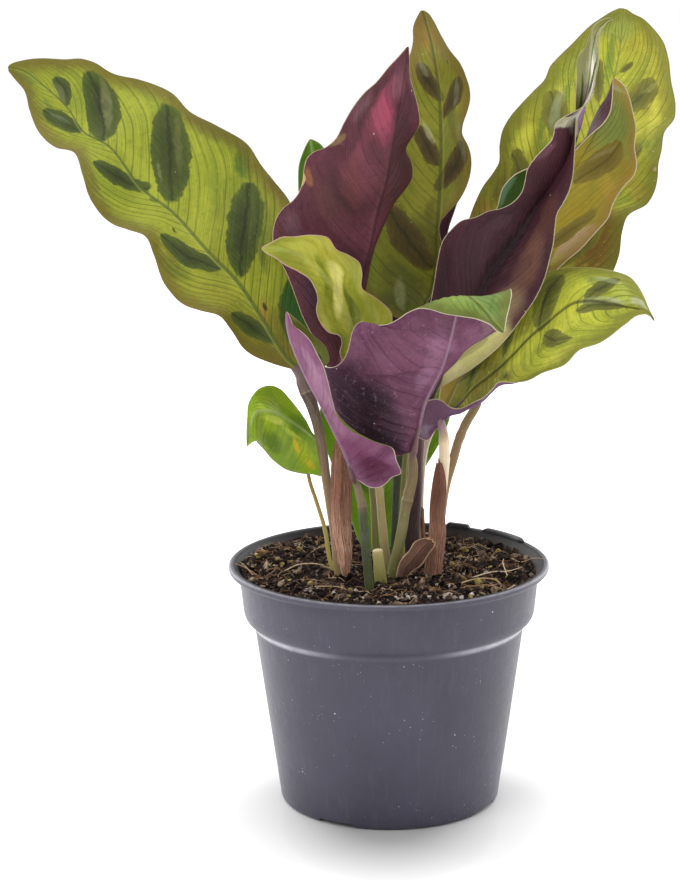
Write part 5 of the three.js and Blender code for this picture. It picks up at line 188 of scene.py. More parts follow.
"top":[[[-8.46,-0.61,1.92],[2.55,1.04,-0.745],"5a4a20",0.85,1,0],[[-68.06,-3.24,8.238],[-64.38,-1.59,6.835],"55481c",0.7,1,0],[[-13.45,-3.8,4.247],[4.61,6.76,0.419],"8a8636",0.6,1,0],[[-19.29,-0.77,6.51],[6.91,4.7,-4.228],"7a6f22",0.6,1,0],[[-32.31,-1.13,7.42],[22.69,4.73,-8.851],"32301a",0.8,0.9,0],[[-27.23,-6.97,8.231],[5.0,7.73,0.889],"3d3418",0.7,0.9,0],[[14.3,0.24,-12.067],[5.38,-2.22,-3.338],"9cae58",0.7,1,0],[[12.92,-1.72,-9.499],[-6.5,-5.68,-0.068],"b9b84e",0.6,1,0],[[-9.69,-2.8,6.116],[-8.71,5.81,7.172],"a8ac3e",0.6,1,0],[[-12.54,-0.75,5.417],[3.17,5.76,-2.785],"6a6420",0.75,1,0],[[-12.23,-3.77,6.037],[5.05,13.42,1.359],"6e7426",0.6,0.9,0],[[18.65,0.01,-13.543],[-14.12,-6.87,13.537],"6c7a48",0.7,0.9,0],[[-15.91,-0.61,5.202],[6.17,6.96,-3.819],"8a8028",0.6,0.9,0],[[-417.53,-7.62,45.792],[-594.75,-8.92,63.706],"4c3a16",0.8,1,0],[[-12.67,-1.45,6.667],[-15.33,5.47,4.779],"707024",0.6,0.9,0]],
"under":[[[-17.8,1.32,3.202],[-11.19,-3.19,-1.071],"6a4a5e",0.8,1,0],[[-11.2,-3.38,-1.671],[32.21,-3.86,-4.789],"8a7888",0.8,0.9,0],[[14.37,-0.02,-3.795],[-18.09,-9.98,-2.113],"8a6a88",0.7,0.9,0],[[-0.0,-3.6,-2.58],[432.0,90.0,-133.14],"9a809c",0.7,0.9,0]],
"after":[[[9.72,0.33,-7.523],[7.72,-10.17,-5.2],"a7b0a0",0.65,0.9,1],[[17.39,-0.22,-15.781],[8.93,-3.6,-6.49],"bcc8b8",0.6,0.9,1],[[18.84,0.37,-14.379],[2.15,-10.14,4.521],"9aa890",0.5,0.9,1],[[-11.16,-1.97,6.668],[-34.61,5.5,15.512],"87902e",0.5,0.9,1]],
"ovals":[[[7.87,1.24,-4.74],[12.05,-2.08,-5.724]],[[11.18,1.22,-8.692],[29.07,-3.49,-20.151]],[[10.6,1.8,-7.999],[5.57,-7.08,-4.602]],[[15.21,1.62,-9.002],[-20.17,-8.91,9.66]],[[0.0,2.94,-1.294],[20.0,-4.0,-2.24]],[[0.0,3.33,-1.333],[33.33,-6.67,-10.0]]],
"spots":[[0.197,0.925],[0.397,-0.372]]},
"front_purple_leaf":{
"top":[[[6.05,1.9,-4.006],[-13.49,2.43,9.949],"a2b466",0.8,1,0],[[7.27,1.37,-6.814],[4.05,-1.89,-2.931],"6b8742",0.7,1,0],[[-9.68,44.92,-35.332],[-21.87,30.03,-12.08],"93a070",0.6,1,0],[[-1.64,1.44,1.111],[78.63,11.86,-71.984],"4e7438",0.6,0.9,0]],
"under":[[[-11.3,2.01,7.453],[-15.54,-6.59,1.259],"7a5268",0.7,1,0],[[-0.88,3.79,2.371],[-25.08,-2.59,11.813],"6d4658",0.6,1,0],[[-5.39,2.88,3.198],[-24.2,-6.52,13.419],"6c4a5c",0.6,1,0],[[-6.95,1.27,3.272],[-23.7,-3.27,12.078],"966682",0.6,1,0],[[-13.05,-4.77,3.873],[4.28,-10.45,-2.782],"96708a",0.6,1,0],[[-0.28,4.28,2.636],[-29.93,-6.93,9.505],"845870",0.7,1,0],[[4.76,0.0,-0.952],[0.0,2.5,1.75],"1a0e16",1,0.75,0],[[8.33,0.0,-3.0],[0.0,4.55,4.091],"2a1a26",0.8,0.9,0],[[8.87,-1.14,-1.831],[8.0,4.61,0.791],"3a2230",0.8,1,0],[[11.22,-1.55,-4.476],[8.27,16.36,10.724],"3a2836",0.6,1,0],[[-6.5,-1.11,2.655],[-3.95,-7.15,1.274],"936a82",0.7,1,0],[[-10.9,-1.08,6.231],[-6.57,-3.04,5.257],"8a5e76",0.6,1,0],[[19.1,7.83,-17.051],[-2.18,1.15,0.522],"8c7578",0.5,1,0],[[8.6,-0.84,-2.567],[16.05,9.88,-2.281],"5a3548",0.6,1,0],[[-7.05,-3.84,2.69],[31.63,4.84,-16.896],"5c3d4c",0.5,1,0]],
"after":[],
"ovals":[[[-0.0,-2.63,-1.211],[16.67,3.33,-1.8]],[[-0.0,-2.63,-1.211],[16.67,3.33,-5.467]],[[0.0,2.94,-1.235],[20.0,-4.0,-3.32]],[[0.0,2.94,-1.235],[20.0,-4.0,-8.32]]],
"spots":[]},
"front_folded_leaf":{
"top":[],
"under":[[[7.65,-0.6,-6.425],[-8.0,-2.12,7.917],"93607c",0.7,1,0],[[-8.07,1.09,4.488],[-0.78,-0.94,1.15],"ab8098",0.8,1,0],[[-5.97,0.93,1.678],[1.82,-1.5,0.067],"9b6a86",0.7,1,0],[[-1.59,2.05,-1.021],[-7.44,0.11,0.982],"58203c",0.97,0.9,0],[[-2.59,5.41,-3.936],[-28.86,7.0,2.768],"5c2a44",0.8,1,0],[[-9.8,1.4,2.003],[0.5,-1.6,0.292],"84486a",0.7,1,0],[[-11.01,0.98,7.773],[-1.61,-4.58,3.529],"b890a8",0.5,1,0],[[15.35,2.76,-5.429],[-20.11,16.68,-11.154],"7d4a66",0.5,1,0]],
"after":[],
"ovals":[[[-0.0,-2.78,-1.25],[20.0,4.0,-4.2]],[[-0.0,-2.94,-1.324],[20.0,4.0,-10.2]],[[0.0,2.78,-1.25],[20.0,-4.0,-4.2]],[[0.0,2.94,-1.324],[20.0,-4.0,-10.2]]],
"spots":[]},
"small_pleated_leaf":{
"top":[[[7.82,-0.32,-6.011],[-1.28,3.1,-0.261],"b7b654",0.8,1,0],[[4.58,0.36,-2.173],[-11.0,4.07,4.589],"d2cc80",0.95,0.8,0],[[5.69,0.66,-3.234],[-17.86,5.4,10.123],"6a7616",0.9,0.8,0],[[5.13,0.18,-1.516],[-7.4,6.9,0.821],"48580c",0.95,0.8,0],[[10.07,0.89,-4.596],[-16.3,8.64,9.186],"626c12",0.8,0.9,0],[[9.8,0.01,-6.691],[1.44,7.29,-1.568],"a8a84a",0.7,0.9,0],[[15.76,-0.21,-13.789],[0.05,4.9,0.21],"728024",0.8,0.9,0],[[6.66,0.66,-2.646],[-19.99,8.3,10.89],"8d8c2a",0.6,1,0],[[11.94,-0.54,-2.627],[3.38,5.47,-4.084],"8f9440",0.7,1,0],[[13.97,-0.12,-12.66],[-2.32,3.41,2.26],"7d9430",0.6,1,0],[[19.03,-2.91,-8.525],[0.0,17.44,-18.313],"8a9236",0.6,1,0],[[25.15,3.3,-7.692],[-16.71,5.63,-1.78],"6e7c2a",0.6,1,0],[[7.77,1.1,-0.576],[-5.08,2.39,3.633],"516612",0.7,1,0]],
"under":[],
"after":[],
"ovals":[],
"spots":[]},
"young_left_leaf":{
"top":[[[6.25,1.6,-3.97],[-6.52,1.7,2.473],"74884c",0.8,1,0],[[-9.27,-1.3,4.393],[6.19,-3.34,0.66],"7f980e",0.8,1,0],[[-1.59,1.8,1.512],[-11.47,-1.08,7.83],"63764a",0.8,1,0],[[-8.69,-0.68,2.065],[-6.64,-2.44,2.401],"4d6c18",0.8,1,0],[[5.7,3.15,-1.81],[-4.09,2.85,4.108],"3c5c04",0.9,1,0],[[-10.06,-1.39,4.811],[5.57,-3.18,0.232],"86a404",0.8,1,0],[[-9.5,-1.28,2.083],[-5.31,-3.54,1.278],"44640e",0.8,1,0],[[-5.41,-4.13,-0.513],[6.55,-1.31,-2.74],"8b9a1c",0.7,1,0],[[-7.34,-3.32,1.851],[6.21,-12.98,-5.435],"a2b478",0.7,1,0],[[-19.19,-4.2,9.033],[27.53,-4.27,-2.469],"b5b040",0.7,0.9,0],[[-8.14,-6.52,-0.139],[32.01,2.18,-10.331],"c9a83c",0.7,0.9,0],[[-12.66,-6.73,-1.233],[13.29,-4.32,-7.655],"b99b34",0.6,1,0]],
"under":[],
"after":[[[6.23,2.53,-2.879],[-2.97,13.33,3.148],"c3ccb4",0.6,0.9,1],[[7.89,2.61,-5.26],[-27.26,1.57,16.075],"a4b08c",0.5,0.9,1]],
"ovals":[],
"spots":[]},
"low_back_leaf":{
"top":[[[5.95,-0.37,-2.376],[0.6,3.97,2.442],"6f9a28",0.8,1,0],[[4.54,-0.05,-1.433],[3.87,4.85,-0.811],"3d6a1c",0.7,1,0],[[11.7,-0.37,-1.256],[12.07,2.14,-0.622],"5f8a20",0.7,1,0],[[8.08,-0.52,-3.626],[13.22,4.45,-9.115],"5b6424",0.7,1,0],[[7.8,-0.2,-1.693],[15.78,4.82,-6.69],"77a832",0.6,1,0]],
"under":[],
"after":[],
"ovals":[[[-0.0,-3.33,-1.5],[25.0,5.0,-5.25]],[[0.0,3.33,-1.5],[25.0,-5.0,-9.0]]],
"spots":[]},
"hidden_left_leaf":{
"top":[[[10.85,0.12,-9.719],[-7.79,1.58,7.714],"5f9a22",0.8,1,0],[[7.07,0.31,-1.88],[0.0,4.17,4.375],"2f4f20",0.8,1,0]],
"under":[],
"after":[],
"ovals":[[[-0.0,-2.78,-1.389],[22.22,4.44,-0.667]],[[-0.0,-2.5,-1.15],[16.67,3.33,-3.967]],[[-0.0,-2.5,-1.175],[16.13,3.23,-7.032]],[[-0.0,-2.63,-1.158],[20.0,4.0,-12.64]],[[-0.0,-3.85,-1.462],[33.33,6.67,-26.133]],[[0.0,3.33,-1.4],[29.41,-5.88,-1.647]],[[0.0,3.33,-1.2],[25.0,-5.0,-6.95]],[[0.0,3.23,-1.097],[23.81,-4.76,-11.952]],[[0.0,3.57,-1.214],[29.41,-5.88,-20.941]]],
"spots":[]},
"hidden_centre_leaf":{
"top":[],
"under":[[[6.6,-0.08,-4.303],[6.99,2.83,-7.306],"4a2236",0.8,1,0]],
"after":[],
"ovals":[[[-0.0,-2.78,-1.389],[22.22,4.44,-0.667]],[[-0.0,-2.5,-1.15],[16.67,3.33,-3.967]],[[-0.0,-2.5,-1.175],[16.13,3.23,-7.032]],[[-0.0,-2.63,-1.158],[20.0,4.0,-12.64]],[[-0.0,-3.85,-1.462],[33.33,6.67,-26.133]],[[0.0,3.33,-1.4],[29.41,-5.88,-1.647]],[[0.0,3.33,-1.2],[25.0,-5.0,-6.95]],[[0.0,3.23,-1.097],[23.81,-4.76,-11.952]],[[0.0,3.57,-1.214],[29.41,-5.88,-20.941]]],
"spots":[]}}""")

# ---------------------------------------------------------------- numbers of the pot, in millimetres
POT_HEIGHT = 91.2
RIM_R = 60.0
NOTCH_AT = (-90 - 29, -90 + 61, -90 + 151, -90 + 241)
SEED = 20


# ---------------------------------------------------------------- small maths
GAIN = 0.74  # share of light that a colour sends back, next to how bright it looks under the studio light


def hexc(h, a=1.0):
    v = [int(h[i : i + 2], 16) / 255 for i in (0, 2, 4)]
    return tuple(GAIN * (x / 12.92 if x <= 0.04045 else ((x + 0.055) / 1.055) ** 2.4) for x in v) + (a,)


def smooth01(x):
    x = np.clip(x, 0, 1)
    return x * x * (3 - 2 * x)


def hash3(i, j, k, seed):
    n = (i * 374761393 + j * 668265263 + k * 2147483647 + seed * 1274126177).astype(np.int64)
    n = (n ^ (n >> 13)) * 1103515245
    n = n & 0x7FFFFFFF
    n = (n ^ (n >> 15)) * 12820163
    n = n & 0x7FFFFFFF
    return ((n ^ (n >> 11)) & 0xFFFFF) / 1048575.0


def vnoise(P, seed=0):
    """smooth value noise from 0 to 1 at the points P (..., 3)"""
    P = np.asarray(P, float)
    f = np.floor(P).astype(np.int64)
    u = P - f
    u = u * u * u * (u * (u * 6 - 15) + 10)
    out = 0.0
    for a in (0, 1):
        for b in (0, 1):
            for c in (0, 1):
                w = (u[..., 0] if a else 1 - u[..., 0]) * (u[..., 1] if b else 1 - u[..., 1]) * (u[..., 2] if c else 1 - u[..., 2])
                out = out + w * hash3(f[..., 0] + a, f[..., 1] + b, f[..., 2] + c, seed)
    return out


def fbm(P, octaves=4, seed=0):
    P = np.asarray(P, float)
    s, a, t = 0.0, 0.5, 0.0
    for o in range(octaves):
        s = s + a * vnoise(P * 2.0**o + 17.3 * o, seed + o)
        t += a
        a *= 0.5
    return s / t


def spl(P, t):
    """a smooth curve through the rail's points at the parameters t"""
    P = np.asarray(P, float)
    k = P[:, 3]
    P = P[:, :3]
    n = len(P)
    m = np.zeros_like(P)
    for i in range(n):
        if i == 0:
            m[i] = (P[1] - P[0]) / (k[1] - k[0])
        elif i == n - 1:
            m[i] = (P[-1] - P[-2]) / (k[-1] - k[-2])
        else:
            h0, h1 = k[i] - k[i - 1], k[i + 1] - k[i]
            m[i] = ((P[i] - P[i - 1]) / h0 * h1 + (P[i + 1] - P[i]) / h1 * h0) / (h0 + h1)
    t = np.atleast_1d(t)
    i = np.clip(np.searchsorted(k, t, side="right") - 1, 0, n - 2)
    h = (k[i + 1] - k[i])[:, None]
    u = (t - k[i])[:, None] / h
    return (2 * u**3 - 3 * u**2 + 1) * P[i] + (u**3 - 2 * u**2 + u) * h * m[i] + (-2 * u**3 + 3 * u**2) * P[i + 1] + (u**3 - u**2) * h * m[i + 1]


def surface(leaf, ts, us):
    """points of a blade or sheath at the parameters ts along it and -us..us across it"""
    ev = {s: spl(P, ts) for s, P in leaf["rails"]}
    M = ev[0]
    T = np.gradient(M, ts, axis=0)
    nu = len(us) - 1
    out = np.zeros((len(ts), 2 * nu + 1, 3))
    out[:, nu] = M
    for side, bow in ((-1, leaf["bow"][0]), (1, leaf["bow"][1])):
        ss = sorted((s for s in ev if s * side > 0), key=abs)
        for j in range(1, nu + 1):
            u = us[j]
            if len(ss) == 1:
                D = ev[ss[0]] - M
                N = np.cross(T, D) * side
                N /= np.maximum(np.linalg.norm(N, axis=1, keepdims=True), 1e-6)
                w = np.linalg.norm(D, axis=1, keepdims=True)
                P = M + D * u + N * (4 * u * (1 - u) * bow * (w / w.max()))
            else:
                ks = np.array([0] + [abs(s) for s in ss], float)
                Q = [M] + [ev[s] for s in ss]
                n = len(ks)
                i = min(max(int(np.searchsorted(ks, u, side="right")) - 1, 0), n - 2)
                m = []
                for a in range(n):
                    if a == 0:
                        m.append((Q[1] - Q[0]) / (ks[1] - ks[0]))
                    elif a == n - 1:
                        m.append((Q[-1] - Q[-2]) / (ks[-1] - ks[-2]))
                    else:
                        h0, h1 = ks[a] - ks[a - 1], ks[a + 1] - ks[a]
                        m.append(((Q[a] - Q[a - 1]) / h0 * h1 + (Q[a + 1] - Q[a]) / h1 * h0) / (h0 + h1))
                h = ks[i + 1] - ks[i]
                v = (u - ks[i]) / h
                P = (2 * v**3 - 3 * v**2 + 1) * Q[i] + (v**3 - 2 * v**2 + v) * h * m[i] + (-2 * v**3 + 3 * v**2) * Q[i + 1] + (v**3 - v**2) * h * m[i + 1]
            out[:, nu + side * j] = P
    return out


def normals_of(P):
    D = np.gradient(P, axis=1)
    T = np.gradient(P, axis=0)
    N = np.cross(D, T)
    return N / np.maximum(np.linalg.norm(N, axis=2, keepdims=True), 1e-9)


def blur(A, n=1):
    for _ in range(n):
        B = A.copy()
        B[1:-1] = (A[:-2] + 2 * A[1:-1] + A[2:]) / 4
        A = B.copy()
        A[:, 1:-1] = (B[:, :-2] + 2 * B[:, 1:-1] + B[:, 2:]) / 4
    return A


# ---------------------------------------------------------------- meshes
def make(name, verts, faces, uvs=None, mats=(), index=None, sharp=50):
    """verts in mm; uvs is {map name: (n verts, 2)}"""
    me = bpy.data.meshes.new(name)
    me.from_pydata((np.asarray(verts, float) * 0.001).tolist(), [], [list(map(int, f)) for f in faces])
    for m in mats:
        me.materials.append(m)
    if index is not None:
        me.polygons.foreach_set("material_index", np.asarray(index, np.int32))
    if uvs:
        li = np.zeros(len(me.loops), np.int32)
        me.loops.foreach_get("vertex_index", li)
        for k, v in uvs.items():
            layer = me.uv_layers.new(name=k)
            layer.data.foreach_set("uv", np.ascontiguousarray(np.asarray(v, np.float32)[li]).ravel())
    me.polygons.foreach_set("use_smooth", np.ones(len(me.polygons), bool))
    me.validate()
    me.update()
    if sharp:
        me.set_sharp_from_angle(angle=math.radians(sharp))
    ob = bpy.data.objects.new(name, me)
    bpy.context.scene.collection.objects.link(ob)
    return ob


def shell(top, und, sg):
    """a closed shell between two grids of the same size; top faces along D x T when sg > 0"""
    n, m = top.shape[:2]
    V = np.concatenate([top.reshape(-1, 3), und.reshape(-1, 3)])
    idx = np.arange(n * m).reshape(n, m)
    q = np.stack([idx[:-1, :-1], idx[:-1, 1:], idx[1:, 1:], idx[1:, :-1]], -1).reshape(-1, 4)
    u = q[:, ::-1] + n * m
    ring = np.concatenate([idx[0, :], idx[1:, -1], idx[-1, -2::-1], idx[-2:0:-1, 0]])
    nxt = np.roll(ring, -1)
    w = np.stack([nxt, ring, ring + n * m, nxt + n * m], -1)
    if sg < 0:
        q, u, w = q[:, ::-1], u[:, ::-1], w[:, ::-1]
    faces = np.concatenate([q, u, w])
    mat = np.concatenate([np.zeros(len(q)), np.ones(len(u)), np.zeros(len(w))])
    return V, faces, mat


def tube(path, radii, sides, caps=True, twist=0.0, lobes=None):
    """a swept tube: vertices, faces and (angle share, length) for each vertex"""
    path = np.asarray(path, float)
    T = np.gradient(path, axis=0)
    T /= np.maximum(np.linalg.norm(T, axis=1, keepdims=True), 1e-9)
    up = np.array([0.0, -1.0, 0.05])
    X = np.zeros_like(path)
    x = np.cross(up, T[0])
    if np.linalg.norm(x) < 1e-6:
        x = np.cross([1.0, 0.0, 0.0], T[0])
    for i in range(len(path)):
        x = x - T[i] * (x @ T[i])
        x = x / np.linalg.norm(x)
        X[i] = x
    Y = np.cross(T, X)
    a = np.arange(sides) / sides * 2 * math.pi
    c, s = np.cos(a), np.sin(a)
    k = np.ones((len(path), sides)) if lobes is None else lobes
    V = path[:, None] + (radii[:, None] * k)[..., None] * (X[:, None] * c[None, :, None] + Y[:, None] * s[None, :, None])
    L = np.r_[0, np.cumsum(np.linalg.norm(np.diff(path, axis=0), axis=1))]
    n = len(path)
    idx = np.arange(n * sides).reshape(n, sides)
    j = (np.arange(sides) + 1) % sides
    q = np.stack([idx[:-1], idx[:-1][:, j], idx[1:][:, j], idx[1:]], -1).reshape(-1, 4)
    uv = np.stack([np.broadcast_to(np.abs(np.arange(sides) / sides * 2 - 1), (n, sides)), np.broadcast_to(L[:, None], (n, sides))], -1).reshape(-1, 2)
    V = V.reshape(-1, 3)
    faces = [list(f) for f in q]
    if caps:
        V = np.concatenate([V, path[:1] - T[:1] * radii[0] * 0.25, path[-1:] + T[-1:] * radii[-1] * 0.25])
        uv = np.concatenate([uv, [[0.5, 0.0]], [[0.5, L[-1]]]])
        b, e = n * sides, n * sides + 1
        for i in range(sides):
            faces.append([b, idx[0][(i + 1) % sides], idx[0][i]])
            faces.append([e, idx[-1][i], idx[-1][(i + 1) % sides]])
    return V, faces, uv


def join(parts):
    """[(V, faces, uv)] into one"""
    Vs, Fs, Us, o = [], [], [], 0
    for V, F, U in parts:
        Vs.append(V)
        Us.append(U)
        Fs += [[i + o for i in f] for f in F]
        o += len(V)
    return np.concatenate(Vs), Fs, np.concatenate(Us)


# ---------------------------------------------------------------- shader nodes
class Mat:
    def __init__(self, name, rough=0.5, spec=0.5, **sockets):
        self.m = bpy.data.materials.new(name)
        self.m.use_nodes = True
        self.t = self.m.node_tree
        self.t.nodes.clear()
        self.out = self.t.nodes.new("ShaderNodeOutputMaterial")
        self.b = self.t.nodes.new("ShaderNodeBsdfPrincipled")
        self.t.links.new(self.b.outputs[0], self.out.inputs["Surface"])
        self.b.inputs["Roughness"].default_value = rough
        self.b.inputs["Specular IOR Level"].default_value = spec
        for k, v in sockets.items():
            self.b.inputs[k.replace("_", " ")].default_value = v

    def node(self, kind, **props):
        n = self.t.nodes.new("ShaderNode" + kind)
        for k, v in props.items():
            setattr(n, k, v)
        return n

    def put(self, sock, v):
        if isinstance(v, bpy.types.NodeSocket):
            self.t.links.new(v, sock)
        elif v is not None:
            sock.default_value = v

    def math(self, op, a, b=None, c=None, clamp=False):
        n = self.node("Math", operation=op, use_clamp=clamp)
        for s, v in zip(n.inputs, (a, b, c)):
            self.put(s, v)
        return n.outputs[0]

    def vmath(self, op, a, b=None, out=0):
        n = self.node("VectorMath", operation=op)
        self.put(n.inputs[0], a)
        if b is not None:
            self.put(n.inputs[1], b)
        return n.outputs[out]

    def dot(self, a, b):
        return self.vmath("DOT_PRODUCT", a, b, 1)

    def mul(self, a, b):
        return self.math("MULTIPLY", a, b)

    def add(self, a, b):
        return self.math("ADD", a, b)

    def sub(self, a, b):
        return self.math("SUBTRACT", a, b)

    def mad(self, a, b, c):
        return self.math("MULTIPLY_ADD", a, b, c)

    def sstep(self, x, lo, hi, a=0.0, b=1.0):
        n = self.node("MapRange", interpolation_type="SMOOTHSTEP")
        for s, v in zip(n.inputs, (x, lo, hi, a, b)):
            self.put(s, v)
        return n.outputs[0]

    def lstep(self, x, lo, hi, a=0.0, b=1.0):
        n = self.node("MapRange", interpolation_type="LINEAR", clamp=True)
        for s, v in zip(n.inputs, (x, lo, hi, a, b)):
            self.put(s, v)
        return n.outputs[0]

    def mix(self, f, a, b, blend="MIX"):
        n = self.node("Mix", data_type="RGBA", blend_type=blend, clamp_factor=True)
        self.put(n.inputs[0], f)
        self.put(n.inputs[6], a)
        self.put(n.inputs[7], b)
        return n.outputs[2]

    def ramp(self, f, stops, interp="LINEAR"):
        n = self.node("ValToRGB")
        r = n.color_ramp
        r.interpolation = interp
        while len(r.elements) < len(stops):
            r.elements.new(0.5)
        for e, (p, c) in zip(r.elements, stops):
            e.position = p
        for e, (p, c) in zip(r.elements, stops):
            e.color = hexc(c) if isinstance(c, str) else c
        self.put(n.inputs[0], f)
        return n.outputs[0]

    def uv(self, name):
        return self.node("UVMap", uv_map=name).outputs[0]

    def obj(self, scale=1000.0):
        n = self.node("TexCoord")
        return self.vmath("MULTIPLY", n.outputs["Object"], (scale, scale, scale))

    def sep(self, v):
        return self.node_out("SeparateXYZ", v)

    def node_out(self, kind, v):
        n = self.node(kind)
        self.put(n.inputs[0], v)
        return n.outputs

    def comb(self, x, y, z=0.0):
        n = self.node("CombineXYZ")
        for s, v in zip(n.inputs, (x, y, z)):
            self.put(s, v)
        return n.outputs[0]

    def noise(self, vec, scale=1.0, detail=2.0, rough=0.5, dist=0.0, color=False):
        n = self.node("TexNoise")
        self.put(n.inputs["Vector"], vec)
        for k, v in (("Scale", scale), ("Detail", detail), ("Roughness", rough), ("Distortion", dist)):
            n.inputs[k].default_value = v
        return n.outputs[1 if color else 0]

    def voronoi(self, vec, scale=1.0, feature="F1", rnd=1.0, out=0):
        n = self.node("TexVoronoi", feature=feature)
        self.put(n.inputs["Vector"], vec)
        n.inputs["Scale"].default_value = scale
        n.inputs["Randomness"].default_value = rnd
        return n.outputs[out]

    def bump(self, h, dist=0.001, strength=1.0, normal=None):
        n = self.node("Bump")
        n.inputs["Strength"].default_value = strength
        n.inputs["Distance"].default_value = dist
        self.put(n.inputs["Height"], h)
        if normal is not None:
            self.put(n.inputs["Normal"], normal)
        return n.outputs[0]

    def done(self, color=None, rough=None, normal=None):
        if color is not None:
            self.put(self.b.inputs["Base Color"], color)
        if rough is not None:
            self.put(self.b.inputs["Roughness"], rough)
        if normal is not None:
            self.put(self.b.inputs["Normal"], normal)
        return self.m


# ---------------------------------------------------------------- leaf materials
def ellipse(k, V, rows):
    a, b = k.dot(V, tuple(rows[0])), k.dot(V, tuple(rows[1]))
    return a, b, k.mad(a, a, k.mul(b, b))


def leaf_mat(name, tints, ovals, look, after=(), spots=()):
    """one face of a blade. Its maps: P is (place along, place across), D is (vein coordinate, distance from the midrib)
    and E is (distance from the margin, distance along the midrib), the last two in mm"""
    k = Mat(name, spec=look.get("spec", 0.20), Sheen_Weight=look.get("sheen", 0.0), Sheen_Roughness=0.45, Coat_Weight=look.get("coat", 0.0), Coat_Roughness=0.35)
    P, D, E = k.uv("P"), k.uv("D"), k.uv("E")
    ob = k.obj()
    sd = k.node_out("SeparateXYZ", D)
    q, r = sd[0], k.math("ABSOLUTE", sd[1])
    se = k.node_out("SeparateXYZ", E)
    edge, along = se[0], se[1]
    # soft distortion of the pattern's outlines
    w1 = k.noise(ob, 0.16, 3, 0.6, color=True)
    w2 = k.noise(ob, 0.7, 2, 0.6, color=True)
    wv = k.vmath("ADD", k.vmath("MULTIPLY", k.vmath("SUBTRACT", w1, (0.5, 0.5, 0.5)), (0.025, 0.11, 0)), k.vmath("MULTIPLY", k.vmath("SUBTRACT", w2, (0.5, 0.5, 0.5)), (0.006, 0.022, 0)))
    V = k.vmath("ADD", k.vmath("MULTIPLY", k.vmath("ADD", P, wv), (1, 1, 0)), (0, 0, 1))
    # fine lines: across the veins and along them
    cross = k.noise(k.comb(k.mul(q, 0.16), k.mul(r, 1.35), 3.0), 1.0, 3, 0.65)
    fine = k.noise(k.comb(k.mul(q, 1.5), k.mul(r, 0.05), 7.0), 1.0, 3, 0.6)
    broad = k.noise(ob, 0.055, 4, 0.6)
    mid = k.noise(ob, 0.3, 3, 0.6)
    grain = k.noise(ob, 3.2, 2, 0.7)
    col = k.mix(k.lstep(broad, 0.32, 0.68), hexc(look["dark"]), hexc(look["light"]))
    col = k.mix(k.mul(k.lstep(mid, 0.4, 0.75), 0.35), col, hexc(look["mottle"]))
    feather = k.noise(k.comb(k.mul(q, 0.105), k.mul(r, 0.016), 12.3), 1.0, 2, 0.55)
    fm = k.mul(k.lstep(feather, 0.46, 0.66), k.lstep(r, 2.0, 12.0, 0.35, 1.0))
    col = k.mix(k.mul(fm, look.get("feather", 0.5)), col, hexc(look.get("feather_c", look["vein"])))
    warm = k.noise(ob, 0.021, 2, 0.5)
    col = k.mix(k.lstep(warm, 0.45, 0.68, 0.0, look.get("warm", 0.3)), col, hexc(look.get("warm_c", look["band_c"])))
    if "base" in look:
        col = k.mix(k.mul(k.lstep(along, look["base"][1], 0.0), look["base"][2]), col, hexc(look["base"][0]))
    # given tints: the blade's own colour, with some dark ones as painted shade in hollows and folds
    for rows0, rows1, c, st, so, stri in tints:
        a, b, d = ellipse(k, V, (rows0, rows1))
        m = k.sstep(d, 1.0 + 0.25 * so, 1.0 - 0.97 * so, 0.0, st)
        col = k.mix(m, col, hexc(c))
    # main lateral veins, each a thin dark line, with a few left out
    wob = k.mad(k.noise(k.comb(k.mul(q, 0.05), k.mul(r, 0.09), 1.7), 1.0, 2, 0.5), 0.55, k.mul(q, 1.0 / look.get("pitch", 4.7)))
    tri = k.mul(k.math("ABSOLUTE", k.sub(k.math("FRACT", wob), 0.5)), 2.0)
    w = look.get("vein_w", 0.10)
    vm = k.mad(k.sstep(tri, 1 - w * 1.5, 1 - w * 0.3), 0.55, k.mul(k.sstep(tri, 1 - w * 4.5, 1.0), 0.45))
    vgone = k.sstep(k.noise(k.comb(k.mul(q, 0.11), k.mul(r, 0.012), 9.1), 1.0, 1, 0.5), 0.36, 0.52)
    vm = k.mul(vm, k.mad(vgone, 0.75, 0.25))
    vm = k.mul(vm, k.lstep(edge, 0.6, 3.5))
    # fine lengthwise grain between them
    if "stripes" in look:
        # long soft stripes that run with the midrib
        sp1 = k.noise(k.comb(k.mul(sd[1], 0.17), k.mul(along, 0.026), 4.4), 1.0, 2, 0.5)
        sp2 = k.noise(k.comb(k.mul(sd[1], 0.60), k.mul(along, 0.036), 6.1), 1.0, 2, 0.5)
        sa, sb, sw = look["stripes"]
        col = k.mix(k.mul(k.lstep(sp1, 0.50, 0.62), sw), col, hexc(sa))
        col = k.mix(k.mul(k.lstep(sp1, 0.48, 0.38), sw), col, hexc(sb))
        col = k.mix(k.mul(k.lstep(sp2, 0.50, 0.66), sw * 0.35), col, hexc(sa))
    col = k.mix(k.mul(k.lstep(fine, 0.50, 0.74), look.get("fine", 0.30)), col, hexc(look["vein"]))
    col = k.mix(k.mul(k.lstep(fine, 0.46, 0.28), look.get("fine", 0.30) * 0.8), col, hexc(look["fleck"]))
    fine2 = k.noise(k.comb(k.mul(q, 3.4), k.mul(r, 0.09), 5.0), 1.0, 2, 0.6)
    col = k.mix(k.mul(k.lstep(fine2, 0.48, 0.66), look.get("fine", 0.30) * 0.6), col, hexc(look["vein"]))
    blot = k.noise(ob, 0.55, 4, 0.7)
    col = k.mix(k.mul(k.lstep(blot, 0.54, 0.70), look.get("blot", 0.22)), col, hexc(look["vein"]))
    col = k.mix(k.mul(k.lstep(blot, 0.42, 0.30), look.get("blot", 0.22)), col, hexc(look["fleck"]))
    col = k.mix(k.mul(k.lstep(grain, 0.45, 0.8), look.get("grain", 0.10)), col, hexc(look["fleck"]))
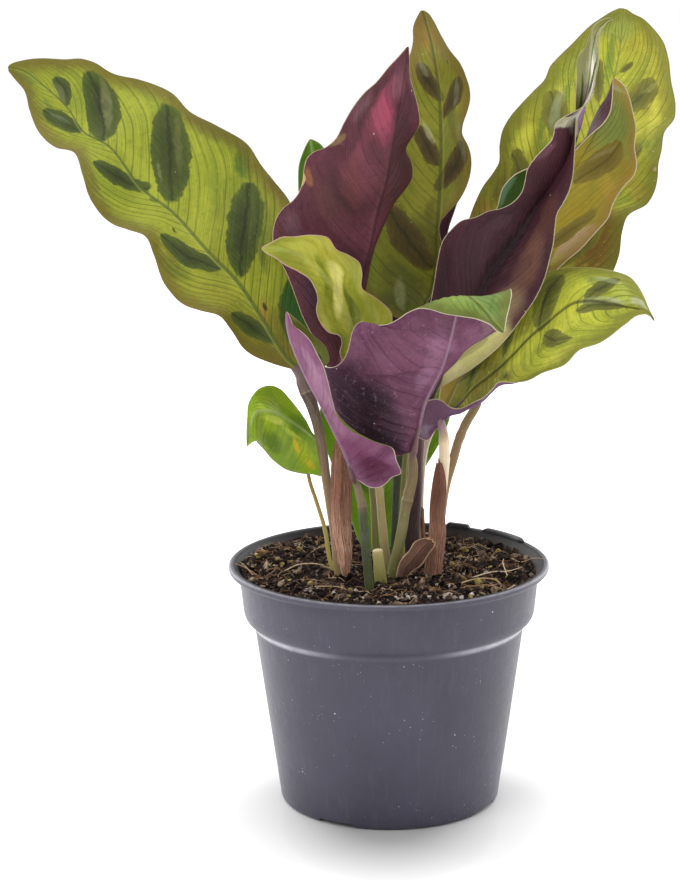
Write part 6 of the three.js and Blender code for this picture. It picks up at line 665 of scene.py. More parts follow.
    # a darker, browner band along the margin
    bw = look.get("band_w", 4.0)
    bm = k.mul(k.sstep(k.mad(k.sub(mid, 0.5), 5.0, edge), bw * 1.4, bw * 0.2), look.get("band", 0.45))
    col = k.mix(bm, col, hexc(look.get("band_c", look["vein"])))
    height = k.mad(cross, 0.10, k.mul(fine, 0.22))
    om = None
    tone = look.get("gain", 1.0)
    if ovals:
        dmin = core = None
        for rows in ovals:
            a, b = k.dot(V, tuple(rows[0])), k.dot(V, tuple(rows[1]))
            bb = k.mul(b, k.mad(a, -0.17, 1.10))
            b2 = k.mul(bb, bb)
            d = k.mad(a, a, b2)
            cr = k.mad(k.math("MAXIMUM", k.sub(d, 0.93), 0.0), 40.0, b2)
            dmin = d if dmin is None else k.math("MINIMUM", dmin, d)
            core = cr if core is None else k.math("MINIMUM", core, cr)
        dj = k.mad(k.sub(cross, 0.5), 0.30, dmin)
        om = k.sstep(k.mad(k.sub(cross, 0.5), 0.14, dmin), 1.06, 0.88, 0.0, look.get("oval", 1.0))
        oc = k.ramp(k.math("SQRT", k.math("MAXIMUM", dj, 0.0)), [(0.0, look["oval_c"][0]), (0.45, look["oval_c"][1]), (0.8, look["oval_c"][2]), (1.0, look["oval_c"][3])])
        oc = k.mix(k.mul(k.lstep(cross, 0.44, 0.68), 0.55), oc, hexc(look["oval_c"][0]))
        oc = k.mix(k.mul(k.lstep(cross, 0.46, 0.30), look.get("oval_hatch", 0.35)), oc, hexc(look["oval_c"][3]))
        oc = k.mix(k.mul(k.lstep(broad, 0.4, 0.7), 0.3), oc, hexc(look["oval_c"][3]))
        oc = k.mix(k.sstep(core, 0.016, 0.0, 0.0, 0.55), oc, hexc(look.get("oval_line", "20280f")))
        col = k.mix(om, col, oc)
        height = k.mad(k.mul(cross, om), 0.35, height)
    vs = look.get("veins", 0.42)
    vmc = k.mul(vm, vs) if om is None else k.mul(vm, k.mad(om, -vs * 0.8, vs))
    col = k.mix(vmc, col, hexc(look["vein"]))
    # tints laid after the veins; the streaked ones are painted sheen highlights, broken up along the cross lines
    for rows0, rows1, c, st, so, stri in after:
        a, b, d = ellipse(k, V, (rows0, rows1))
        m = k.sstep(d, 1.0 + 0.25 * so, 1.0 - 0.97 * so, 0.0, st)
        if stri:
            m = k.mul(m, k.lstep(k.mad(cross, 0.6, k.mul(mid, 0.5)), 0.38, 0.72, 0.25, 1.0))
        col = k.mix(m, col, hexc(c))
    for (t0, s0) in spots:
        dd = k.vmath("LENGTH", k.vmath("MULTIPLY", k.vmath("SUBTRACT", V, (t0, s0, 1)), (140, 40, 0)), out=1)
        col = k.mix(k.sstep(dd, 1.7, 0.7, 0.0, 0.85), col, hexc("333a18"))
    if tone != 1.0:
        tone = tone if isinstance(tone, tuple) else (tone, tone, tone)
        col = k.vmath("MULTIPLY", col, tone)
    # the midrib and the thin pale margin
    mw = k.mad(along, -look.get("rib_w", 0.9) * 0.0042, look.get("rib_w", 0.9))
    rm = k.sstep(r, k.mul(mw, 1.5), k.mul(mw, 0.55))
    col = k.mix(k.mul(rm, look.get("rib", 0.7)), col, hexc(look["rib_c"]))
    rl = k.mul(k.sstep(k.math("ABSOLUTE", k.sub(sd[1], k.mul(mw, look.get("rib_side", 1.35)))), k.mul(mw, 0.8), k.mul(mw, 0.1)), look.get("rib2", 0.5))
    col = k.mix(rl, col, hexc(look["rib2_c"]))
    jag = k.mad(k.sub(k.noise(ob, 0.9, 2, 0.6), 0.5), 0.30, edge)
    em = k.sstep(jag, look.get("rim_w", 0.50), look.get("rim_w", 0.50) * 0.45, 0.0, look.get("rim", 0.9))
    col = k.mix(em, col, hexc(look["rim_c"]))
    # dust specks and tiny scars
    vor = k.voronoi(ob, 0.22, "F1", 1.0, 0)
    vcol = k.voronoi(ob, 0.22, "F1", 1.0, 1)
    keep = k.sstep(k.node_out("SeparateXYZ", vcol)[0], 0.80, 0.84)
    sp = k.mul(k.sstep(vor, 0.07, 0.035), keep)
    col = k.mix(k.mul(sp, look.get("specks", 0.6)), col, hexc(look.get("speck_c", "e9e2cf")))
    rough = k.mad(mid, 0.16, k.mad(fine, 0.10, look.get("rough", 0.36)))
    if om is not None:
        rough = k.mad(om, 0.05, rough)
    height = k.mad(vm, -0.55, height)
    height = k.mad(grain, 0.10, height)
    height = k.mad(k.noise(ob, 0.45, 3, 0.55), 0.9, height)
    nrm = k.bump(height, 0.0006, look.get("bump", 0.5))
    return k.done(col, rough, nrm)


TOP = dict(light="abb03c", dark="86932a", mottle="9aa534", vein="566b1c", fleck="c0c258", band_c="66682a", band=0.75, band_w=5.5, feather_c="6f8426", warm_c="948832", oval_c=("2b351a", "3c4620", "4a5626", "59662a"), oval_line="1f2810",
           rib_c="556425", rib2_c="b4ba58", rib=0.75, rib2=0.35, rim_c="7d6c40", rim=0.75, rim_w=0.42, base=("716226", 34, 0.75), sheen=0.05, rough=0.36)
UNDER = dict(light="5f303e", dark="40212b", mottle="6b3744", vein="2b151d", fleck="7a4f5c", band_c="552c36", band=0.3, band_w=3.0, feather_c="361a23", feather=0.45, warm_c="6a4038", warm=0.3, oval=0.30, oval_c=("33191f", "381d24", "3d2228", "42262c"), oval_line="2b151b", rib_c="6a4650", rib=0.5, rib_w=0.6,
             rib2_c="9c7a80", rib2=0.0, rim_c="d3b994", rim=0.9, rim_w=0.34, veins=0.14, fine=0.22, rough=0.38, sheen=0.0, grain=0.16, specks=0.7)


def look(start, **kw):
    d = dict(start)
    d.update(kw)
    return d


VIOLET = look(UNDER, light="77485f", dark="5c344a", mottle="845570", vein="3a1d2e", fleck="a07c92", band_c="65405a", feather_c="492a3e", feather=0.55, warm_c="6a3f58", warm=0.3, rib_c="a98b9e", rib=0.8, rib_w=0.62, oval=0.16, oval_c=("4b2c3d", "4e3040", "533545", "573a4a"), rim_c="cdbaa0", rough=0.38)
YOUNG = look(TOP, sheen=0.0, light="84a018", dark="547a0e", mottle="93a824", vein="44660e", fleck="aeb840", band_c="4f7018", band=0.3, feather_c="4d7412", warm_c="86a01c", oval=0.6, base=("5f7a18", 14, 0.5), rib_c="a9bb70", rib=0.55, rib2=0.0, rim_c="a8b488", rim=0.55, pitch=3.6, veins=0.35)
YOUNG_UNDER = look(VIOLET, light="7a7a50", dark="5f6a3a", mottle="86705c", vein="4b5530", fleck="98946a", band_c="6b5c4c", rib_c="a5a070", oval=0.12)

# name: (top look, under look, vein slope, lateral pleat in mm, ripple in mm)
BLADES = {
    "left_leaf": (look(TOP, rib_side=-1.2, gain=(1.13, 1.12, 0.80), fine=0.38, vein="3f5216", veins=0.62, blot=0.28, band_c="6a5a28"), UNDER, 0.21, 0.13, 0.5),
    "upright_purple_leaf": (TOP, look(UNDER, gain=(1.30, 1.20, 1.20), rib_c="2a161c", rib=0.45, specks=1.0, blot=0.34, fine=0.3), 0.22, 0.12, 0.4),
    "centre_back_leaf": (look(TOP, gain=(1.46, 1.33, 0.98), veins=0.6, fine=0.36, blot=0.32, light="82862a", dark="666d22", mottle="7a7b28", vein="455218", fleck="969640", band_c="6a5c2c", feather_c="56601e", warm_c="7c6a2c", oval_c=("2e2518", "40341d", "4d4222", "5d5629"), rib_c="55581f", rib2_c="a3a544", base=("4b5228", 26, 0.6)), UNDER, 0.21, 0.16, 0.4),
    "right_back_leaf": (look(TOP, gain=(1.74, 1.70, 1.25), blot=0.34, vein="425518", veins=0.66, fine=0.38, light="b0b240", dark="8a9436", feather=0.75, feather_c="566c26", warm_c="9c8434", warm=0.5, oval_c=("4a4a28", "5b5a2c", "6a682e", "77762f"), oval_line="3c4424", rib_c="8c9238", rib2_c="c5c660", base=("6a5a2c", 60, 0.8)), UNDER, 0.22, 0.14, 0.5),
    "twisted_purple_leaf": (look(TOP, gain=(1.75, 1.65, 1.75), rim_w=0.34, rim_c="b9b08a"), look(UNDER, gain=(1.35, 1.28, 1.25), light="4a2631", dark="2e161d", mottle="542f3a", vein="200e14", fleck="6b4654", band_c="482630", feather_c="26121a", feather=0.5, warm_c="583230", rib_c="24121a", rib=0.4, rim_c="cfc0a0"), 0.24, 0.12, 0.3),
    "right_cupped_leaf": (look(TOP, gain=(1.84, 1.92, 1.50), light="9c8732", dark="83742a", mottle="92802c", vein="655c22", fleck="b8a558", band_c="8a6e3c", feather_c="76702c", warm_c="8a7a34", oval_c=("5f4f27", "6a5a2c", "74642f", "7d6e33"), oval_line="54461f", rib_c="7d7230", rib2_c="b3a24c", rib=0.5, rim_c="ddc6a6", rim=0.9, base=("8c8440", 30, 0.6), veins=0.3), look(UNDER, gain=(0.62, 0.55, 0.58)), 0.25, 0.10, 0.3),
    "right_low_leaf": (look(TOP, gain=(1.66, 1.58, 1.34), blot=0.5, veins=0.7, fine=0.5, feather=0.8, oval_hatch=1.0, specks=0.9, light="b3b73e", dark="8a932c", feather_c="66742a", oval_c=("3c421c", "4d5222", "5c6028", "6f7230"), rib_c="4c4a1c", rib2_c="a6aa4a", base=("55481e", 46, 0.85), rim_c="c9c29a"), look(VIOLET, gain=1.25, light="8f6a86", dark="6a4a62"), 0.21, 0.16, 0.4),
    "front_purple_leaf": (look(TOP, light="86a04a", dark="638236", vein="4a6826", feather_c="4e7434", warm_c="96a65c", rim_c="d5c8b0", rim=0.95, gain=1.15), look(VIOLET, gain=(1.33, 1.22, 1.28), veins=0.18, blot=0.40, specks=1.0), 0.24, 0.16, 0.3),
    "front_folded_leaf": (TOP, look(VIOLET, gain=(1.10, 1.00, 1.08), veins=0.14, blot=0.30, light="9b6d88", dark="7f4f6b", mottle="a87d96", vein="673c55", feather_c="71425f", feather=0.6, warm_c="5f3048", warm=0.45, rim_c="d8c8b4", rib=0.5), 0.26, 0.10, 0.2),
    "small_pleated_leaf": (look(TOP, gain=(1.72, 1.66, 1.40), stripes=("566c12", "d2cc7c", 0.22), veins=0.1, fine=0.12, light="aaa83c", dark="7c8424", mottle="98983a", vein="4e5e10", feather_c="66741a", feather=0.7, pitch=6.2, vein_w=0.2, rim_c="cfa996", rim=0.9, rim_w=0.42, base=("6c7a2a", 14, 0.5), band=0.15, rib_c="b8b860", rib=0.4), VIOLET, 0.30, 0.0, 0.3),
    "young_left_leaf": (look(YOUNG, spec=0.35, gain=(1.86, 1.78, 0.40)), YOUNG_UNDER, 0.34, 0.12, 0.3),
    "low_back_leaf": (look(YOUNG, gain=(1.3, 1.5, 0.7)), YOUNG_UNDER, 0.30, 0.12, 0.3),
    "hidden_left_leaf": (look(YOUNG, light="6d9a2c", dark="4a7a1c", vein="3f6416"), UNDER, 0.24, 0.10, 0.3),
    "hidden_centre_leaf": (TOP, look(UNDER, light="532a38", dark="3d1f2b"), 0.24, 0.10, 0.3),
}
NT, NU = 150, 26


def build_blade(name, top_look, under_look, slope, pleat, ripple):
    rec = LEAVES[name]
    nt = NT
    nu = NU
    ts = np.concatenate([np.linspace(0, 0.06, 10)[:-1], np.linspace(0.06, 0.94, nt - 30), np.linspace(0.94, 0.997, 16)[1:]])
    us = np.concatenate([[0.0], (np.arange(1, nu + 1) / nu) ** 1.35])
    us = np.concatenate([us[:-1], [0.985, 1.0]])
    P = surface(rec, ts, us)
    s = np.concatenate([-us[::-1][:-1], us])
    S, T = np.meshgrid(s, ts)
    nuu = len(us) - 1
    # lengths in mm: along the midrib, and from it to each point
    L = np.r_[0, np.cumsum(np.linalg.norm(np.diff(P[:, nuu], axis=0), axis=1))]
    total = L[-1]
    step = np.linalg.norm(np.diff(P, axis=1), axis=2)
    R = np.zeros_like(S)
    R[:, nuu + 1 :] = np.cumsum(step[:, nuu:], axis=1)
    R[:, :nuu] = -np.cumsum(step[:, :nuu][:, ::-1], axis=1)[:, ::-1]
    edge = np.where(S >= 0, R[:, -1:] - R, R - R[:, :1])
    a = np.abs(S)
    Q = (T - slope * (a + 0.22 * a**3) / 1.0) * total
    sg = rec["side"]
    N = blur(normals_of(P), 3) * sg
    N /= np.maximum(np.linalg.norm(N, axis=2, keepdims=True), 1e-9)
    w = np.abs(R) + edge
    body = smooth01(np.abs(R) / 3.0) * smooth01(edge / 4.0)
    pitch = top_look.get("pitch", 4.7)
    seed = sum(map(ord, name)) % 97
    move = -pleat * np.cos(2 * math.pi * Q / pitch) * body
    if name == "small_pleated_leaf":
        move = move + 0.55 * np.cos(2 * math.pi * R / 7.5) * smooth01(edge / 3.0) * smooth01(T / 0.2) * smooth01((1 - T) / 0.25)
    move = move + ripple * (fbm(P * 0.075, 3, seed) - 0.5) * smooth01(w / 10.0) * smooth01(T / 0.1)
    move = move + ripple * 0.9 * a**3 * (vnoise(np.stack([T * total / 5.0, np.sign(S) * 3 + S * 0.3, T * 0], -1), seed + 5) - 0.5) * smooth01((1 - T) / 0.06) * smooth01(T / 0.06)
    P = P + N * move[..., None]
    ends = smooth01(T / 0.02) * smooth01((1 - T) / 0.03)
    half = 0.5 * (0.40 - 0.14 * a**5) * (0.45 + 0.55 * ends)
    groove = 0.26 * np.exp(-((R / 0.9) ** 2)) * (1 - 0.7 * T) * (w > 1.5)
    ridge = (1.15 * (1 - T) ** 0.8 + 0.18) * np.exp(-((R / (0.95 - 0.45 * T)) ** 2)) * smooth01(w / 3.0)
    top = P + N * (half - groove)[..., None]
    und = P - N * (half + ridge)[..., None]
    V, F, mi = shell(top, und, sg)
    maps = {"P": np.stack([T, S], -1), "D": np.stack([Q, R], -1), "E": np.stack([edge, T * total], -1)}
    maps = {k2: np.concatenate([v.reshape(-1, 2)] * 2) for k2, v in maps.items()}
    tint = TINTS[name]
    # the tables hold both rows of each ellipse first
    mt = leaf_mat(name + "_upper", tint["top"], tint["ovals"] if top_look.get("oval", 1) > 0 else [], top_look, tint["after"] if rec["face"] == "up" else [], tint["spots"])
    mu = leaf_mat(name + "_underside", tint["under"], tint["ovals"] if under_look.get("oval", 0) > 0 else [], under_look, [] if rec["face"] == "up" else tint["after"])
    ob = make("blade_" + name, V, F, maps, (mt, mu), mi, sharp=60)
    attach(ob, "root")
    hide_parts(name)
    return ob


for name, spec in BLADES.items():
    build_blade(name, *spec)


# ---------------------------------------------------------------- stalks
def stem_mat(name, stops, streak, rough=0.42, purple=None, tip=None, band=None, speck=0.5, gain=1.0):
    """stops are (share of the length, colour). The map S is (across, share of the length), and M is (angle share, mm)"""
    k = Mat(name, spec=0.28)
    ob = k.obj()
    S, M = k.node_out("SeparateXYZ", k.uv("S")), k.node_out("SeparateXYZ", k.uv("M"))
    mid = k.noise(ob, 0.30, 3, 0.6)
    share = k.mad(k.sub(mid, 0.5), 0.05, S[1])
    col = k.ramp(share, stops)
    fib = k.noise(k.comb(k.mul(M[0], 26.0), k.mul(M[1], 0.10), 2.0), 1.0, 4, 0.65)
    fib2 = k.noise(k.comb(k.mul(M[0], 70.0), k.mul(M[1], 0.22), 5.0), 1.0, 3, 0.6)
    col = k.mix(k.mul(k.lstep(fib, 0.40, 0.72), 0.45), col, hexc(streak))
    col = k.mix(k.mul(k.lstep(fib2, 0.45, 0.75), 0.28), col, k.mix(0.35, col, (1, 1, 0.9, 1)))
    col = k.mix(k.mul(k.lstep(mid, 0.5, 0.8), 0.25), col, hexc(streak))
    if purple:
        m = k.mul(k.sstep(k.mad(k.sub(mid, 0.5), 0.5, M[0]), purple[1], purple[2]), purple[3])
        col = k.mix(m, col, hexc(purple[0]))
    if band:
        for at, wd, c, st in band:
            col = k.mix(k.sstep(k.math("ABSOLUTE", k.sub(S[1], at)), wd, wd * 0.3, 0.0, st), col, hexc(c))
    if tip:
        col = k.mix(k.sstep(k.mad(k.sub(mid, 0.5), 0.06, S[1]), 0.97, 1.07, 0.0, 0.9), col, hexc(tip))
    vor = k.voronoi(ob, 0.5, "F1", 1.0, 0)
    keep = k.sstep(k.node_out("SeparateXYZ", k.voronoi(ob, 0.5, "F1", 1.0, 1))[0], 0.86, 0.9)
    col = k.mix(k.mul(k.mul(k.sstep(vor, 0.14, 0.07), keep), speck), col, hexc("efe6d6"))
    h = k.mad(fib, 0.6, k.mad(fib2, 0.35, k.mul(mid, 0.4)))
    col = k.vmath("MULTIPLY", col, (1.44 * gain, 1.40 * gain, 1.22 * gain))
    return k.done(col, k.mad(fib, 0.18, rough), k.bump(h, 0.00035, 0.7))


STALKS = {
    # name: (colour stops, streak, nodes as (share, swelling), extra)
    "left_petiole": ([(0, "86704f"), (0.35, "7c6347"), (0.60, "66503c"), (0.78, "4a3836"), (0.88, "3c2c34"), (1, "4c3644")], "8a765a", [(0.93, 0.04)], dict(tip="5e4650", band=[(0.925, 0.004, "c8bcb4", 0.2), (0.912, 0.006, "3c2a2c", 0.5)])),
    "upright_purple_petiole": ([(0, "6c6a3c"), (0.5, "75703c"), (1, "5a3a40")], "9a935c", [(0.7, 0.08)], dict(tip="7a5560")),
    "small_pleated_petiole": ([(0, "86805a"), (0.4, "917f57"), (0.75, "9a8a5c"), (1, "8f9a48")], "b8aa7c", [(0.62, 0.08)], dict(tip="a8a858")),
    "centre_back_petiole": ([(0, "3c4a1e"), (0.4, "2a3516"), (0.7, "252c12"), (1, "444c22")], "46522a", [(0.7, 0.04)], dict(tip="5a444c", gain=0.62)),
    "right_back_petiole": ([(0, "84674a"), (0.5, "8b7150"), (0.8, "856b4d"), (1, "7c6a44")], "a98f6c", [(0.8, 0.07)], dict(tip="6a5058")),
    "twisted_purple_petiole": ([(0, "30222a"), (0.25, "432f3b"), (0.55, "563d4c"), (0.78, "6a4652"), (0.84, "8a6a4c"), (1, "5a3a40")], "664658", [(0.80, 0.05)], dict(tip="4a2e38", gain=0.9)),
    "right_cupped_petiole": ([(0, "c2a888"), (0.3, "dcc8b4"), (0.7, "e2d6d1"), (1, "c0a890")], "f0e4d6", [(0.72, 0.05)], dict(tip="9a7a80")),
    "right_low_petiole": ([(0, "b89a78"), (0.4, "d8c0a4"), (0.75, "e6d6c4"), (0.93, "e2cdb4"), (1, "a58c70")], "f4e9da", [(0.8, 0.05)], dict(tip="8a7080")),
    "front_purple_petiole": ([(0, "6a7038"), (0.2, "70723f"), (0.5, "7a7046"), (0.60, "766645"), (0.64, "7e6c4c"), (0.86, "7a664a"), (1, "745c4c")], "8f8258", [(0.615, 0.07)], dict(tip="7a5f68", gain=0.88, band=[(0.625, 0.008, "9a8a6c", 0.25), (0.603, 0.006, "52442c", 0.35)])),
    "front_folded_petiole": ([(0, "3a451a"), (0.3, "2c3610"), (0.58, "262f10"), (0.70, "333b1a"), (0.76, "54452f"), (0.80, "74604a"), (0.92, "7c6650"), (1, "70564e")], "566232", [(0.765, 0.06)], dict(tip="6a4c58", gain=0.84, band=[(0.775, 0.010, "988468", 0.25)])),
    "young_left_petiole": ([(0, "8c8a3e"), (0.25, "93853c"), (0.6, "9c7a3a"), (0.85, "8c6a35"), (1, "6f7a2a")], "b8a45a", [(0.3, 0.08)], dict(tip="7a8a34")),
    "low_back_petiole": ([(0, "6a7a2c"), (1, "7a8a34")], "98a650", [], dict(tip="7a8a34")),
    "hidden_left_petiole": ([(0, "6f7238"), (0.6, "7a7a40"), (1, "5f7a30")], "9a9a60", [(0.7, 0.08)], dict(tip="5c6a3a")),
    "hidden_centre_petiole": ([(0, "707436"), (0.5, "7f8040"), (1, "5c3d42")], "9a985a", [(0.7, 0.08)], dict(tip="5c3d42")),
    "cut_stem_stub": ([(0, "6c6e34"), (0.45, "8c8a4a"), (0.8, "a39c62"), (0.95, "bcae84"), (1, "e2d4b8")], "a8a060", [], {}),
}


def curve_through(P, n):
    """n points evenly along a smooth curve through P (x, y, z, r)"""
    P = np.asarray(P, float)
    d = np.r_[0, np.cumsum(np.linalg.norm(np.diff(P[:, :3], axis=0), axis=1))]
    k = d / d[-1]
    t = np.linspace(0, 1, n)
    xyz = spl(np.c_[P[:, :3], k], t)
    r = np.interp(t, k, P[:, 3])
    for _ in range(4):
        r[1:-1] = (r[:-2] + 2 * r[1:-1] + r[2:]) / 4
    return xyz, r, t, d[-1]


def soil_z(x, y):
    return 88.9 - 0.018 * x - 0.006 * y - 2.4 * np.exp(-((x + 4) ** 2 + (y - 28) ** 2) / 162.0) + 0.5 * np.sin(0.23 * x + 1.1) * np.cos(0.19 * y) + 0.35 * np.sin(0.41 * y + 0.31 * x)


def into_blade(name):
    """the stalk's own points, then a taper along the back of its blade's midrib"""
    pts = [list(p) for p in STEMS[name]]
    blade = name.replace("_petiole", "_leaf")
    if blade not in LEAVES:
        return pts, 0.0
    rec = LEAVES[blade]
    reach = {"low_back_leaf": 0.06, "young_left_leaf": 0.12}.get(blade, 0.13)
    ts = np.linspace(0.0, reach, 7)
    P = surface(rec, ts, np.array([0.0, 0.06, 0.12]))
    N = normals_of(P)[:, 2] * rec["side"]
    N = N[2:-1].mean(axis=0)
    N /= np.linalg.norm(N)
    r0 = pts[-1][3]
    pts = pts[:-1] + [pts[-1][:3] + [max(r0, pts[-2][3] * 0.85)]]
    r0 = pts[-1][3]
    old = np.linalg.norm(np.diff(np.array(pts)[:, :3], axis=0), axis=1).sum()
    for i, t in enumerate(ts):
        if i == 0:
            continue
        k = t / reach
        rr = r0 * (1 - k) ** 1.1 + 0.30 * k
        c = P[i, 2] - N * (0.30 + 1.04 * rr)
        pts.append([*c, rr])
    new = np.linalg.norm(np.diff(np.array(pts)[:, :3], axis=0), axis=1).sum()
    return pts, 1 - old / new


def build_stalk(name, stops, streak, nodes_at, extra):
    pts, tail = into_blade(name)
    xyz, r, t, length = curve_through(pts, max(70, int(len(pts) * 12)))
    # the share of the length is counted from the soil up
    z0 = soil_z(xyz[:, 0], xyz[:, 1])
    above = np.interp(0.0, (xyz[:, 2] - z0), t) if (xyz[-1, 2] > z0[-1]) else 0.0
    share = np.clip((t - above) / (1 - tail - above), 0, 1.25)
    seed = sum(map(ord, name)) % 89
    for at, swell in nodes_at:
        r = r * (1 + swell * np.exp(-(((share - at) / 0.022) ** 2)) - 0.07 * np.exp(-(((share - at - 0.03) / 0.018) ** 2)))
    r = r * (1 + 0.06 * (vnoise(np.stack([t * length / 7.0, t * 0 + seed, t * 0], -1), seed) - 0.5))
    sides = 28
    ang = np.arange(sides) / sides * 2 * math.pi
    rib = 1 + 0.022 * np.cos(9 * ang[None, :] + 0.4 * np.sin(share * 9)[:, None]) - 0.10 * np.exp(-((((ang[None, :] - 1.6 + math.pi) % (2 * math.pi)) - math.pi) / 0.35) ** 2) * smooth01((0.9 - share) / 0.3)[:, None]
    if name == "cut_stem_stub":
        r = r * np.where(share > 0.985, 0.86, 1.0)
    V, F, uv = tube(xyz, r, sides, lobes=rib)
    n = len(xyz)
    S = np.concatenate([np.stack([np.broadcast_to(np.cos(ang)[None], (n, sides)), np.broadcast_to(share[:, None], (n, sides))], -1).reshape(-1, 2), [[0, 0]], [[0, share[-1]]]])
    ob = make("stalk_" + name, V, F, {"S": S, "M": uv}, (stem_mat(name + "_skin", stops, streak, **extra),), sharp=70)
    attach(ob, "root")
    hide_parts(name)
    return ob


for name, spec in STALKS.items():
    build_stalk(name, *spec)


# ---------------------------------------------------------------- dry sheaths
def sheath_mat(name, light, dark, pale, pale_amt, rim):
    k = Mat(name, spec=0.25, Sheen_Weight=0.08, Sheen_Roughness=0.6)
    ob = k.obj()
    D, E = k.node_out("SeparateXYZ", k.uv("D")), k.node_out("SeparateXYZ", k.uv("E"))
    along, across = D[0], D[1]
    fib = k.noise(k.comb(k.mul(along, 0.045), k.mul(across, 1.9), 1.0), 1.0, 4, 0.7)
    fib2 = k.noise(k.comb(k.mul(along, 0.10), k.mul(across, 4.6), 4.0), 1.0, 3, 0.65)
    blot = k.noise(ob, 0.16, 4, 0.6)
    col = k.mix(k.lstep(fib, 0.32, 0.66), hexc(dark), hexc(light))
    col = k.mix(k.mul(k.lstep(fib2, 0.45, 0.68), 0.88), col, hexc(dark))
    col = k.mix(k.mul(k.lstep(blot, 0.5, 0.75), 0.45), col, hexc("5a3626"))
    pm = k.mul(k.mul(k.lstep(fib2, 0.50, 0.72), k.sstep(k.noise(k.comb(k.mul(along, 0.03), k.mul(across, 0.5), 8.0), 1.0, 2, 0.5), 0.48, 0.62)), pale_amt)
    col = k.mix(pm, col, hexc(pale))
    wh = k.mul(k.lstep(k.noise(k.comb(k.mul(along, 0.5), k.mul(across, 5.5), 2.0), 1.0, 3, 0.7), 0.60, 0.72), pale_amt * 0.8)
    col = k.mix(wh, col, hexc("efe6da"))
    em = k.sstep(k.mad(k.sub(blot, 0.5), 0.8, E[0]), 0.75, 0.25, 0.0, 0.8)
    col = k.mix(em, col, hexc(rim))
    # paler towards the foot, where the fibres have come apart
    low = k.mul(k.sstep(along, 34.0, 10.0), k.lstep(k.noise(k.comb(k.mul(along, 0.12), k.mul(across, 2.6), 6.0), 1.0, 3, 0.7), 0.42, 0.62))
    col = k.mix(k.mul(low, pale_amt), col, hexc("ddc4b6"))
    crack = k.noise(k.comb(k.mul(along, 0.30), k.mul(across, 1.1), 9.0), 1.0, 4, 0.75)
    col = k.mix(k.mul(k.lstep(crack, 0.54, 0.68), 0.75), col, hexc(dark))
    col = k.vmath("MULTIPLY", col, (1.46, 1.16, 0.92))
    h = k.mad(fib2, 0.7, k.mad(fib, 0.8, k.mad(crack, 0.6, k.mul(blot, 0.5))))
    return k.done(col, k.mad(fib2, 0.2, 0.62), k.bump(h, 0.0007, 0.9))


SHEATH_LOOK = {
    "dry_sheath_left": ("93674f", "553122", "e0d0c2", 0.9, "6b4431", 1.0),
    "dry_sheath_right": ("86583f", "4a2a1e", "b39478", 0.4, "8c6a50", 1.0),
    "dry_sheath_small": ("8a6248", "54362a", "b59a80", 0.4, "8c6a50", 0.5),
    "broken_sheath_piece": ("5a382b", "38211a", "a88a76", 0.16, "d8c2a8", 0.8),
}


def build_sheath(name, light, dark, pale, amt, rim, ragged):
    rec = dict(SHEATHS[name])
    nt, nu = ((110, 22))
    ts = np.linspace(0.0, 0.985, nt)
    us = np.arange(nu + 1) / nu
    P = surface(rec, ts, us)
    s = np.concatenate([-us[::-1][:-1], us])
    S, T = np.meshgrid(s, ts)
    if ragged:
        # the torn upper end: each strip of fibres stops at its own height
        cut = 0.985 - 0.085 * ragged * vnoise(np.stack([s * 3.1, s * 0 + 4.0, s * 0], -1), len(name)) ** 1.5
        P2 = P.copy()
        for j in range(P.shape[1]):
            tj = ts * cut[j] / ts[-1]
            for c in range(3):
                P2[:, j, c] = np.interp(tj, ts, P[:, j, c])
        P = P2
    L = np.r_[0, np.cumsum(np.linalg.norm(np.diff(P[:, nu], axis=0), axis=1))]
    step = np.linalg.norm(np.diff(P, axis=1), axis=2)
    R = np.zeros_like(S)
    R[:, nu + 1 :] = np.cumsum(step[:, nu:], axis=1)
    R[:, :nu] = -np.cumsum(step[:, :nu][:, ::-1], axis=1)[:, ::-1]
    edge = np.minimum(np.where(S >= 0, R[:, -1:] - R, R - R[:, :1]), (L[-1] - L)[:, None] * 1.0)
    N = blur(normals_of(P), 2)
    N /= np.maximum(np.linalg.norm(N, axis=2, keepdims=True), 1e-9)
    seed = sum(map(ord, name)) % 71
    rib = 0.16 * (vnoise(np.stack([S * 9.0, T * 1.2, T * 0 + seed], -1), seed) - 0.5) + 0.10 * (vnoise(np.stack([S * 22.0, T * 2.0, T * 0 + seed], -1), seed + 1) - 0.5)
    fold = 0.45 * (fbm(P * 0.11, 3, seed) - 0.5)
    P = P + N * (rib + fold)[..., None]
    h = 0.5 * 0.45 * (1 - 0.4 * np.abs(S) ** 4)
    V, F, mi = shell(P + N * h[..., None], P - N * h[..., None], 1)
    maps = {"D": np.stack([np.broadcast_to(L[:, None], R.shape), R], -1), "E": np.stack([edge, S], -1)}
    maps = {k2: np.concatenate([v.reshape(-1, 2)] * 2) for k2, v in maps.items()}
    m = sheath_mat(name + "_fibre", light, dark, pale, amt, rim)
    ob = make("dry_" + name, V, F, maps, (m,), None, sharp=65)
    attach(ob, "root")
    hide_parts(name)


for name, spec in SHEATH_LOOK.items():
    build_sheath(name, *spec)


# ---------------------------------------------------------------- soil
rng = np.random.default_rng(SEED)


def soil_top(x, y):
    """height of the soil's surface with its lumps, in mm"""
    P = np.stack([x, y, x * 0], -1)
    r = np.hypot(x, y)
    lump = 2.6 * (fbm(P * 0.11, 4, 3) - 0.5) + 1.5 * (fbm(P * 0.42, 3, 8) - 0.5) + 0.7 * (vnoise(P * 1.1, 14) - 0.5)
    return soil_z(x, y) + lump * (0.45 + 0.55 * smooth01((55.5 - r) / 3.0)) - 0.2 + 1.1 * np.exp(-((x - 14) ** 2 + (y + 46) ** 2) / 260.0)


def wall_r(z):
    """inner radius of the pot's wall at the height z"""
    return np.interp(z, [4, 67.2, 69.6, 72.4, 74, 87, 88.6, 90.85, 91.2], [40.6, 49.1, 49.5, 52.5, 53.3, 54.6, 55.4, 57.0, 57.6])


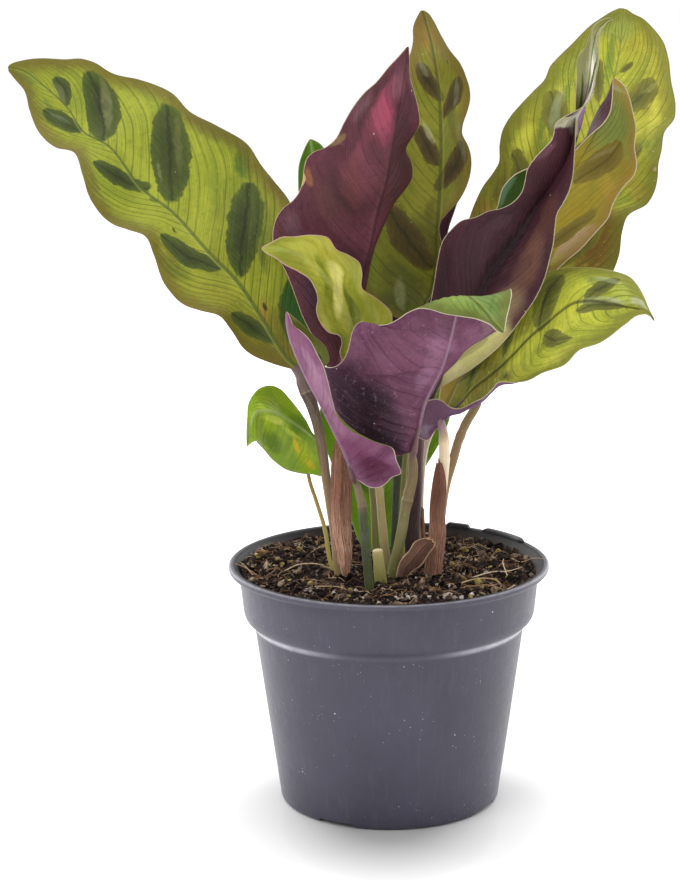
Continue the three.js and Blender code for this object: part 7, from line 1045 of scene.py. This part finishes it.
def build_soil():
    nr, na = ((78, 420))
    a = np.arange(na) / na * 2 * math.pi
    rs = np.linspace(0, 1, nr + 1)[1:]
    rim = 55.3
    X = np.outer(rs * rim, np.cos(a))
    Y = np.outer(rs * rim, np.sin(a))
    Z = soil_top(X, Y)
    rows = [np.stack([X, Y, Z], -1)]
    for z in (86.5, 82.0, 74.5, 72.0, 69.0, 40.0, 5.0):
        rr = wall_r(z) - 0.45
        rows.append(np.stack([rr * np.cos(a), rr * np.sin(a), a * 0 + z], -1)[None])
    G = np.concatenate(rows)
    V = np.concatenate([[[0, 0, float(soil_top(np.array([0.0]), np.array([0.0]))[0])]], G.reshape(-1, 3), [[0, 0, 5.0]]])
    idx = 1 + np.arange(G.shape[0] * na).reshape(G.shape[0], na)
    F = []
    j2 = (np.arange(na) + 1) % na
    q = np.stack([idx[:-1], idx[1:], idx[1:][:, j2], idx[:-1][:, j2]], -1).reshape(-1, 4)
    F += q.tolist()
    F += [[0, idx[0][j], idx[0][j2[j]]] for j in range(na)]
    e = len(V) - 1
    F += [[e, idx[-1][j2[j]], idx[-1][j]] for j in range(na)]
    k = Mat("peat", rough=0.95, spec=0.15)
    ob = k.obj()
    n1, n2, n3 = k.noise(ob, 0.12, 4, 0.6), k.noise(ob, 0.9, 4, 0.7), k.noise(ob, 2.6, 3, 0.7)
    col = k.ramp(n2, [(0.28, "0c0908"), (0.47, "1d1512"), (0.60, "3a2c26"), (0.74, "665243")])
    col = k.mix(k.mul(k.lstep(n1, 0.45, 0.7), 0.25), col, hexc("43342a"))
    v = k.voronoi(ob, 0.9, "F1", 1.0, 1)
    col = k.mix(k.sstep(k.node_out("SeparateXYZ", v)[0], 0.90, 0.93, 0.0, 0.55), col, hexc("5f4c38"))
    m = k.done(col, k.mad(n3, 0.1, 0.86), k.bump(k.mad(n3, 0.6, n2), 0.0012, 1.0))
    o = make("soil_surface", V, F, None, (m,), None, sharp=0)
    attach(o, "root")
    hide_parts("soil")


build_soil()


def lump_mesh(level):
    bm = bmesh.new()
    bmesh.ops.create_icosphere(bm, subdivisions=level, radius=1.0)
    V = np.array([v.co[:] for v in bm.verts])
    F = np.array([[v.index for v in f.verts] for f in bm.faces])
    bm.free()
    return V, F


def scatter(name, pts, size, level, mat, squash=(0.55, 1.0), rough=0.35, long=(1.0, 1.6), sink=0.25, tilt=1.0):
    """lumps of uneven shape on the soil, in one mesh; the map R holds two random numbers for each lump"""
    V0, F0 = lump_mesh(level)
    n = len(pts)
    out, F, U = [], [], []
    for i in range(n):
        x, y = pts[i][:2]
        s = size[i]
        sc = np.array([rng.uniform(*long), 1.0, rng.uniform(*squash)]) * s
        k1 = 1 + rough * (vnoise(V0 * 1.3 + i * 7.1, i) - 0.5) * 2 + rough * 0.6 * (vnoise(V0 * 3.1 + i * 3.7, i + 9) - 0.5)
        P = V0 * k1[:, None] * sc
        e = rng.uniform(-1, 1, 3) * np.array([tilt, tilt, math.pi])
        ca, sa = np.cos(e), np.sin(e)
        Rx = np.array([[1, 0, 0], [0, ca[0], -sa[0]], [0, sa[0], ca[0]]])
        Ry = np.array([[ca[1], 0, sa[1]], [0, 1, 0], [-sa[1], 0, ca[1]]])
        Rz = np.array([[ca[2], -sa[2], 0], [sa[2], ca[2], 0], [0, 0, 1]])
        P = P @ (Rz @ Ry @ Rx).T
        z = pts[i][2] if len(pts[i]) > 2 else float(soil_top(np.array([x]), np.array([y]))[0]) + s * (0.5 - sink)
        out.append(P + [x, y, z])
        F.append(F0 + i * len(V0))
        U.append(np.tile(rng.random(2), (len(V0), 1)))
    o = make(name, np.concatenate(out), np.concatenate(F).tolist(), {"R": np.concatenate(U)}, (mat,), None, sharp=0)
    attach(o, "root")
    return o


def rand_disc(n, rmax=55.0, rmin=0.0):
    r = np.sqrt(rng.uniform((rmin / rmax) ** 2, 1, n)) * rmax
    a = rng.uniform(0, 2 * math.pi, n)
    return np.stack([r * np.cos(a), r * np.sin(a)], -1)


def crumb_mat(name, stops, rough=0.9, spec=0.15, bump=1.0, size=2.5):
    k = Mat(name, spec=spec)
    ob = k.obj()
    R = k.node_out("SeparateXYZ", k.uv("R"))
    n1 = k.noise(ob, size * 0.4, 3, 0.65)
    f = k.mad(k.sub(n1, 0.5), 0.70, R[0])
    col = k.ramp(f, stops)
    n2 = k.noise(ob, size, 3, 0.7)
    col = k.mix(k.lstep(n2, 0.45, 0.8, 0.0, 0.45), col, hexc("1c130f"))
    return k.done(col, k.mad(n2, 0.1, rough - 0.05), k.bump(n2, 0.0006, bump))


many = 1.0
peat_m = crumb_mat("peat_crumb", [(0.0, "0d0908"), (0.30, "1e1512"), (0.52, "382a24"), (0.70, "57433a"), (0.84, "806858"), (0.94, "ad947c"), (1.0, "d0bca2")])
n = int(5200 * many)
scatter("soil_crumbs", rand_disc(n), np.clip(rng.lognormal(-0.95, 0.46, n), 0.2, 1.3), 1, peat_m, rough=0.85, squash=(0.3, 0.9), long=(1.0, 2.4))
n = int(340 * many)
scatter("soil_clods", rand_disc(n, 52.5), np.clip(rng.lognormal(-0.15, 0.32, n), 0.6, 1.6), 2, peat_m, rough=1.0, sink=0.5, squash=(0.4, 0.9), long=(1.0, 2.0))
bark_m = crumb_mat("bark_bit", [(0.0, "3a251a"), (0.40, "5e4029"), (0.65, "86623f"), (0.88, "ae8c5e"), (1.0, "cdb684")], rough=0.8)
n = int(260 * many)
scatter("bark_bits", rand_disc(n, 52.5), np.clip(rng.lognormal(-0.75, 0.40, n), 0.22, 1.0), 1, bark_m, long=(1.3, 3.0), squash=(0.3, 0.7), rough=0.4, sink=0.05)
clay_m = crumb_mat("clay_grain", [(0.0, "8a7838"), (0.4, "ad9a4c"), (0.7, "c4b26a"), (1.0, "dccf9c")], rough=0.75)
clay = [(-34, 22, 1.5), (-25, 30, 1.3), (-29, -26, 1.2), (-36, -22, 1.1), (-8, 33, 1.2), (29, 26, 1.3), (33, -22, 1.9), (27, 18, 1.2), (24, 4, 1.0), (38, 2, 0.9), (-22, 12, 1.0), (12, 36, 1.3), (-40, 2, 0.9), (42, 20, 1.1), (-14, -30, 0.9), (30, -36, 0.8)]
extra = rand_disc(int(40 * many), 52)
scatter("clay_grains", [c[:2] for c in clay] + extra.tolist(), [c[2] for c in clay] + list(rng.uniform(0.3, 0.9, len(extra))), 2, clay_m, long=(1.0, 1.5), rough=0.35, sink=0.1)


def perlite_mat():
    k = Mat("perlite", spec=0.3)
    ob = k.obj()
    R = k.node_out("SeparateXYZ", k.uv("R"))
    n1, n2 = k.noise(ob, 1.2, 3, 0.6), k.voronoi(ob, 3.0, "F1", 1.0, 0)
    col = k.ramp(k.mad(k.sub(n1, 0.5), 0.6, R[0]), [(0.0, "a8978a"), (0.4, "cfc0b6"), (0.8, "e9dfd8"), (1.0, "f6f0ec")])
    col = k.mix(k.sstep(n2, 0.40, 0.12, 0.0, 0.75), col, hexc("7a5c4c"))
    col = k.mix(k.lstep(k.noise(ob, 0.8, 3, 0.7), 0.52, 0.68, 0.0, 0.6), col, hexc("5c4236"))
    return k.done(col, k.mad(n1, 0.1, 0.7), k.bump(n2, 0.0004, 0.8))


perl = [(8.0, -46.5, 1.0), (9.4, -47.6, 0.8), (7.0, -48.0, 0.7), (21.0, -45.5, 1.2), (22.8, -46.4, 1.0), (20.0, -47.2, 0.8), (23.5, -44.6, 0.7), (14.5, -49.0, 0.8), (-3.5, -50.5, 0.7), (3.5, -46.5, 0.6), (4.8, -45.6, 0.5), (-26, -32, 0.9), (-20, -38, 0.9), (-12, -30, 0.7), (-35, -14, 0.8), (26, -44, 0.8), (30, -40, 0.7), (12.5, -46.0, 1.2), (-9.5, -45, 0.7), (-30, -38, 0.6), (36, -8, 0.7), (22, -30, 0.6)]
extra = rand_disc(int(90 * many), 52.5)
scatter("perlite", [p[:2] for p in perl] + extra.tolist(), [p[2] for p in perl] + list(np.clip(rng.lognormal(-1.0, 0.4, len(extra)), 0.2, 0.8)), 2, perlite_mat(), long=(1.0, 1.6), squash=(0.6, 1.0), rough=0.75, sink=0.15)


def fibre_mat(name, stops):
    k = Mat(name, rough=0.7, spec=0.25)
    R = k.node_out("SeparateXYZ", k.uv("R"))
    n = k.noise(k.obj(), 0.8, 3, 0.6)
    return k.done(k.ramp(k.mad(k.sub(n, 0.5), 0.5, R[0]), stops), k.mad(n, 0.1, 0.62), k.bump(n, 0.0002, 0.5))


def fibres(name, paths, radius, mat):
    parts, U = [], []
    for i, P in enumerate(paths):
        P = np.asarray(P, float)
        k = np.r_[0, np.cumsum(np.linalg.norm(np.diff(P, axis=0), axis=1))]
        xyz = spl(np.c_[P, k / k[-1]], np.linspace(0, 1, max(10, 6 * len(P))))
        r = radius[i] * np.interp(np.linspace(0, 1, len(xyz)), [0, 0.12, 0.7, 1], [0.55, 1, 0.9, 0.35])
        V, F, uv = tube(xyz, r, 6)
        parts.append((V, F, np.tile(rng.random(2), (len(V), 1))))
    V, F, U = join(parts)
    o = make(name, V, F, {"R": U}, (mat,), None, sharp=0)
    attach(o, "root")


def fibre_path(x, y, length, n=6, lift=1.2, curl=0.7):
    a = rng.uniform(0, 2 * math.pi)
    P = []
    for i in range(n):
        r = math.hypot(x, y)
        if r > 54.6:
            x, y = x * 54.6 / r, y * 54.6 / r
        z = float(soil_top(np.array([x]), np.array([y]))[0])
        P.append([x, y, z + 0.3 + lift * math.sin(math.pi * i / (n - 1)) * rng.uniform(0.3, 1.0)])
        a += rng.uniform(-curl, curl)
        x, y = x + math.cos(a) * length / (n - 1), y + math.sin(a) * length / (n - 1)
    return P


def on_soil(x, y, up=0.4):
    return [x, y, float(soil_top(np.array([float(x)]), np.array([float(y)]))[0]) + up]


coir_m = fibre_mat("coir_fibre", [(0.0, "482e22"), (0.4, "7a5236"), (0.7, "a87e54"), (1.0, "d8bc94")])
n = int(420 * many)
ps = rand_disc(n, 54)
fibres("coir_fibres", [fibre_path(*p, rng.uniform(3, 13)) for p in ps], rng.uniform(0.06, 0.15, n), coir_m)
root_m = fibre_mat("root_thread", [(0.0, "ab8660"), (0.5, "cfae84"), (1.0, "ecd8b8")])
loops = [
    [on_soil(24, -30), on_soil(28, -24, 1.8), on_soil(34, -20, 2.2), on_soil(39, -22, 1.6), on_soil(41, -27, 0.6), on_soil(39, -31, 0.3)],
    [on_soil(26, -33, 0.2), on_soil(30, -30, 1.2), on_soil(37, -29, 1.8), on_soil(42, -33, 1.0), on_soil(43, -36, 0.2)],
    [on_soil(40, -36, 0.2), on_soil(43, -33, 1.6), on_soil(46, -28, 1.6), on_soil(45, -24, 0.4)],
    [on_soil(30, -12, 0.3), on_soil(38, -10, 1.2), on_soil(45, -5, 2.0), on_soil(50, -2, 1.6)],
    [on_soil(44, -14, 0.3), on_soil(43, -10, 3.0), on_soil(42.5, -6, 5.0), on_soil(43, -3, 6.0)],
    [on_soil(-44, -18, 0.3), on_soil(-48, -14, 1.5), [-53.5, -9, 91.6], [-57.5, -6, 92.3]],
    [on_soil(-46, -22, 0.4), on_soil(-50, -15, 1.5), [-53.2, -8, 91.6], [-55.6, -3, 91.9]],
    [on_soil(-40, -8, 0.3), on_soil(-33, -2, 1.2), on_soil(-26, -1, 1.0), on_soil(-20, -3, 0.2)],
    [on_soil(46, 14, 0.3), on_soil(50, 8, 1.5), [54.4, 3, 91.4], [58.6, -1, 92.3]],
    [on_soil(-30, -30, 0.2), on_soil(-24, -33, 1.2), on_soil(-17, -32, 0.9), on_soil(-13, -35, 0.2)],
]
fibres("root_threads", loops, [0.30, 0.24, 0.22, 0.26, 0.2, 0.24, 0.2, 0.26, 0.16, 0.2], root_m)


# ---------------------------------------------------------------- pot
def pot_mat():
    k = Mat("pot_plastic", rough=0.42, spec=0.55, Sheen_Weight=0.15, Sheen_Roughness=0.32)
    ob = k.obj()
    n1, n2, n3 = k.noise(ob, 0.035, 4, 0.6), k.noise(ob, 0.25, 4, 0.65), k.noise(ob, 2.2, 3, 0.7)
    so = k.node_out("SeparateXYZ", ob)
    col = k.mix(k.lstep(n1, 0.35, 0.68), hexc("3e3c4d"), hexc("474558"))
    col = k.mix(k.lstep(n2, 0.5, 0.8, 0.0, 0.3), col, hexc("3f3d4d"))
    # soil dust near the lip and in the collar's groove, and rub marks
    dust = k.mul(k.sstep(k.mad(n2, 3.0, so[2]), 88.5, 92.5), k.lstep(n3, 0.45, 0.75, 0.0, 0.3))
    col = k.mix(dust, col, hexc("8a8088"))
    streak = k.noise(k.vmath("MULTIPLY", ob, (0.5, 0.5, 0.05)), 1.0, 3, 0.6)
    col = k.mix(k.lstep(streak, 0.55, 0.8, 0.0, 0.22), col, hexc("6a6878"))
    z = so[2]
    nrm = k.node("TexCoord").outputs["Normal"]
    sn = k.node_out("SeparateXYZ", nrm)
    flat = k.vmath("NORMALIZE", k.vmath("MULTIPLY", ob, (1, 1, 0)))
    # painted shade: the inner wall and the top of the lip are coloured darker for the shade that falls there
    inner = k.mul(k.sstep(k.dot(nrm, flat), -0.1, -0.5), k.sstep(z, 3.0, 6.0))
    col = k.mix(k.mul(inner, 0.9), col, hexc("1d1b20"))
    rad = k.vmath("LENGTH", k.vmath("MULTIPLY", ob, (1, 1, 0)), out=1)
    # painted shade on the top of the lip
    lip = k.mul(k.sstep(sn[2], 0.25, 0.50), k.mul(k.sstep(z, 88.4, 89.2), k.sstep(rad, 59.0, 58.6)))
    col = k.mix(k.mul(lip, k.lstep(n2, 0.3, 0.6, 0.75, 0.95)), col, hexc("28262d"))
    # painted highlight: a thin pale line along the lip's rounded outer edge
    rim_highlight = k.mul(k.sstep(k.math("ABSOLUTE", k.sub(rad, 59.45)), 0.6, 0.25), k.mul(k.sstep(z, 90.4, 91.0), k.lstep(n2, 0.35, 0.6, 0.25, 0.8)))
    col = k.mix(rim_highlight, col, hexc("8f8d98"))
    # painted highlight: a pale band along the step under the collar, strongest at the sides where the light catches it
    step_highlight = k.mul(k.sstep(k.math("ABSOLUTE", k.sub(z, 68.9)), 1.9, 0.3), k.mad(k.sstep(k.math("ABSOLUTE", so[0]), 14.0, 42.0), 0.85, 0.06))
    col = k.mix(k.mul(step_highlight, k.lstep(n2, 0.25, 0.6, 0.6, 1.0)), col, hexc("dedce8"))
    soiled = k.mul(k.mul(lip, k.sstep(k.noise(ob, 0.16, 3, 0.6), 0.50, 0.60)), k.lstep(n3, 0.40, 0.62))
    col = k.mix(k.mul(soiled, 0.8), col, hexc("4a382c"))
    specks = None
    for sc, lo, hi, w, c, st in ((0.16, 0.80, 0.83, 0.060, "e8e6ea", 0.85), (0.45, 0.86, 0.89, 0.085, "cfccd4", 0.6), (0.30, 0.86, 0.89, 0.10, "1d1a21", 0.75)):
        v = k.voronoi(ob, sc, "F1", 1.0, 0)
        keep = k.sstep(k.node_out("SeparateXYZ", k.voronoi(ob, sc, "F1", 1.0, 1))[0], lo, hi)
        col = k.mix(k.mul(k.mul(k.sstep(v, w, w * 0.5), keep), st), col, hexc(c))
    # short pale scuffs in loose clusters
    where = k.sstep(k.noise(ob, 0.075, 2, 0.5), 0.52, 0.62)
    for sc, lo, w in (((0.9, 0.9, 0.42), 0.74, 0.17), ((0.5, 1.4, 0.9), 0.80, 0.15)):
        pv = k.vmath("MULTIPLY", ob, sc)
        v = k.voronoi(pv, 1.0, "F1", 1.0, 0)
        keep = k.sstep(k.node_out("SeparateXYZ", k.voronoi(pv, 1.0, "F1", 1.0, 1))[0], lo, lo + 0.03)
        col = k.mix(k.mul(k.mul(k.sstep(v, w, w * 0.4), keep), k.mul(where, 0.75)), col, hexc("d6d3dc"))
    scr = k.noise(k.vmath("MULTIPLY", k.vmath("ADD", ob, k.vmath("MULTIPLY", k.noise(ob, 0.2, 2, 0.5, color=True), (8, 8, 8))), (0.9, 0.9, 0.12)), 1.0, 2, 0.5)
    h = k.mad(n3, 0.35, k.mul(n2, 0.8))
    rough = k.mad(n2, 0.16, k.mad(k.lstep(scr, 0.5, 0.8), 0.08, 0.36))
    return k.done(col, rough, k.bump(h, 0.0005, 0.35))


def inner_mat():
    """the inner wall, coloured near-black as painted shade inside the pot, with peat rubbed on it near the soil"""
    k = Mat("pot_inner", spec=0.22)
    ob = k.obj()
    n2, n3 = k.noise(ob, 0.25, 4, 0.65), k.noise(ob, 2.2, 3, 0.7)
    z = k.node_out("SeparateXYZ", ob)[2]
    # near-black colours: painted shade inside the pot
    col = k.mix(k.lstep(n2, 0.35, 0.7), hexc("0f0e12"), hexc("201f26"))
    col = k.mix(k.mul(k.sstep(k.mad(n2, 2.0, z), 91.8, 89.6), k.lstep(n3, 0.42, 0.60)), col, hexc("4a382c"))
    return k.done(col, k.mad(n2, 0.15, 0.46), k.bump(n3, 0.0004, 0.4))


POT_OUT = [(11, 0), (12, 2.5), (33, 2.5), (34, 0), (40.4, 0), (41.3, 0.9), (50.3, 66.5), (51, 68.8), (53.8, 71.3), (54.5, 73.4), (56, 87.3), (56.6, 88.5), (59.5, 89.0), (60, 89.7), (60, 90.7), (59.5, 91.2), (58.9, 91.25), (58.5, 91.0), (58.2, 91.15), (57.6, 91.2), (57.0, 90.85), (55.4, 88.6), (54.6, 87), (53.3, 74), (52.5, 72.4), (49.5, 69.6), (49.1, 67.2), (40.6, 4)]


def rounded(profile, radius, n=4):
    """a profile with its corners rounded"""
    P = np.asarray(profile, float)
    out = [P[0]]
    for i in range(1, len(P) - 1):
        a, b, c = P[i - 1], P[i], P[i + 1]
        u, v = a - b, c - b
        la, lc = np.linalg.norm(u), np.linalg.norm(v)
        d = min(radius, 0.42 * la, 0.42 * lc)
        p, q = b + u / la * d, b + v / lc * d
        for t in np.linspace(0, 1, n):
            out.append((1 - t) ** 2 * p + 2 * t * (1 - t) * b + t * t * q)
    out.append(P[-1])
    return np.array(out)


def build_pot():
    prof = rounded(POT_OUT, 0.8, 5)
    # more rows on the long walls
    rows = [prof[0]]
    for a, b in zip(prof[:-1], prof[1:]):
        m = max(1, int(np.linalg.norm(b - a) / 6.0))
        rows += [a + (b - a) * (i + 1) / m for i in range(m)]
    prof = np.array(rows)
    # an offset for a ring inside the lip, left at zero
    ring = 0.0 * prof[:, 0]
    na = 288
    a = np.arange(na) / na * 2 * math.pi
    R, Z = prof[:, 0][:, None], (prof[:, 1] + ring)[:, None]
    R = np.repeat(R, na, 1)
    Z = np.repeat(Z, na, 1).copy()
    # four drain notches in the foot ring
    deg = np.degrees(a)
    for c in NOTCH_AT:
        d = np.abs((deg - c + 180) % 360 - 180)
        k = smooth01((10.6 - d) / 1.0)
        foot = (R > 33.2) & (R < 42)
        Z = np.where(foot, np.maximum(Z, 1.6 * k[None, :] * (Z < 1.6)), Z)
    # the soft wall isn't quite round
    soft = 0.16 * np.sin(2 * a + 0.6) + 0.10 * np.sin(3 * a + 2.0)
    R = R + soft[None, :] * smooth01((Z - 4) / 30.0) * smooth01((88 - Z) / 10.0)
    G = np.stack([R * np.cos(a), R * np.sin(a), Z], -1)
    V = np.concatenate([[[0, 0, 0]], G.reshape(-1, 3), [[0, 0, 4]]])
    idx = 1 + np.arange(len(G) * na).reshape(len(G), na)
    j2 = (np.arange(na) + 1) % na
    F = np.stack([idx[:-1], idx[:-1][:, j2], idx[1:][:, j2], idx[1:]], -1).reshape(-1, 4).tolist()
    F += [[0, idx[0][j2[j]], idx[0][j]] for j in range(na)]
    e = len(V) - 1
    F += [[e, idx[-1][j], idx[-1][j2[j]]] for j in range(na)]
    lip = next(i for i, p in enumerate(prof) if p[0] < 58.3 and p[1] > 90)
    inside = [1 if i >= lip else 0 for i in range(len(G) - 1) for _ in range(na)] + [0] * na + [1] * na
    o = make("pot_body", V, F, None, (pot_mat(), inner_mat()), inside, sharp=42)
    # drain holes through the floor
    bm = bmesh.new()
    for i in range(6):
        t = math.radians(60 * i)
        bmesh.ops.create_cone(bm, cap_ends=True, segments=32, radius1=0.0038, radius2=0.0038, depth=0.012, matrix=Matrix.Translation((0.022 * math.cos(t), 0.022 * math.sin(t), 0.003)))
    me = bpy.data.meshes.new("hole_cutter")
    bm.to_mesh(me)
    bm.free()
    cut = bpy.data.objects.new("hole_cutter", me)
    bpy.context.scene.collection.objects.link(cut)
    mod = o.modifiers.new("holes", "BOOLEAN")
    mod.operation = "DIFFERENCE"
    mod.solver = "EXACT"
    mod.object = cut
    bpy.context.view_layer.update()
    new = bpy.data.meshes.new_from_object(o.evaluated_get(bpy.context.evaluated_depsgraph_get()))
    o.modifiers.clear()
    old = o.data
    o.data = new
    new.name = "pot_body"
    bpy.data.meshes.remove(old)
    bpy.data.objects.remove(cut)
    bpy.data.meshes.remove(me)
    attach(o, "root")
    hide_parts("pot")
    return o


build_pot()


def clip(name, a0, a1, mat):
    """a label clip on the lip: a low bar with rounded edges and a lengthwise slot line"""
    n = 24
    th = np.radians(np.linspace(a0, a1, n))
    sec = [(57.0, 90.7), (56.95, 92.2), (57.2, 92.55), (57.8, 92.62), (57.95, 92.3), (58.1, 92.62), (58.8, 92.55), (59.05, 92.2), (59.0, 90.7)]
    sec = np.array(sec)
    rows = []
    for i, t in enumerate(th):
        e = min(i, n - 1 - i)
        k = 1.0 if e > 1 else (0.86 if e == 1 else 0.55)
        c = np.array([57.9, 91.0])
        s2 = c + (sec - c) * [1, 1] * np.array([1 if e > 0 else 0.8, k])
        rows.append(np.stack([s2[:, 0] * math.cos(t), s2[:, 0] * math.sin(t), s2[:, 1]], -1))
    G = np.array(rows)
    m = G.shape[1]
    idx = np.arange(n * m).reshape(n, m)
    j2 = (np.arange(m) + 1) % m
    F = np.stack([idx[:-1], idx[:-1][:, j2], idx[1:][:, j2], idx[1:]], -1).reshape(-1, 4)[:, ::-1].tolist()
    F.append(idx[0].tolist())
    F.append(idx[-1][::-1].tolist())
    o = make(name, G.reshape(-1, 3), F, None, (mat,), None, sharp=40)
    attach(o, "root")
    return o


dark_m = Mat("pot_clip", spec=0.5)
_n = dark_m.noise(dark_m.obj(), 0.6, 4, 0.65)
dark_m = dark_m.done(dark_m.mix(dark_m.lstep(_n, 0.35, 0.75), hexc("1c1b21"), hexc("34323b")), dark_m.mad(_n, 0.2, 0.3), dark_m.bump(_n, 0.0003, 0.4))
clip("lip_clip_short", 57.0, 66.5, dark_m)
clip("lip_clip_long", 27.5, 50.0, dark_m)


# ---------------------------------------------------------------- stage, light and camera
def plane(name, size, z=0.0):
    me = bpy.data.meshes.new(name)
    me.from_pydata([(-size, -size, z), (size, -size, z), (size, size, z), (-size, size, z)], [], [(0, 1, 2, 3)])
    o = bpy.data.objects.new(name, me)
    bpy.context.scene.collection.objects.link(o)
    return o


floor = plane("floor", 14.0, -0.0001)
k = Mat("pale_floor_painted_shadow", rough=0.75, spec=0.2)
_n = k.noise(k.obj(1.0), 6.0, 3, 0.5)
# painted shadow: the floor is darkened in a soft patch around the pot's foot, centred a little in front of it, as a
# painted contact shadow; further out it is an even pale grey
_r = k.vmath("LENGTH", k.vmath("MULTIPLY", k.vmath("ADD", k.obj(1.0), (0, 0.030, 0)), (1.5, 1, 0)), out=1)
_floor_shadow = k.mix(k.lstep(_n, 0.3, 0.7), (0.40, 0.40, 0.40, 1), (0.42, 0.42, 0.42, 1))
_floor_shadow = k.mix(k.lstep(_r, 0.022, 0.062), _floor_shadow, (0.74, 0.74, 0.74, 1))
_floor_shadow = k.mix(k.lstep(_r, 0.058, 0.095), _floor_shadow, (0.87, 0.87, 0.87, 1))
floor.data.materials.append(k.done(k.mix(k.sstep(_r, 0.09, 0.8), _floor_shadow, (0.975, 0.975, 0.975, 1))))

world = bpy.data.worlds.new("studio")
bpy.context.scene.world = world
world.use_nodes = True
bg = world.node_tree.nodes["Background"]
bg.inputs[0].default_value = (1.0, 1.0, 1.0, 1)
bg.inputs[1].default_value = 1.04


def area(name, at, to, size, power, color=(1, 1, 1)):
    l = bpy.data.lights.new(name, "AREA")
    l.shape = "RECTANGLE"
    l.size, l.size_y = size
    l.energy = power
    l.color = color
    o = bpy.data.objects.new(name, l)
    o.location = at
    o.rotation_euler = (Vector(to) - Vector(at)).to_track_quat("-Z", "Y").to_euler()
    bpy.context.scene.collection.objects.link(o)


area("key", (-0.9, -0.9, 1.25), (0, 0, 0.15), (0.9, 0.9), 7)
area("top", (0.0, 0.25, 1.5), (0, 0, 0.1), (1.1, 1.1), 7)
area("back_left", (-0.80, 0.80, 0.40), (0, 0, 0.10), (0.8, 1.0), 8)
area("back_right", (0.80, 0.80, 0.40), (0, 0, 0.10), (0.8, 1.0), 9)

cam = bpy.data.cameras.new("camera")
cam.sensor_fit = "VERTICAL"
cam.sensor_height = 36.0
cam.lens = 2630.0 / 885.0 * 36.0
cam.clip_start, cam.clip_end = 0.02, 60.0
co = bpy.data.objects.new("camera", cam)
bpy.context.scene.collection.objects.link(co)
pitch, yaw, roll = math.radians(12.7555), math.radians(-1.0728), math.radians(-0.5027)
fwd = Vector((math.cos(pitch) * math.sin(yaw), math.cos(pitch) * math.cos(yaw), -math.sin(pitch)))
right = Vector((math.cos(yaw), -math.sin(yaw), 0.0))
upv = right.cross(fwd)
Rv = math.cos(roll) * right + math.sin(roll) * upv
Uv = -math.sin(roll) * right + math.cos(roll) * upv
M = Matrix((Rv, Uv, -fwd)).transposed().to_4x4()
M.translation = Vector((0.0, -0.95209, 0.35255))
co.matrix_world = M
bpy.context.scene.camera = co
bpy.context.scene.view_settings.view_transform = "Standard"
bpy.context.scene.view_settings.look = "None"

bpy.context.view_layer.update()
